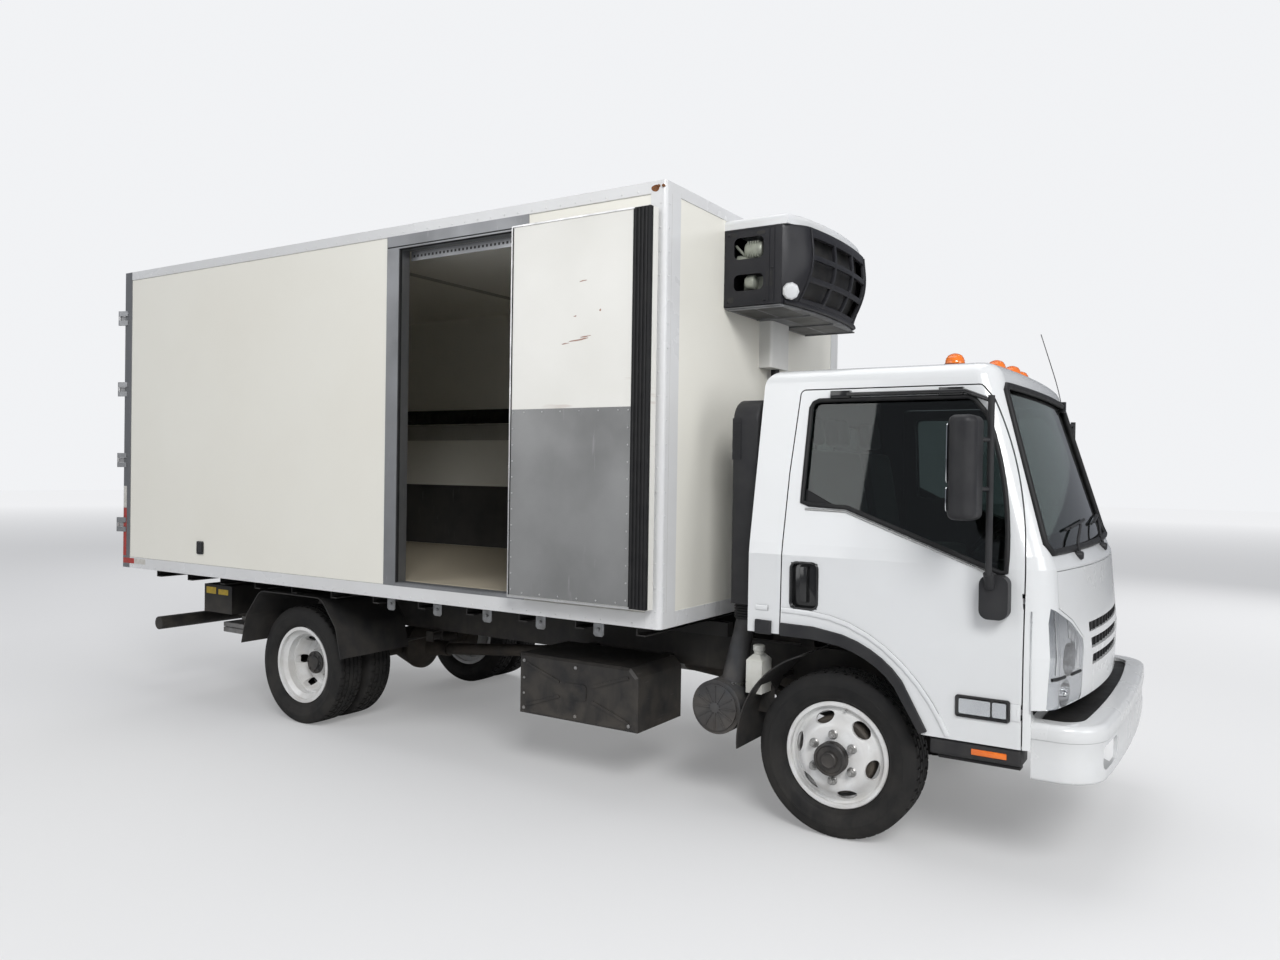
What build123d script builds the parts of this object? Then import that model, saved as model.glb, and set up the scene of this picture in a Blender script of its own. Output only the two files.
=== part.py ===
from build123d import *
import os

os.makedirs("parts", exist_ok=True)

# Refrigerated truck: low cab-forward chassis with an insulated body.
# Millimetres. +X forward, +Y to the left, +Z up, ground at z = 0.
# The origin is on the ground under the middle of the vehicle's length.

# Overall sizes
wheelbase = 3810.0
front_overhang = 1220.0
box_setback = 830.0
box_length = 4890.0
rear_hardware = 50.0
total_length = front_overhang + box_setback + box_length + rear_hardware
axle = total_length / 2 - front_overhang
rear_axle_x = axle - wheelbase

# Wheels and tyres
tyre_radius = 405.0
tyre_width = 225.0
rim_radius = 260.0
bead_radius = 248.0
rim_width = 168.0
well_radius = 216.0
disc_thickness = 11.0
wheel_offset = 125.0
stud_circle = 222.25
stud_count = 6
hub_radius = 80.0
front_track = 1665.0
dual_spacing = 260.0
rear_track = 1650.0
spindle_radius = 32.0
drum_radius = 160.0
running_gap = 0.05
seat_gap = 0.3

# Frame rails
rail_half_width = 425.5
rail_height = 190.0
rail_flange = 65.0
rail_thickness = 7.0
rail_top = 825.0
rail_front = 930.0
rail_rear = 5560.0

# Steering
kingpin_y = 720.0
kingpin_radius = 19.0
steering_arm = 170.0
tie_rod_radius = 14.0
tie_rod_z = 290.0

# Cab
cab_rear = 430.0
cab_roof = 2300.0
cab_floor = 985.0
cab_wall = 45.0
door_thickness = 50.0
door_gap = 6.0
glass_thickness = 5.0
glass_depth = 16.0
tunnel_half_width = 470.0
tunnel_rear = -100.0
tunnel_top = 1000.0
tunnel_front = 980.0
nose_bottom = 775.0
corner_post_x = 905.0
cab_sill = 600.0
roof_round = 85.0
tilt_x = 1020.0
tilt_z = 800.0
tilt_pin = 12.0

# Cab sections: height, half width, nose ahead of the front axle, nose bulge, corner radius
cab_sections = (
    (540, 1018, 1088, 125, 150),
    (1000, 1032, 1105, 130, 150),
    (1376, 1030, 1066, 110, 145),
    (1432, 1022, 1012, 62, 125),
    (cab_roof, 855, 728, 36, 110),
)

# Cab openings: wheel arch, door seams, window, hinges and lamps, ahead of the front axle or above ground
arch_front = 441.0
arch_rear = -84.0
arch_middle = (276.0, 851.0)
door_front = 872.0
door_rear = -264.0
door_bottom = 500.0
door_top = 2196.0
window_top = 2134.0
panel_gap = 3.0
lens_thickness = 5.0
door_hinge_y = 1020.0
hinge_set_back = 14.0
hinge_heights = (760.0, 1240.0)
hinge_notch = 34.0
hinge_barrel = 9.0
hinge_lug = 15.0
mirror_outer = 1335.0
mirror_seat = 1031.5
snorkel_ahead = -555.0
snorkel_y = -790.0
duct_top = 1005.0

# Insulated body
box_half_width = 1219.0
box_bottom = 970.0
box_top = 3250.0
bottom_rail = 80.0
top_rail = 60.0
wall_thickness = 85.0
rail_proud = 4.0
floor_top = 1075.0
floor_thickness = 90.0
ceiling = 3130.0
corner_post = 90.0
corner_post_face = 150.0
sill_height = 80.0
sill_spacing = 400.0
rail_gap = 0.5

# Side door, hinged at its forward jamb and folded back flat on the wall
side_opening_front = 1815.0
side_opening_width = 912.0
side_opening_bottom = 1067.0
side_opening_top = 3110.0
side_jamb = 103.0
side_hinge_jamb = 100.0
side_door_thickness = 78.0
side_door_free_gap = 12.0
side_door_hinge_gap = 10.0
side_door_end_gap = 8.0
side_hinge_back = 27.5
side_hinge_out = 12.0
side_hinge_heights = (1330.0, 2090.0, 2850.0)
rear_hinge_heights = (1300.0, 1800.0, 2350.0, 2900.0)
hinge_length = 110.0
knuckle_length = 32.0
hinge_knuckle = 10.0
hinge_pin = 5.0

# Rear doors
rear_frame_depth = 90.0
rear_post = 90.0
rear_door_thickness = 78.0
rear_door_gap = 8.0
rear_meeting_gap = 6.0
rear_hinge_back = 40.0
rear_hinge_out = 20.0
strap_thickness = 7.0
strap_stand = 14.0
lock_rod_radius = 13.0
lock_rod_stand = 30.0

# Refrigeration unit
unit_half_width = 570.0
unit_bottom = 2700.0
unit_top = 3190.0
unit_cover_z = 3130.0
unit_plate = 6.0
unit_side_depth = 380.0
unit_front_top = 500.0
unit_front_bottom = 420.0
grille_slots = 5
grille_depth = 12.0
conduit_bottom = 2410.0

# Lift: arms on a pivot below the rails, and the guard bar behind them
lift_ahead = -4800.0
lift_z = 580.0
lift_pin = 18.0
arm_length = 480.0
arm_depth = 80.0
lift_arm_y = 480.0
arm_thickness = 24.0
platform_top = 500.0
guard_ahead = -5450.0
guard_z = 540.0
guard_radius = 50.0

# Places worked out from the sizes above
cab_back = axle - cab_rear
door_hinge_x = axle + door_front - door_gap - hinge_set_back
snorkel_x = axle + snorkel_ahead
lift_x = axle + lift_ahead
guard_x = axle + guard_ahead
box_front_x = axle - box_setback
box_rear_x = box_front_x - box_length
rail_bottom = rail_top - rail_height
side_x0 = axle - side_opening_front - side_opening_width
side_x1 = axle - side_opening_front
side_hinge_x = side_x1 + side_hinge_back
side_hinge_y = -box_half_width - side_hinge_out
rear_hinge_x = box_rear_x - rear_hinge_back
rear_hinge_y = box_half_width + rear_hinge_out
wall_outer = box_half_width - rail_proud
wall_inner = wall_outer - wall_thickness
front_tyre_y = front_track / 2
rear_outer_y = rear_track / 2 + dual_spacing / 2
rear_inner_y = rear_track / 2 - dual_spacing / 2
inner_front = box_front_x - corner_post
inner_rear = box_rear_x + rear_frame_depth
wall_front_x = box_front_x - rail_proud
wall_bottom = box_bottom + bottom_rail
wall_top = box_top - top_rail


def block(x0, x1, y0, y1, z0, z1, mode=Mode.ADD):
    """A rectangular block between two corners, in the part being built."""
    with Locations(((x0 + x1) / 2, (y0 + y1) / 2, (z0 + z1) / 2)):
        Box(abs(x1 - x0), abs(y1 - y0), abs(z1 - z0), mode=mode)


def rod(start, end, radius, mode=Mode.ADD):
    """A round bar from one point to another, in the part being built."""
    line = Vector(*end) - Vector(*start)
    with Locations(Plane(origin=start, z_dir=line)):
        Cylinder(radius, line.length, align=(Align.CENTER, Align.CENTER, Align.MIN), mode=mode)


def wheel_plane(x, y):
    """A plane through a wheel's axis: local X is outward from the axis, local Y is row +Y."""
    return Plane(origin=(x, y, tyre_radius), x_dir=(0, 0, 1), z_dir=(-1, 0, 0))


def wheel_axis(x):
    """The turning axis of the wheels at x."""
    return Axis((x, 0, tyre_radius), (0, 1, 0))


# Chassis frame: two channel rails joined by cross members, with hangers and brackets
cross_members = (
    # distance ahead of the front axle, width along X, top below the rail top, height
    (890, 80, 20, 150),
    (620, 60, 110, 70),
    (-1480, 70, 20, 150),
    (-2250, 70, 20, 150),
    (-3050, 70, 20, 150),
    (-4380, 70, 20, 110),
    (-5000, 70, 20, 150),
    (-5525, 70, 20, 150),
)
# Springs: distance ahead of the front axle, centre Y, width, half length, seat height
springs = (
    (0, 395, 70, 620, 432),
    (-wheelbase, 472, 80, 690, 470),
)
spring_eye_z = 600.0
spring_eye_radius = 27.0
spring_stack = 48.0

with BuildPart() as chassis_frame:
    for side in (1, -1):
        with BuildSketch(Plane.YZ.offset(axle - rail_rear)):
            with Locations((side * (rail_half_width - rail_flange / 2), rail_top - rail_height / 2)):
                Rectangle(rail_flange, rail_height)
            with Locations((side * (rail_half_width - rail_thickness - rail_flange / 2),
                            rail_top - rail_height / 2)):
                Rectangle(rail_flange, rail_height - 2 * rail_thickness, mode=Mode.SUBTRACT)
        extrude(amount=rail_rear + rail_front)
        for ahead, y, width, half_length, seat in springs:
            for end in (1, -1):
                x = axle + ahead + end * half_length
                for edge in (-1, 1):
                    y_plate = y + edge * (width / 2 + 4.5)
                    block(x - 32, x + 32, side * (y_plate - 4), side * (y_plate + 4), spring_eye_z - 34,
                          rail_bottom + 1)
                plate_inner = min(rail_half_width - rail_flange / 2, y - width / 2 - 8.5)
                block(x - 32, x + 32, side * plate_inner, side * (y + width / 2 + 8.5), rail_bottom - 6,
                      rail_bottom + 1)
        block(axle + 915, axle + tilt_x, side * 375, side * 425, tilt_z - 20, tilt_z + 20)
        rod((axle + tilt_x, side * 375, tilt_z), (axle + tilt_x, side * 425, tilt_z), 20)
        rod((axle + tilt_x, side * 370, tilt_z), (axle + tilt_x, side * 430, tilt_z),
            tilt_pin + running_gap, Mode.SUBTRACT)
        block(axle + 880, axle + front_overhang - 32, side * 365, side * 418, 605, 698)
        block(axle - 400, axle - 320, side * 361, side * 421, rail_top - 1, cab_floor - 50)
    block(axle - 400, axle - 320, -421, 421, cab_floor - 50, cab_floor - seat_gap)
    for ahead, width, drop, height in cross_members:
        x = axle + ahead
        top = rail_top - drop
        inner = rail_half_width - rail_thickness + 1
        block(x - width / 2, x + width / 2, -inner, inner, top - height, top)
        block(x - width / 2 - 1, x + width / 2 - 7, -inner - 1, inner + 1, top - height + 7, top - 7,
              Mode.SUBTRACT)
chassis_frame.part.label = "chassis_frame"
export_step(chassis_frame.part, "parts/chassis_frame.step")

# Leaf springs: an arched stack of leaves with an eye at each end
with BuildPart() as leaf_springs:
    for ahead, y, width, half_length, seat in springs:
        for side in (1, -1):
            with BuildSketch(Plane.XZ.offset(-side * y + width / 2)):
                short_end = (half_length * 0.62, seat + 62)
                long_end = (half_length, spring_eye_z + 6)
                with BuildLine():
                    ThreePointArc(
                        (axle + ahead - short_end[0], short_end[1]), (axle + ahead, seat),
                        (axle + ahead + short_end[0], short_end[1]),
                    )
                    Line((axle + ahead + short_end[0], short_end[1]),
                         (axle + ahead + long_end[0], long_end[1]))
                    ThreePointArc(
                        (axle + ahead + long_end[0], long_end[1]), (axle + ahead, seat + spring_stack),
                        (axle + ahead - long_end[0], long_end[1]),
                    )
                    Line((axle + ahead - long_end[0], long_end[1]),
                         (axle + ahead - short_end[0], short_end[1]))
                make_face()
            extrude(amount=-width)
            for end in (1, -1):
                x = axle + ahead + end * half_length
                rod((x, side * (y - width / 2), spring_eye_z), (x, side * (y + width / 2), spring_eye_z),
                    spring_eye_radius)
leaf_springs.part.label = "leaf_springs"
export_step(leaf_springs.part, "parts/leaf_springs.step")

# Front axle: a dropped I-beam with a boss and a king pin at each end
beam_width = 60.0
beam_bottom = 335.0
boss_bottom = 340.0
boss_top = 470.0
with BuildPart() as front_axle:
    with BuildSketch(Plane.YZ.offset(axle - beam_width / 2)) as beam_outline:
        with BuildLine():
            Polyline(
                (-kingpin_y, boss_top - 10), (-640, boss_top - 20), (-480, beam_bottom + 72),
                (480, beam_bottom + 72), (640, boss_top - 20), (kingpin_y, boss_top - 10),
                (kingpin_y, boss_bottom + 10), (600, boss_bottom + 20), (470, beam_bottom),
                (-470, beam_bottom), (-600, boss_bottom + 20), (-kingpin_y, boss_bottom + 10),
                close=True,
            )
        make_face()
    extrude(amount=beam_width)
    for face_x in (axle - beam_width / 2, axle + beam_width / 2 - 20):
        with BuildSketch(Plane.YZ.offset(face_x)):
            add(beam_outline.sketch.faces()[0].moved(Location((0, 0, 0))))
            offset(amount=-14)
        extrude(amount=20, mode=Mode.SUBTRACT)
    for side in (1, -1):
        block(axle - 70, axle + 70, side * 355, side * 435, beam_bottom + 60, springs[0][4])
        rod((axle, side * kingpin_y, boss_bottom), (axle, side * kingpin_y, boss_top), 42)
        rod((axle, side * kingpin_y, boss_bottom - 42), (axle, side * kingpin_y, boss_top + 42),
            kingpin_radius)
front_axle.part.label = "front_axle"
export_step(front_axle.part, "parts/front_axle.step")

# Rear axle: a banjo housing with tubes, a round cover and a pinion nose
with BuildPart() as rear_axle:
    rod((rear_axle_x, -660, tyre_radius), (rear_axle_x, 660, tyre_radius), 60)
    with BuildSketch(Plane.XY.offset(tyre_radius)):
        with BuildLine():
            Polyline((rear_axle_x - 150, 0), (rear_axle_x - 120, 110), (rear_axle_x + 90, 175),
                     (rear_axle_x + 120, 175),
                     (rear_axle_x + 210, 80), (rear_axle_x + 330, 48), (rear_axle_x + 330, 0), close=True)
        make_face()
    revolve(axis=Axis((rear_axle_x, 0, tyre_radius), (1, 0, 0)))
    for side in (1, -1):
        rod((rear_axle_x, side * 560, tyre_radius), (rear_axle_x, side * 574, tyre_radius), drum_radius)
        block(rear_axle_x - 70, rear_axle_x + 70, side * 432, side * 512, tyre_radius, springs[1][4])
rear_axle.part.label = "rear_axle"
export_step(rear_axle.part, "parts/rear_axle.step")

# Engine and gearbox: one plain block on two mounts, with the gearbox's cone behind it
engine_rear = 620.0
gearbox_rear = 1330.0
driveline_z = 600.0
with BuildPart() as engine:
    block(axle - engine_rear, axle + 280, -300, 300, 480, 915)
    chamfer(engine.edges().filter_by(Axis.X), 60)
    for side in (1, -1):
        block(axle - 240, axle - 140, side * 290, side * (rail_half_width - rail_thickness), 660, 720)
    with BuildSketch(Plane.XZ):
        with BuildLine():
            Polyline((axle - engine_rear, driveline_z), (axle - engine_rear, driveline_z + 190),
                     (axle - engine_rear - 260, driveline_z + 130), (axle - gearbox_rear, driveline_z + 90),
                     (axle - gearbox_rear, driveline_z), close=True)
        make_face()
    revolve(axis=Axis((0, 0, driveline_z), (1, 0, 0)))
engine.part.label = "engine"
export_step(engine.part, "parts/engine.step")

# Driveshaft: a tube from the gearbox to the rear axle's pinion, with a flange at each end
shaft_front = (axle - gearbox_rear - seat_gap, 0, driveline_z)
shaft_rear = (rear_axle_x + 330 + seat_gap, 0, tyre_radius)
with BuildPart() as driveshaft:
    rod(shaft_front, (shaft_front[0] - 60, 0, driveline_z), 60)
    rod(shaft_rear, (shaft_rear[0] + 60, 0, tyre_radius), 55)
    rod((shaft_front[0] - 45, 0, driveline_z), (shaft_rear[0] + 45, 0, tyre_radius), 42)
driveshaft.part.label = "driveshaft"
export_step(driveshaft.part, "parts/driveshaft.step")

# Radiator: a core between the rails ahead of the engine
with BuildPart() as radiator:
    block(axle + 800, axle + 845, -330, 330, 560, 950)
    block(axle + 790, axle + 845, -330, 330, 535, 575)
    block(axle + 790, axle + 845, -330, 330, 935, 975)
    for side in (1, -1):
        block(axle + 800, axle + 830, side * 320, side * (rail_half_width - rail_thickness), 690, 720)
radiator.part.label = "radiator"
export_step(radiator.part, "parts/radiator.step")

# Fuel tank and battery box on the left, hung from the rail
tank_round = 60.0
with BuildPart() as fuel_tank:
    block(axle - 2000, axle - 1080, 510, 990, 370, 760)
    fillet(fuel_tank.edges().filter_by(Axis.X), tank_round)
    rod((axle - 1180, 930, 700), (axle - 1180, 985, 755), 48)
    for x in (axle - 1800, axle - 1280):
        with BuildSketch(Plane.YZ.offset(x - 25)):
            with Locations((750, 565)):
                RectangleRounded(488, 398, tank_round + 4)
        extrude(amount=50)
        block(x - 30, x + 30, rail_half_width, 560, 640, 740)
fuel_tank.part.label = "fuel_tank"
export_step(fuel_tank.part, "parts/fuel_tank.step")

with BuildPart() as battery_box:
    block(axle - 980, axle - 590, 500, 960, 430, 740)
    chamfer(battery_box.edges().filter_by(Axis.X), 18)
    block(axle - 820, axle - 740, rail_half_width, 520, 660, 720)
battery_box.part.label = "battery_box"
export_step(battery_box.part, "parts/battery_box.step")

# Exhaust box on the right: a pressed cover over the after-treatment, with its crossed ribs
cover_inner = -520.0
cover_outer = -1000.0
with BuildPart() as exhaust_box:
    with BuildSketch(Plane.XZ.offset(-cover_inner)):
        with BuildLine():
            Polyline((axle - 1920, 350), (axle - 1920, 700), (axle - 1150, 700), (axle - 1100, 650),
                     (axle - 1100, 350),
                     close=True)
        make_face()
    extrude(amount=cover_inner - cover_outer)
    chamfer(exhaust_box.faces().sort_by(Axis.Y)[0].edges(), 14)
    with BuildSketch(Plane.XZ.offset(-cover_outer - 1)):
        for turn in (1, -1):
            for end in (1, -1):
                with Locations(Location((axle - 1510 + end * 235, 525 + turn * end * 82, 0), (0, 0, 1),
                                        turn * 19)):
                    SlotOverall(260, 16)
        with Locations((axle - 1510, 525)):
            RectangleRounded(150, 90, 20)
    extrude(amount=7)
    for x in (axle - 1780, axle - 1240):
        block(x - 30, x + 30, cover_inner - 20, -rail_half_width, 640, 690)
exhaust_box.part.label = "exhaust_box"
export_step(exhaust_box.part, "parts/exhaust_box.step")

# Air cleaner: a ribbed drum facing outward, with the duct that rises to the snorkel
drum_x = axle - 643.0
drum_z = 554.0
drum_radius_outer = 140.0
drum_face = -950.0
cap_face = -962.0
cap_ribs = 12
with BuildPart() as air_cleaner:
    rod((drum_x, -690, drum_z), (drum_x, drum_face, drum_z), drum_radius_outer)
    rod((drum_x, drum_face + 5, drum_z), (drum_x, cap_face, drum_z), drum_radius_outer - 20)
    with BuildSketch(Plane.XZ.offset(-cap_face - 1)):
        with Locations((drum_x, drum_z)):
            Circle(26)
            with PolarLocations(68, cap_ribs):
                Rectangle(90, 5)
    extrude(amount=7)
    block(drum_x - 40, drum_x + 40, -700, -rail_half_width, drum_z + 90, drum_z + 130)
    with BuildSketch(Plane(origin=(drum_x + 30, -830, drum_z + 100), z_dir=(0.1, 0.05, 1))):
        Circle(62)
    with BuildSketch(Plane(origin=(snorkel_x, snorkel_y, duct_top), z_dir=(0, 0, 1))):
        Circle(52)
    loft()
air_cleaner.part.label = "air_cleaner"
export_step(air_cleaner.part, "parts/air_cleaner.step")

# Mudguards: a liner behind each front wheel and an angled guard over each rear pair
liner_radius = 500.0
fender_half_length = 520.0
fender_top = 904.5
guard_thickness = 6.0
guard_half_width = 300.0
with BuildPart() as mudguards:
    for side in (1, -1):
        with BuildSketch(Plane.XZ.offset(-side * 795)):
            with BuildLine():
                CenterArc((axle, tyre_radius), liner_radius, 108, 76)
                offset(amount=guard_thickness, side=Side.RIGHT)
            make_face()
        extrude(amount=195, both=True)
        rod((axle - 480, side * rail_half_width, 700), (axle - 480, side * 620, 700), 14)
        block(axle - 494, axle - 402, side * 600, side * 640, 692, 708)
        with BuildSketch(Plane.XZ.offset(-side * 850)):
            with BuildLine():
                FilletPolyline(
                    (rear_axle_x - fender_half_length, 520),
                    (rear_axle_x - fender_half_length + 50, 720),
                    (rear_axle_x - fender_half_length + 200, fender_top),
                    (rear_axle_x + fender_half_length - 200, fender_top),
                    (rear_axle_x + fender_half_length - 50, 720),
                    (rear_axle_x + fender_half_length, 520),
                    radius=110,
                )
                offset(amount=guard_thickness, side=Side.RIGHT)
            make_face()
        extrude(amount=guard_half_width, both=True)
mudguards.part.label = "mudguards"
export_step(mudguards.part, "parts/mudguards.step")


# Wheels: a tyre with five ribs between four grooves, and a pressed disc wheel with its hub
# Tyre section: radius below the tread, distance inside the tyre's half width
tyre_section = ((123, 9), (80, 0), (48, 3), (22, 14), (4, 26), (0, 38))
groove_centres = (-53.0, -17.5, 17.5, 53.0)
groove_width = 7.0
groove_depth = 10.0


def tyre_ring(x, y):
    """One tyre, centred at y on the axle at x."""
    half = tyre_width / 2
    bead_y = rim_width / 2 - 8 - seat_gap
    bead_top = rim_radius + 3
    near = [(tyre_radius - drop, half - inside) for drop, inside in tyre_section]
    far = [(radius, -out) for radius, out in reversed(near)]
    with BuildPart() as ring:
        with BuildSketch(wheel_plane(x, y)):
            with BuildLine():
                Polyline([(bead_radius, bead_y), (bead_top, bead_y), *near, *far, (bead_top, -bead_y),
                          (bead_radius, -bead_y)], close=True)
            make_face()
            with Locations([(tyre_radius, groove) for groove in groove_centres]):
                Rectangle(2 * groove_depth, groove_width, mode=Mode.SUBTRACT)
        revolve(axis=wheel_axis(x))
    return ring.part


def disc_wheel(x, y, out):
    """One pressed steel wheel whose mounting face lies on the side that out points to."""
    edge = rim_width / 2
    face = wheel_offset
    with BuildPart() as wheel:
        with BuildSketch(wheel_plane(x, y)):
            with BuildLine():
                Polyline(
                    (bead_radius - 0.5, 8 - edge), (rim_radius, 8 - edge), (rim_radius,
                                                                            -edge), (bead_radius - 10,
                                                                                     -edge),
                    (bead_radius - 10, 26 - edge), (well_radius - 9, 44 - edge), (well_radius - 9,
                                                                                  edge - 44),
                    (bead_radius - 10, edge - 26), (bead_radius - 10, edge), (rim_radius,
                                                                              edge), (rim_radius, edge - 8),
                    (bead_radius - 0.5, edge - 8), (bead_radius - 0.5, edge - 30), (well_radius, edge - 48),
                    (well_radius, 48 - edge), (bead_radius - 0.5, 30 - edge), close=True,
                )
            make_face()
        revolve(axis=wheel_axis(x))
        with BuildSketch(wheel_plane(x, y)):
            with BuildLine():
                Polyline(
                    (hub_radius - 1, out * face), (hub_radius - 1, out * (face - disc_thickness)),
                    (140, out * (face - disc_thickness)), (165, out * (face - disc_thickness - 16)),
                    (well_radius - 18, out * 12), (well_radius - 8.5, out * 12), (well_radius - 8.5,
                                                                                  out * 30),
                    (172, out * (face - 12)), (146, out * face), close=True,
                )
            make_face()
        revolve(axis=wheel_axis(x))
        with BuildSketch(Plane(origin=(x, y - 130, tyre_radius), x_dir=(-1, 0, 0), z_dir=(0, 1, 0))):
            with PolarLocations(178, stud_count):
                SlotOverall(62, 34, rotation=90)
        extrude(amount=260, mode=Mode.SUBTRACT)
    return wheel.part


for side_name, side in (("left", 1), ("right", -1)):
    with BuildPart() as front_tyre:
        add(tyre_ring(axle, side * front_tyre_y))
    front_tyre.part.label = f"front_{side_name}_tyre"
    export_step(front_tyre.part, f"parts/front_{side_name}_tyre.step")

    with BuildPart() as front_rim:
        add(disc_wheel(axle, side * front_tyre_y, side))
        disc_face = front_tyre_y + wheel_offset
        inner = disc_face - disc_thickness
        rod((axle, side * (inner - 22), tyre_radius), (axle, side * (inner + 0.5), tyre_radius), 142)
        rod((axle, side * 830, tyre_radius), (axle, side * (disc_face + 42), tyre_radius), hub_radius)
        rod((axle, side * 800, tyre_radius), (axle, side * (inner - 10), tyre_radius), drum_radius)
        rod((axle, side * 790, tyre_radius), (axle, side * 895, tyre_radius), spindle_radius + running_gap,
            Mode.SUBTRACT)
        with BuildSketch(Plane(origin=(axle, side * (disc_face - 1), tyre_radius), x_dir=(1, 0, 0),
                               z_dir=(0, side, 0))):
            with PolarLocations(stud_circle / 2, stud_count, start_angle=30):
                RegularPolygon(18, 6)
        extrude(amount=30)
    front_rim.part.label = f"front_{side_name}_rim"
    export_step(front_rim.part, f"parts/front_{side_name}_rim.step")

    with BuildPart() as rear_tyres:
        add(tyre_ring(rear_axle_x, side * rear_outer_y))
        add(tyre_ring(rear_axle_x, side * rear_inner_y))
    rear_tyres.part.label = f"rear_{side_name}_tyres"
    export_step(rear_tyres.part, f"parts/rear_{side_name}_tyres.step")

    with BuildPart() as rear_rims:
        meeting = (rear_outer_y + rear_inner_y) / 2
        add(disc_wheel(rear_axle_x, side * rear_outer_y, -side))
        add(disc_wheel(rear_axle_x, side * rear_inner_y, side))
        rod((rear_axle_x, side * (meeting - 6), tyre_radius),
            (rear_axle_x, side * (meeting + 6), tyre_radius), 142)
        rod((rear_axle_x, side * 680, tyre_radius), (rear_axle_x, side * (meeting + 95), tyre_radius),
            hub_radius)
        rod((rear_axle_x, side * 580, tyre_radius), (rear_axle_x, side * 700, tyre_radius), drum_radius)
        rod((rear_axle_x, side * 570, tyre_radius), (rear_axle_x, side * 665, tyre_radius),
            60 + running_gap, Mode.SUBTRACT)
        with BuildSketch(Plane(origin=(rear_axle_x, side * (meeting + 10), tyre_radius), x_dir=(1, 0, 0),
                               z_dir=(0, side, 0))):
            with PolarLocations(stud_circle / 2, stud_count, start_angle=30):
                RegularPolygon(18, 6)
        extrude(amount=34)
    rear_rims.part.label = f"rear_{side_name}_rims"
    export_step(rear_rims.part, f"parts/rear_{side_name}_rims.step")

    # Knuckle: two ears on the king pin, a plate, a spindle and the steering arm
    with BuildPart() as knuckle:
        for z0, z1 in ((boss_bottom - 38, boss_bottom - seat_gap), (boss_top + seat_gap, boss_top + 38)):
            rod((axle, side * kingpin_y, z0), (axle, side * kingpin_y, z1), 36)
            block(axle - 34, axle + 34, side * kingpin_y, side * 785, z0, z1)
        block(axle - 60, axle + 60, side * 766, side * 785, boss_bottom - 38, boss_top + 38)
        rod((axle, side * 775, tyre_radius), (axle, side * 885, tyre_radius), spindle_radius)
        block(axle - steering_arm, axle, side * (kingpin_y - 16), side * (kingpin_y + 16),
              boss_bottom - 38, boss_bottom - 12)
        rod((axle - steering_arm, side * kingpin_y, boss_bottom - 38),
            (axle - steering_arm, side * kingpin_y, boss_bottom - 12), 22)
        rod((axle, side * kingpin_y, 280), (axle, side * kingpin_y, 530), kingpin_radius + running_gap,
            Mode.SUBTRACT)
        eye_bore = 9 + running_gap if side > 0 else 10.5
        rod((axle - steering_arm, side * kingpin_y, 280), (axle - steering_arm, side * kingpin_y, 350),
            eye_bore, Mode.SUBTRACT)
    knuckle.part.label = f"{side_name}_knuckle"
    export_step(knuckle.part, f"parts/{side_name}_knuckle.step")

# Tie rod: a tube between the two steering arms with a ball stud at each end
with BuildPart() as tie_rod:
    rod((axle - steering_arm, -kingpin_y, tie_rod_z - 8), (axle - steering_arm, kingpin_y, tie_rod_z - 8),
        tie_rod_radius)
    for side in (1, -1):
        rod((axle - steering_arm, side * kingpin_y, tie_rod_z - 26),
            (axle - steering_arm, side * kingpin_y, tie_rod_z + 9), 20)
        rod((axle - steering_arm, side * kingpin_y, tie_rod_z),
            (axle - steering_arm, side * kingpin_y, boss_bottom - 8), 9)
tie_rod.part.label = "tie_rod"
export_step(tie_rod.part, "parts/tie_rod.step")

# Front bumper: a deep pressed bar that wraps round the corners
bumper_bottom = 475.0
bumper_top = 722.0
bumper_front = front_overhang
bumper_wall = 22.0
bumper_band = 652.0
bumper_step = 6.0
pocket_bottom = 525.0
pocket_top = 630.0
pocket_wall = 8.0


def bumper_outline(inset):
    """Plan outline of the bumper, drawn in by inset."""
    rear = axle + corner_post_x
    side_y = 1004 - inset
    cheek = (axle + 1120 - inset * 0.6, 935 - inset * 0.8)
    front = (axle + 1192 - inset, 780 - inset * 0.6)
    with BuildSketch() as outline:
        with BuildLine():
            Polyline((rear, side_y), (axle + 1010, side_y), cheek, front)
            ThreePointArc(front, (axle + bumper_front - inset, 0), (front[0], -front[1]))
            Polyline((front[0], -front[1]), (cheek[0], -cheek[1]), (axle + 1010, -side_y), (rear, -side_y),
                     (rear, side_y))
        make_face()
    return outline.sketch


def fog_pocket(side, wall):
    """The space of the lamp pocket in a lower front corner, made larger all round by wall."""
    with BuildPart() as pocket:
        with BuildSketch(Plane.XY.offset(pocket_bottom - wall)):
            add(bumper_outline(bumper_step))
        extrude(amount=pocket_top - pocket_bottom + wall)
        block(axle + 1110 - wall, axle + 1300, side * (590 - wall), side * (860 + wall),
              pocket_bottom - wall, pocket_top,
              Mode.INTERSECT)
    return pocket.part


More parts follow.
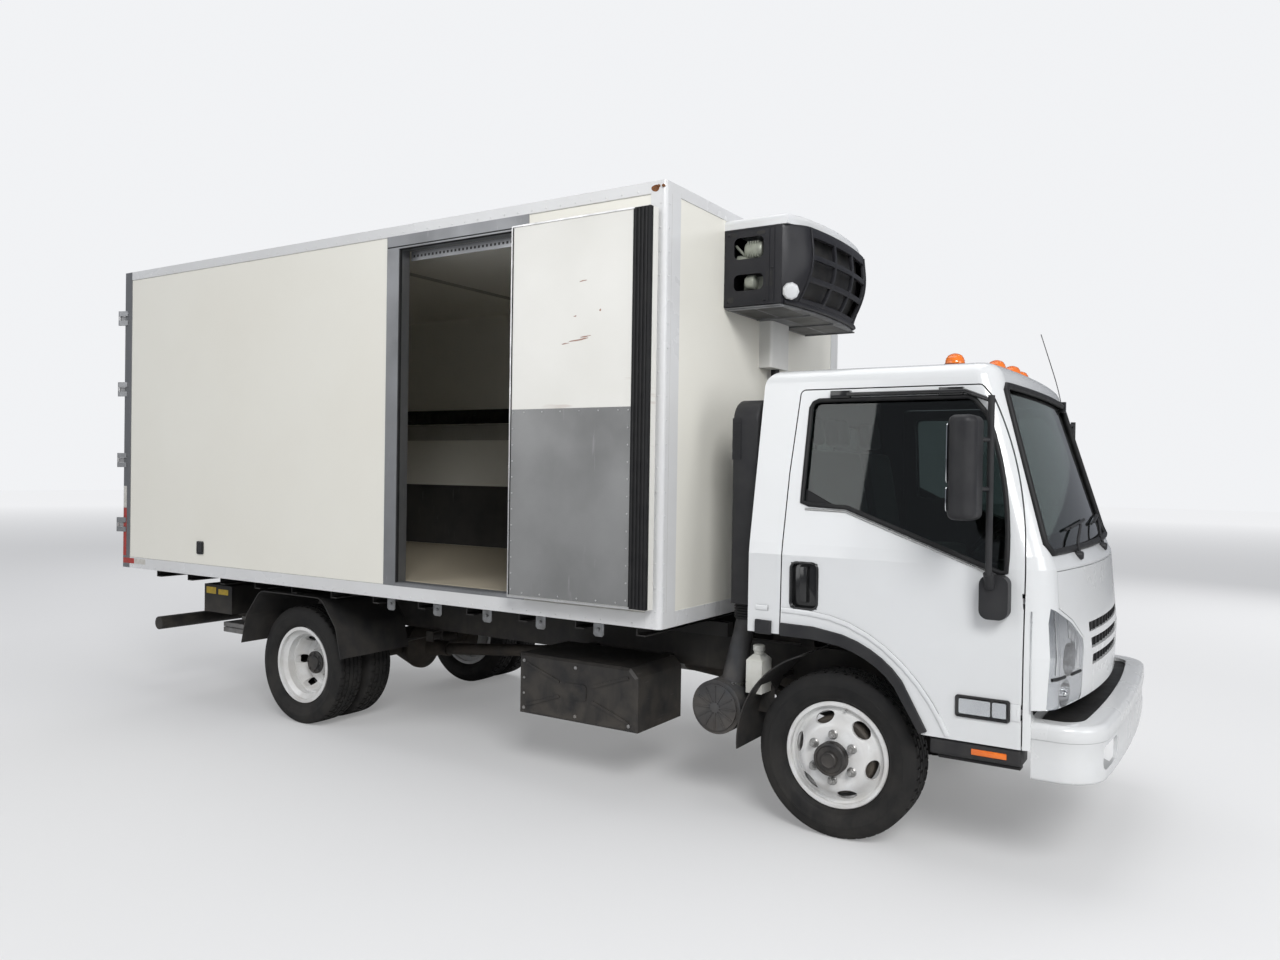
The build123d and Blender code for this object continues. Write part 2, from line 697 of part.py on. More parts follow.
with BuildPart() as front_bumper:
    with BuildSketch(Plane.XY.offset(bumper_bottom)):
        add(bumper_outline(bumper_step))
    extrude(amount=bumper_band - bumper_bottom)
    low_edges = front_bumper.faces().sort_by(Axis.Z)[0].edges()
    fillet(low_edges.filter_by(lambda e: e.center().X > axle + corner_post_x + 1), 14)
    with BuildSketch(Plane.XY.offset(bumper_band)):
        add(bumper_outline(0))
    extrude(amount=bumper_top - bumper_band)
    top_edges = front_bumper.faces().sort_by(Axis.Z)[-1].edges()
    fillet(top_edges.filter_by(lambda e: e.center().X > axle + corner_post_x + 1), 26)
    with BuildSketch(Plane.XY.offset(bumper_bottom - 1)):
        add(bumper_outline(bumper_wall))
    extrude(amount=bumper_top - bumper_bottom - bumper_wall, mode=Mode.SUBTRACT)
    with BuildSketch(Plane.XY.offset(bumper_bottom - 1)):
        add(bumper_outline(95))
    extrude(amount=400, mode=Mode.SUBTRACT)
    for side in (1, -1):
        add(fog_pocket(side, pocket_wall))
        add(fog_pocket(side, 0), mode=Mode.SUBTRACT)
front_bumper.part.label = "front_bumper"
export_step(front_bumper.part, "parts/front_bumper.step")


# Cab: one outer form made from plan sections, from which the shell, doors and glass are cut
def cab_section(half_width, nose, bulge, corner, inset):
    """One plan section of the cab, drawn in by inset."""
    rear = axle - cab_rear
    half = half_width - inset
    shoulder_x = axle + nose - bulge - inset
    with BuildSketch() as section:
        with BuildLine():
            Line((rear, -half), (shoulder_x, -half))
            ThreePointArc((shoulder_x, -half), (axle + nose - inset, 0), (shoulder_x, half))
            Polyline((shoulder_x, half), (rear, half), (rear, -half))
        make_face()
        fillet(section.vertices().group_by(Axis.X)[-1], corner - inset)
    return section.sketch


def cab_side_view(inset):
    """Side view of the cab's underside, back and roof, drawn in by inset."""
    rear = axle - cab_rear
    with BuildSketch(Plane.XZ) as side_view:
        with BuildLine():
            Polyline((axle + arch_front, cab_sill), (axle + corner_post_x, cab_sill),
                     (axle + corner_post_x, nose_bottom),
                     (axle + 1400, nose_bottom), (axle + 1400, cab_roof), (rear, cab_roof), (rear,
                                                                                             cab_floor),
                     (axle + arch_rear, cab_floor))
            ThreePointArc((axle + arch_rear, cab_floor), (axle + arch_middle[0], arch_middle[1]),
                          (axle + arch_front, cab_sill))
        make_face()
        if inset != 0:
            offset(amount=-inset, kind=Kind.INTERSECTION)
    return side_view.sketch


def cab_form(side_inset, inset):
    """The cab as a solid: side_inset draws in its plan sections, inset its underside, back and roof."""
    with BuildPart() as form:
        for height, half_width, nose, bulge, corner in cab_sections:
            with BuildSketch(Plane.XY.offset(height)):
                add(cab_section(half_width, nose, bulge, corner, side_inset))
        loft(ruled=True)
        extrude(cab_side_view(inset), amount=1200, both=True, mode=Mode.INTERSECT)
        roof = form.faces().sort_by(Axis.Z)[-1]
        fillet(roof.edges(), roof_round - side_inset)
        half = tunnel_half_width + inset
        block(axle + tunnel_rear - inset, axle + tunnel_front + inset, -half, half, 0, tunnel_top + inset,
              Mode.SUBTRACT)
    return form.part


def door_view(gap):
    """Side view of a door's outline, drawn in by gap all round."""
    with BuildSketch(Plane.XZ) as view:
        with BuildLine():
            Polyline((axle + door_rear, door_bottom), (axle + door_front, door_bottom),
                     (axle + door_front + 6, 1366))
            ThreePointArc((axle + door_front + 6, 1366), (axle + 845, 1690), (axle + 706, door_top - 70))
            Polyline((axle + 706, door_top - 70), (axle + 650, door_top), (axle + door_rear + 34, door_top),
                     (axle + door_rear + 12, 1778), (axle + door_rear, door_bottom))
        make_face()
        fillet(view.vertices().group_by(Axis.Y)[-1], 30)
        if gap != 0:
            offset(amount=-gap, kind=Kind.INTERSECTION)
    return view.sketch


def window_view(gap):
    """Side view of a door window, drawn in by gap all round."""
    with BuildSketch(Plane.XZ) as view:
        with BuildLine():
            Polyline((axle - 166, 1640), (axle - 160, window_top), (axle + 600, window_top),
                     (axle + 676, 2052))
            ThreePointArc((axle + 676, 2052), (axle + 765, 1745), (axle + 794, 1366))
            Polyline((axle + 794, 1366), (axle + 776, 1360), (axle + 60, 1620), (axle - 130, 1628),
                     (axle - 166, 1640))
        make_face()
        fillet(view.vertices().group_by(Axis.Y)[-1], 34)
        if gap != 0:
            offset(amount=-gap, kind=Kind.INTERSECTION)
    return view.sketch


def windscreen_view(gap):
    """Front view of the windscreen, drawn in by gap all round."""
    with BuildSketch(Plane.YZ) as view:
        with BuildLine():
            Polyline((-932, 1490), (-905, 1452), (905, 1452), (932, 1490), (800, 2162), (775, 2186),
                     (-775, 2186),
                     (-800, 2162), close=True)
        make_face()
        if gap != 0:
            offset(amount=-gap, kind=Kind.INTERSECTION)
    return view.sketch


def rear_window_view(gap):
    """Front view of the window in the cab's back, drawn in by gap all round."""
    with BuildSketch(Plane.YZ) as view:
        with Locations((0, 1845)):
            RectangleRounded(1080 - 2 * gap, 430 - 2 * gap, 50)
    return view.sketch


def lamp_view(side, gap):
    """Front view of one headlamp, drawn in by gap all round."""
    with BuildSketch(Plane.YZ) as view:
        with BuildLine():
            Polyline((side * 628, 800), (side * 628, 1046), (side * 760, 1130), (side * 965, 1212),
                     (side * 978, 1150),
                     (side * 978, 765), (side * 955, 742), (side * 690, 742), close=True)
        make_face()
        if gap != 0:
            offset(amount=-gap, kind=Kind.INTERSECTION)
    return view.sketch


def panel_view(gap):
    """Front view of the nose panel between the lamps, drawn in by gap all round."""
    with BuildSketch(Plane.YZ) as view:
        with BuildLine():
            Polyline((-618, 700), (618, 700), (618, 1052), (752, 1142), (905, 1206), (905, 1368),
                     (-905, 1368),
                     (-905, 1206), (-752, 1142), (-618, 1052), close=True)
        make_face()
        if gap != 0:
            offset(amount=-gap, kind=Kind.INTERSECTION)
    return view.sketch


def placed(view, x):
    """A front view moved forward to x."""
    return view.moved(Location((x, 0, 0)))


nose_start = axle + 560
lamp_start = axle + 890
panel_start = axle + 930
boss_front = axle + 1044
cab_outer = cab_form(0, 0)
cab_inner = cab_form(cab_wall, cab_wall)
door_inner = cab_form(door_thickness, -20)
doorway_inner = cab_form(door_thickness + door_gap, -20)
glass_outer = cab_form(glass_depth, 0)
glass_inner = cab_form(glass_depth + glass_thickness, 0)
lens_inner = cab_form(lens_thickness, 0)
bowl_outer = cab_form(lens_thickness + seat_gap, 0)


def doorway(side):
    """What a door's opening takes out of the shell on one side: the door's seat and the way in."""
    with BuildPart() as seat:
        extrude(door_view(0), amount=1300, dir=(0, side, 0))
        add(doorway_inner, mode=Mode.SUBTRACT)
    return seat.part


def panel_space(gap, clear):
    """The part of the nose that its panel fills, drawn in by gap, and by clear from the tilt bosses."""
    with BuildPart() as space:
        extrude(placed(panel_view(gap), panel_start + gap), amount=400, dir=(1, 0, 0))
        block(panel_start, boss_front + clear, -560 - gap, 560 + gap, 600, 1064 + gap, Mode.SUBTRACT)
    return space.part


# Cab shell: roof, pillars, back, floor and nose, with the tilt pins between two bosses each side
with BuildPart() as cab_shell:
    add(cab_outer)
    add(cab_inner, mode=Mode.SUBTRACT)
    for side in (1, -1):
        add(doorway(side), mode=Mode.SUBTRACT)
        extrude(placed(lamp_view(side, 0), lamp_start), amount=300, dir=(1, 0, 0), mode=Mode.SUBTRACT)
        block(axle + tunnel_front - 1, boss_front, side * 355, side * 445, nose_bottom - 20, tilt_z + 32,
              Mode.SUBTRACT)
        for inner_y in (325, 445.5):
            block(axle + tunnel_front, boss_front, side * inner_y, side * (inner_y + 29.5), nose_bottom,
                  tilt_z + 32)
        rod((axle + tilt_x, side * 340, tilt_z), (axle + tilt_x, side * 460, tilt_z), tilt_pin)
        for z in hinge_heights:
            hinge_y = side * door_hinge_y
            block(door_hinge_x, axle + door_front + 12, hinge_y - side * hinge_lug, hinge_y - side * 40,
                  z - 12, z + 12)
            block(door_hinge_x - 7, door_hinge_x + 6, hinge_y - side * 5, hinge_y - side * 20, z - 12,
                  z + 12)
            rod((door_hinge_x, hinge_y, z - 12), (door_hinge_x, hinge_y, z + 12), hinge_barrel)
            rod((door_hinge_x, hinge_y, z - 20), (door_hinge_x, hinge_y, z + 20), hinge_pin + running_gap,
                Mode.SUBTRACT)
    extrude(placed(windscreen_view(0), nose_start), amount=700, dir=(1, 0, 0), mode=Mode.SUBTRACT)
    extrude(placed(rear_window_view(0), cab_back - 10), amount=100, dir=(1, 0, 0), mode=Mode.SUBTRACT)
    add(panel_space(0, 0), mode=Mode.SUBTRACT)
cab_shell.part.label = "cab_shell"
export_step(cab_shell.part, "parts/cab_shell.step")

# Nose panel between the lamps, with its grille slots
grille_openings = (
    # height of the slot's middle, half width, half height
    (930, 470, 24),
    (1010, 500, 24),
    (1086, 520, 22),
)
with BuildPart() as front_panel:
    add(cab_outer)
    add(cab_inner, mode=Mode.SUBTRACT)
    add(panel_space(panel_gap, seat_gap), mode=Mode.INTERSECT)
    for z, half_width, half_height in grille_openings:
        block(panel_start, axle + 1200, -half_width, half_width, z - half_height, z + half_height,
              Mode.SUBTRACT)
front_panel.part.label = "front_panel"
export_step(front_panel.part, "parts/front_panel.step")

# Cab glass: the curved windscreen and the window in the back
with BuildPart() as cab_glass:
    add(glass_outer)
    add(glass_inner, mode=Mode.SUBTRACT)
    extrude(placed(windscreen_view(seat_gap), nose_start), amount=700, dir=(1, 0, 0), mode=Mode.INTERSECT)
    pane = placed(rear_window_view(seat_gap), cab_back + glass_depth)
    extrude(pane, amount=glass_thickness, dir=(1, 0, 0))
cab_glass.part.label = "cab_glass"
export_step(cab_glass.part, "parts/cab_glass.step")

# Headlamps: a clear lens over a bowl on each corner of the nose
with BuildPart() as headlamps:
    for side in (1, -1):
        extrude(placed(lamp_view(side, seat_gap), lamp_start), amount=300, dir=(1, 0, 0))
    add(cab_outer, mode=Mode.INTERSECT)
    add(lens_inner, mode=Mode.SUBTRACT)
headlamps.part.label = "headlamps"
export_step(headlamps.part, "parts/headlamps.step")

with BuildPart() as lamp_bowls:
    for side in (1, -1):
        extrude(placed(lamp_view(side, seat_gap), lamp_start), amount=300, dir=(1, 0, 0))
    add(bowl_outer, mode=Mode.INTERSECT)
    for side in (1, -1):
        for y, z, radius in ((800, 980, 78), (840, 830, 62)):
            rod((axle + 925, side * y, z), (axle + 1200, side * y, z), radius, Mode.SUBTRACT)
lamp_bowls.part.label = "lamp_bowls"
export_step(lamp_bowls.part, "parts/lamp_bowls.step")

# Doors: each cut from the cab's own form, with its window, handle recess and hinge notches
for side_name, side in (("left", 1), ("right", -1)):
    with BuildPart() as door:
        extrude(door_view(door_gap), amount=1300, dir=(0, side, 0))
        add(cab_outer, mode=Mode.INTERSECT)
        add(door_inner, mode=Mode.SUBTRACT)
        extrude(window_view(0), amount=1300, dir=(0, side, 0), mode=Mode.SUBTRACT)
        block(axle - 203, axle - 65, side * 1008, side * 1100, 1121, 1343, Mode.SUBTRACT)
        for z in hinge_heights:
            hinge_y = side * door_hinge_y
            block(axle + 800, axle + door_front + 1, hinge_y + side * 9, side * 900, z - hinge_notch,
                  z + hinge_notch,
                  Mode.SUBTRACT)
            rod((door_hinge_x, hinge_y, z - hinge_notch - 1), (door_hinge_x, hinge_y, z + hinge_notch + 1),
                hinge_pin)
    door.part.label = f"{side_name}_door"
    export_step(door.part, f"parts/{side_name}_door.step")

    with BuildPart() as door_glass:
        extrude(window_view(seat_gap), amount=1300, dir=(0, side, 0))
        add(glass_outer, mode=Mode.INTERSECT)
        add(glass_inner, mode=Mode.SUBTRACT)
    door_glass.part.label = f"{side_name}_door_glass"
    export_step(door_glass.part, f"parts/{side_name}_door_glass.step")

    # Mirror: a tall head on a bar that stands off the door's front edge
    with BuildPart() as mirror_unit:
        with BuildSketch(Plane.XY.offset(1590)):
            with Locations((axle + 668, side * (mirror_outer - 95))):
                RectangleRounded(120, 190, 50)
        extrude(amount=440)
        fillet(mirror_unit.faces().group_by(Axis.Z)[-1].edges(), 30)
        fillet(mirror_unit.faces().group_by(Axis.Z)[0].edges(), 30)
        rod((axle + 745, side * 1130, 1345), (axle + 745, side * 1130, 2120), 14)
        rod((axle + 745, side * 1130, 1720), (axle + 700, side * 1180, 1720), 10)
        rod((axle + 745, side * 1130, 1930), (axle + 700, side * 1180, 1930), 10)
        rod((axle + 745, side * 1130, 2098), (axle + 700, side * 915, 2104), 10)
        with BuildSketch(Plane.XZ.offset(-side * mirror_seat)):
            with Locations((axle + 760, 1255)):
                RectangleRounded(120, 190, 40)
        extrude(amount=-side * 70)
        rod((axle + 745, side * 1095, 1300), (axle + 745, side * 1130, 1360), 22)
    mirror_unit.part.label = f"{side_name}_mirror"
    export_step(mirror_unit.part, f"parts/{side_name}_mirror.step")

# Seats: a driver's seat on the left and a double seat on the right, each on a box base
# Columns: middle Y, width
seat_places = (
    (440, 500),
    (-300, 860),
)
floor_inside = tunnel_top + cab_wall
seat_back_x = axle - 290
with BuildPart() as seats:
    for y, width in seat_places:
        base_half = width / 2 - 40
        block(seat_back_x + 40, seat_back_x + 460, y - base_half, y + base_half, floor_inside,
              floor_inside + 200)
        with BuildSketch(Plane.XZ.offset(-y - width / 2)):
            with BuildLine():
                Polyline((seat_back_x + 30, floor_inside + 200), (seat_back_x + 500, floor_inside + 200),
                         (seat_back_x + 520, floor_inside + 310), (seat_back_x + 130, floor_inside + 290),
                         (seat_back_x + 20, floor_inside + 860), (seat_back_x - 70, floor_inside + 860),
                         (seat_back_x, floor_inside + 260), close=True)
            make_face()
        extrude(amount=width)
    for y in (440, -110, -500):
        block(seat_back_x - 70, seat_back_x + 5, y - 120, y + 120, floor_inside + 880, floor_inside + 1040)
        for post in (-60, 60):
            rod((seat_back_x - 30, y + post, floor_inside + 850),
                (seat_back_x - 30, y + post, floor_inside + 890), 6)
seats.part.label = "seats"
export_step(seats.part, "parts/seats.step")

# Dashboard: a moulded shelf trimmed to the cab's inner face, with the steering column
wheel_centre = Vector(axle + 470, 440, 1470)
column_foot = Vector(axle + 660, 440, 1260)
column = (wheel_centre - column_foot).normalized()
wheel_boss = 40.0
with BuildPart() as dashboard:
    with BuildSketch(Plane.XZ.offset(-950)):
        with BuildLine():
            Polyline((axle + 600, 1130), (axle + 900, 1070), (axle + 1100, 1070), (axle + 1100, 1392),
                     (axle + 780, 1402),
                     (axle + 650, 1345), close=True)
        make_face()
    extrude(amount=1900)
    add(cab_form(cab_wall + seat_gap, cab_wall + seat_gap), mode=Mode.INTERSECT)
    for side in (1, -1):
        block(axle + 880, axle + 1100, side * 600, side * 960, 1000, 1225, Mode.SUBTRACT)
    rod(column_foot, wheel_centre - column * (wheel_boss / 2 + seat_gap), 38)
dashboard.part.label = "dashboard"
export_step(dashboard.part, "parts/dashboard.step")

# Steering wheel: a rim, two spokes and a boss, tilted towards the driver
with BuildPart() as steering_wheel:
    with BuildSketch(Plane(origin=wheel_centre, x_dir=(0, 1, 0), z_dir=Vector(0, 1, 0).cross(column))):
        with Locations((205, 0)):
            RegularPolygon(15, 8)
    revolve(axis=Axis(wheel_centre, column))
    with Locations(Plane(origin=wheel_centre, x_dir=(0, 1, 0), z_dir=column)):
        Cylinder(52, wheel_boss)
        Box(400, 34, 12)
steering_wheel.part.label = "steering_wheel"
export_step(steering_wheel.part, "parts/steering_wheel.step")

# Snorkel: a flat intake that rides on the cab's back, over the duct of the air cleaner
louvres = 9
with BuildPart() as snorkel:
    with BuildSketch(Plane.XY.offset(1190)):
        with Locations((snorkel_x, snorkel_y)):
            RectangleRounded(100, 190, 30)
    extrude(amount=970)
    fillet(snorkel.faces().sort_by(Axis.Z)[-1].edges(), 25)
    with BuildSketch(Plane.XY.offset(1200)):
        with Locations((snorkel_x, snorkel_y)):
            RectangleRounded(100, 190, 30)
    with BuildSketch(Plane.XY.offset(1060)):
        with Locations((snorkel_x, snorkel_y)):
            Circle(58)
    loft()
    rod((snorkel_x, snorkel_y, duct_top + seat_gap), (snorkel_x, snorkel_y, 1060), 58)
    for z in (1300, 2050):
        block(snorkel_x + 40, cab_back, snorkel_y - 30, snorkel_y + 30, z - 15, z + 15)
    with BuildSketch(Plane.XZ.offset(-snorkel_y + 95 + 1)):
        with Locations((snorkel_x, 1930)):
            with GridLocations(1, 22, 1, louvres):
                Rectangle(56, 9)
    extrude(amount=-8, mode=Mode.SUBTRACT)
snorkel.part.label = "snorkel"
export_step(snorkel.part, "parts/snorkel.step")

# Insulated body: floor on runners and cross sills, panel walls, roof and the rails round them
floor_bottom = floor_top - floor_thickness
sill_bottom = floor_bottom - sill_height
post_inner = box_half_width - corner_post_face
sill_count = int((box_length - sill_spacing) // sill_spacing) + 1
with BuildPart() as box_floor:
    block(inner_rear, inner_front, -wall_inner, wall_inner, floor_bottom, floor_top)
    for number in range(sill_count):
        x = box_front_x - 180 - number * sill_spacing
        with BuildSketch(Plane.XZ.offset(-wall_inner + 20)):
            with Locations((x, sill_bottom + sill_height / 2)):
                Rectangle(60, sill_height)
            with Locations((x + 6, sill_bottom + sill_height / 2)):
                Rectangle(60, sill_height - 14, mode=Mode.SUBTRACT)
        extrude(amount=2 * wall_inner - 40)
    for side in (1, -1):
        block(box_rear_x + 60, box_front_x - 20, side * 361, side * 425, rail_top, sill_bottom)
box_floor.part.label = "box_floor"
export_step(box_floor.part, "parts/box_floor.step")

with BuildPart() as box_left_wall:
    block(inner_rear, box_front_x - corner_post, wall_inner, wall_outer, wall_bottom, wall_top)
box_left_wall.part.label = "box_left_wall"
export_step(box_left_wall.part, "parts/box_left_wall.step")

frame_x0 = side_x0 - side_jamb
frame_x1 = side_x1 + side_hinge_jamb
with BuildPart() as box_right_wall:
    block(inner_rear, frame_x0, -wall_outer, -wall_inner, wall_bottom, wall_top)
    block(frame_x1, box_front_x - corner_post, -wall_outer, -wall_inner, wall_bottom, wall_top)
box_right_wall.part.label = "box_right_wall"
export_step(box_right_wall.part, "parts/box_right_wall.step")

with BuildPart() as box_front_wall:
    block(inner_front, wall_front_x, -post_inner, post_inner, wall_bottom, wall_top)
box_front_wall.part.label = "box_front_wall"
export_step(box_front_wall.part, "parts/box_front_wall.step")

with BuildPart() as box_roof:
    block(inner_rear, inner_front, -wall_inner, wall_inner, ceiling, box_top - rail_proud)
box_roof.part.label = "box_roof"
export_step(box_roof.part, "parts/box_roof.step")

# Rails: eight aluminium sections along the body's edges, each a separate length
with BuildPart() as box_rails:
    for side in (1, -1):
        for z0, z1 in ((box_bottom, wall_bottom), (wall_top, box_top)):
            block(inner_rear, box_front_x - corner_post - rail_gap, side * wall_inner,
                  side * box_half_width, z0, z1)
        with BuildSketch(Plane.XY.offset(box_bottom)):
            with Locations((box_front_x - corner_post / 2, side * (box_half_width - corner_post_face / 2))):
                Rectangle(corner_post, corner_post_face)
        extrude(amount=box_top - box_bottom)
    for z0, z1 in ((box_bottom, wall_bottom), (wall_top, box_top)):
        block(inner_front, box_front_x, rail_gap - post_inner, post_inner - rail_gap, z0, z1)
    outer_corners = box_rails.edges().filter_by(Axis.Z).group_by(Axis.X)[-1]
    fillet(outer_corners.filter_by(lambda e: abs(e.center().Y) > box_half_width - 1), 30)
box_rails.part.label = "box_rails"
export_step(box_rails.part, "parts/box_rails.step")

# Side door frame: jambs, header and threshold set into the right wall, with the hinge pins


def side_hinge_axis(z0, z1, radius, mode=Mode.ADD):
    """A round piece on the side door's hinge axis between two heights."""
    rod((side_hinge_x, side_hinge_y, z0), (side_hinge_x, side_hinge_y, z1), radius, mode)


with BuildPart() as side_door_frame:
    block(frame_x0, frame_x1, -box_half_width, -wall_inner, wall_bottom, wall_top)
    block(side_x0, side_x1, -box_half_width - 1, -wall_inner + 1, side_opening_bottom, side_opening_top,
          Mode.SUBTRACT)
    for z in side_hinge_heights:
        for end in (1, -1):
            z0 = z + end * (knuckle_length / 2 + 1)
            z1 = z + end * hinge_length / 2
            side_hinge_axis(min(z0, z1), max(z0, z1), hinge_knuckle)
            block(side_hinge_x - 6, side_hinge_x + 6, side_hinge_y, -box_half_width + 1, min(z0, z1),
                  max(z0, z1))
        side_hinge_axis(z - hinge_length / 2, z + hinge_length / 2, hinge_pin)
side_door_frame.part.label = "side_door_frame"
export_step(side_door_frame.part, "parts/side_door_frame.step")

# Side door: drawn as it stands, folded flat against the wall
side_door_x0 = side_hinge_x + side_hinge_back + side_door_hinge_gap
side_door_x1 = side_hinge_x + side_hinge_back + side_opening_width - side_door_free_gap
side_door_face = side_hinge_y - side_hinge_out
side_strap = 140.0
with BuildPart() as side_door:
    block(side_door_x0, side_door_x1, side_door_face, side_door_face - side_door_thickness,
          side_opening_bottom + side_door_end_gap, side_opening_top - side_door_end_gap)
    for z in side_hinge_heights:
        low = z - knuckle_length / 2
        high = z + knuckle_length / 2
        side_hinge_axis(low, high, hinge_knuckle)
        block(side_hinge_x, side_door_x0 + side_strap, side_hinge_y + 4, side_hinge_y - 4, low, high)
        block(side_door_x0, side_door_x0 + side_strap, side_hinge_y - 3, side_door_face - 1, low, high)
        side_hinge_axis(z - hinge_length / 2, z + hinge_length / 2, hinge_pin + running_gap, Mode.SUBTRACT)
side_door.part.label = "side_door"
export_step(side_door.part, "parts/side_door.step")

# Rear frame: posts, header and sill, with the hinge pins at its outer corners
rear_opening_half = box_half_width - rear_post


def rear_plan(side, points):
    """A plan outline from points given behind the body and outward, on one side."""
    with BuildSketch() as plan:
        with BuildLine():
            Polyline([(box_rear_x - back, side * out) for back, out in points], close=True)
        make_face()
    return plan.sketch


def rear_hinge_axis(side, z0, z1, radius, mode=Mode.ADD):
    """A round piece on a rear door's hinge axis between two heights."""
    rod((rear_hinge_x, side * rear_hinge_y, z0), (rear_hinge_x, side * rear_hinge_y, z1), radius, mode)


# Plan of a hinge bracket on the frame and of the cranked end of a door's strap: behind, outward
bracket_plan = (
    (rear_hinge_back + 6, rear_hinge_y + 8),
    (rear_hinge_back - 8, rear_hinge_y + 9),
    (-40, box_half_width + 6),
    (-40, box_half_width - 1),
    (-1, box_half_width - 1),
    (rear_hinge_back + 6, rear_hinge_y - 4),
)
crank_plan = (
    (strap_stand, rear_hinge_y - 30),
    (rear_hinge_back + 6, rear_hinge_y - 6),
    (rear_hinge_back - 6, rear_hinge_y - 2),
    (strap_stand - strap_thickness, rear_hinge_y - 26),
    (strap_stand - strap_thickness, rear_hinge_y - 40),
    (strap_stand, rear_hinge_y - 40),
)
with BuildPart() as rear_frame:
    block(box_rear_x, inner_rear, -box_half_width, box_half_width, box_bottom, box_top)
    block(box_rear_x - 1, inner_rear + 1, -rear_opening_half, rear_opening_half, side_opening_bottom,
          side_opening_top, Mode.SUBTRACT)
    for side in (1, -1):
        bracket = rear_plan(side, bracket_plan)
        for z in rear_hinge_heights:
            length = hinge_length / 2 - knuckle_length / 2 - 1
            for low in (z - hinge_length / 2, z + knuckle_length / 2 + 1):
                rear_hinge_axis(side, low, low + length, hinge_knuckle)
                extrude(bracket.moved(Location((0, 0, low))), amount=length, dir=(0, 0, 1))
            rear_hinge_axis(side, z - hinge_length / 2, z + hinge_length / 2, hinge_pin)
rear_frame.part.label = "rear_frame"
export_step(rear_frame.part, "parts/rear_frame.step")

# Rear doors: two insulated leaves with strap hinges and lock rods
lock_y = 240.0
lock_keepers = (1120.0, 1500.0, 2150.0, 2750.0, 3060.0)
rear_strap = 250.0
handle_z = 1600.0
for side_name, side in (("left", 1), ("right", -1)):
    with BuildPart() as rear_door:
        door_outer = rear_opening_half - rear_door_gap
        block(box_rear_x, box_rear_x + rear_door_thickness, side * rear_meeting_gap, side * door_outer,
              side_opening_bottom + side_door_end_gap, side_opening_top - side_door_end_gap)
        for z in rear_hinge_heights:
            low = z - knuckle_length / 2
            high = z + knuckle_length / 2
            strap_x = box_rear_x - strap_stand
            strap_start = side * (rear_opening_half - rear_strap)
            rear_hinge_axis(side, low, high, hinge_knuckle)
            block(strap_x, strap_x + strap_thickness, strap_start, side * (rear_hinge_y - 30), low, high)
            block(strap_x, box_rear_x + 1, strap_start, side * door_outer, low, high)
            crank = rear_plan(side, crank_plan).moved(Location((0, 0, low)))
            extrude(crank, amount=knuckle_length, dir=(0, 0, 1))
            rear_hinge_axis(side, z - hinge_length / 2, z + hinge_length / 2, hinge_pin + running_gap,
                            Mode.SUBTRACT)
        lock_x = box_rear_x - lock_rod_stand
        lock_low = side_opening_bottom + side_door_end_gap + 6
        lock_high = side_opening_top - side_door_end_gap - 6
        rod((lock_x, side * lock_y, lock_low), (lock_x, side * lock_y, lock_high), lock_rod_radius)
        for z in lock_keepers:
            block(lock_x - 15, box_rear_x + 1, side * (lock_y - 30), side * (lock_y + 30), z - 22, z + 22)
        block(lock_x - 20, lock_x, side * lock_y, side * (lock_y + 420), handle_z - 15, handle_z + 15)
        block(lock_x - 19, box_rear_x + 1, side * (lock_y + 380), side * (lock_y + 410), handle_z - 25,
              handle_z + 25)
    rear_door.part.label = f"rear_{side_name}_door"
    export_step(rear_door.part, f"parts/rear_{side_name}_door.step")

# Refrigeration unit on the front wall: a plate housing, a louvred nose, a top cover and the coil
unit_back = wall_front_x


def unit_plan(front, inset):
    """Plan outline of the unit's nose at one height, drawn in by inset."""
    half = unit_half_width - inset
    side_x = unit_back + unit_side_depth
    with BuildSketch() as plan:
        with BuildLine():
            Polyline((unit_back + unit_side_depth - 30, -half), (side_x, -half),
                     (unit_back + front - 40 - inset, -half + 150))
            ThreePointArc((unit_back + front - 40 - inset, -half + 150), (unit_back + front - inset, 0),
                          (unit_back + front - 40 - inset, half - 150))
            Polyline((unit_back + front - 40 - inset, half - 150), (side_x, half),
                     (unit_back + unit_side_depth - 30, half),
                     (unit_back + unit_side_depth - 30, -half))
        make_face()
    return plan.sketch


def unit_nose(inset):
    """The louvred nose as a solid, drawn in by inset."""
    with BuildPart() as nose:
        with BuildSketch(Plane.XY.offset(unit_bottom)):
            add(unit_plan(unit_front_bottom, inset))
        with BuildSketch(Plane.XY.offset(unit_cover_z)):
            add(unit_plan(unit_front_top, inset))
        loft(ruled=True)
    return nose.part


with BuildPart() as unit_housing:
    block(unit_back, unit_back + unit_plate, -unit_half_width, unit_half_width, unit_bottom, unit_cover_z)
    block(unit_back, unit_back + unit_side_depth - 31, -unit_half_width, unit_half_width, unit_bottom,
          unit_bottom + unit_plate)
    for side in (1, -1):
        block(unit_back, unit_back + unit_side_depth - 31, side * (unit_half_width - unit_plate),
              side * unit_half_width,
              unit_bottom, unit_cover_z)
        with BuildSketch(Plane.XZ.offset(-side * unit_half_width)):
            for z, height in ((unit_bottom + 320, 120), (unit_bottom + 130, 90)):
                with Locations((unit_back + 150, z)):
                    RectangleRounded(180, height, 30)
        extrude(amount=side * 20, both=True, mode=Mode.SUBTRACT)
unit_housing.part.label = "unit_housing"
export_step(unit_housing.part, "parts/unit_housing.step")

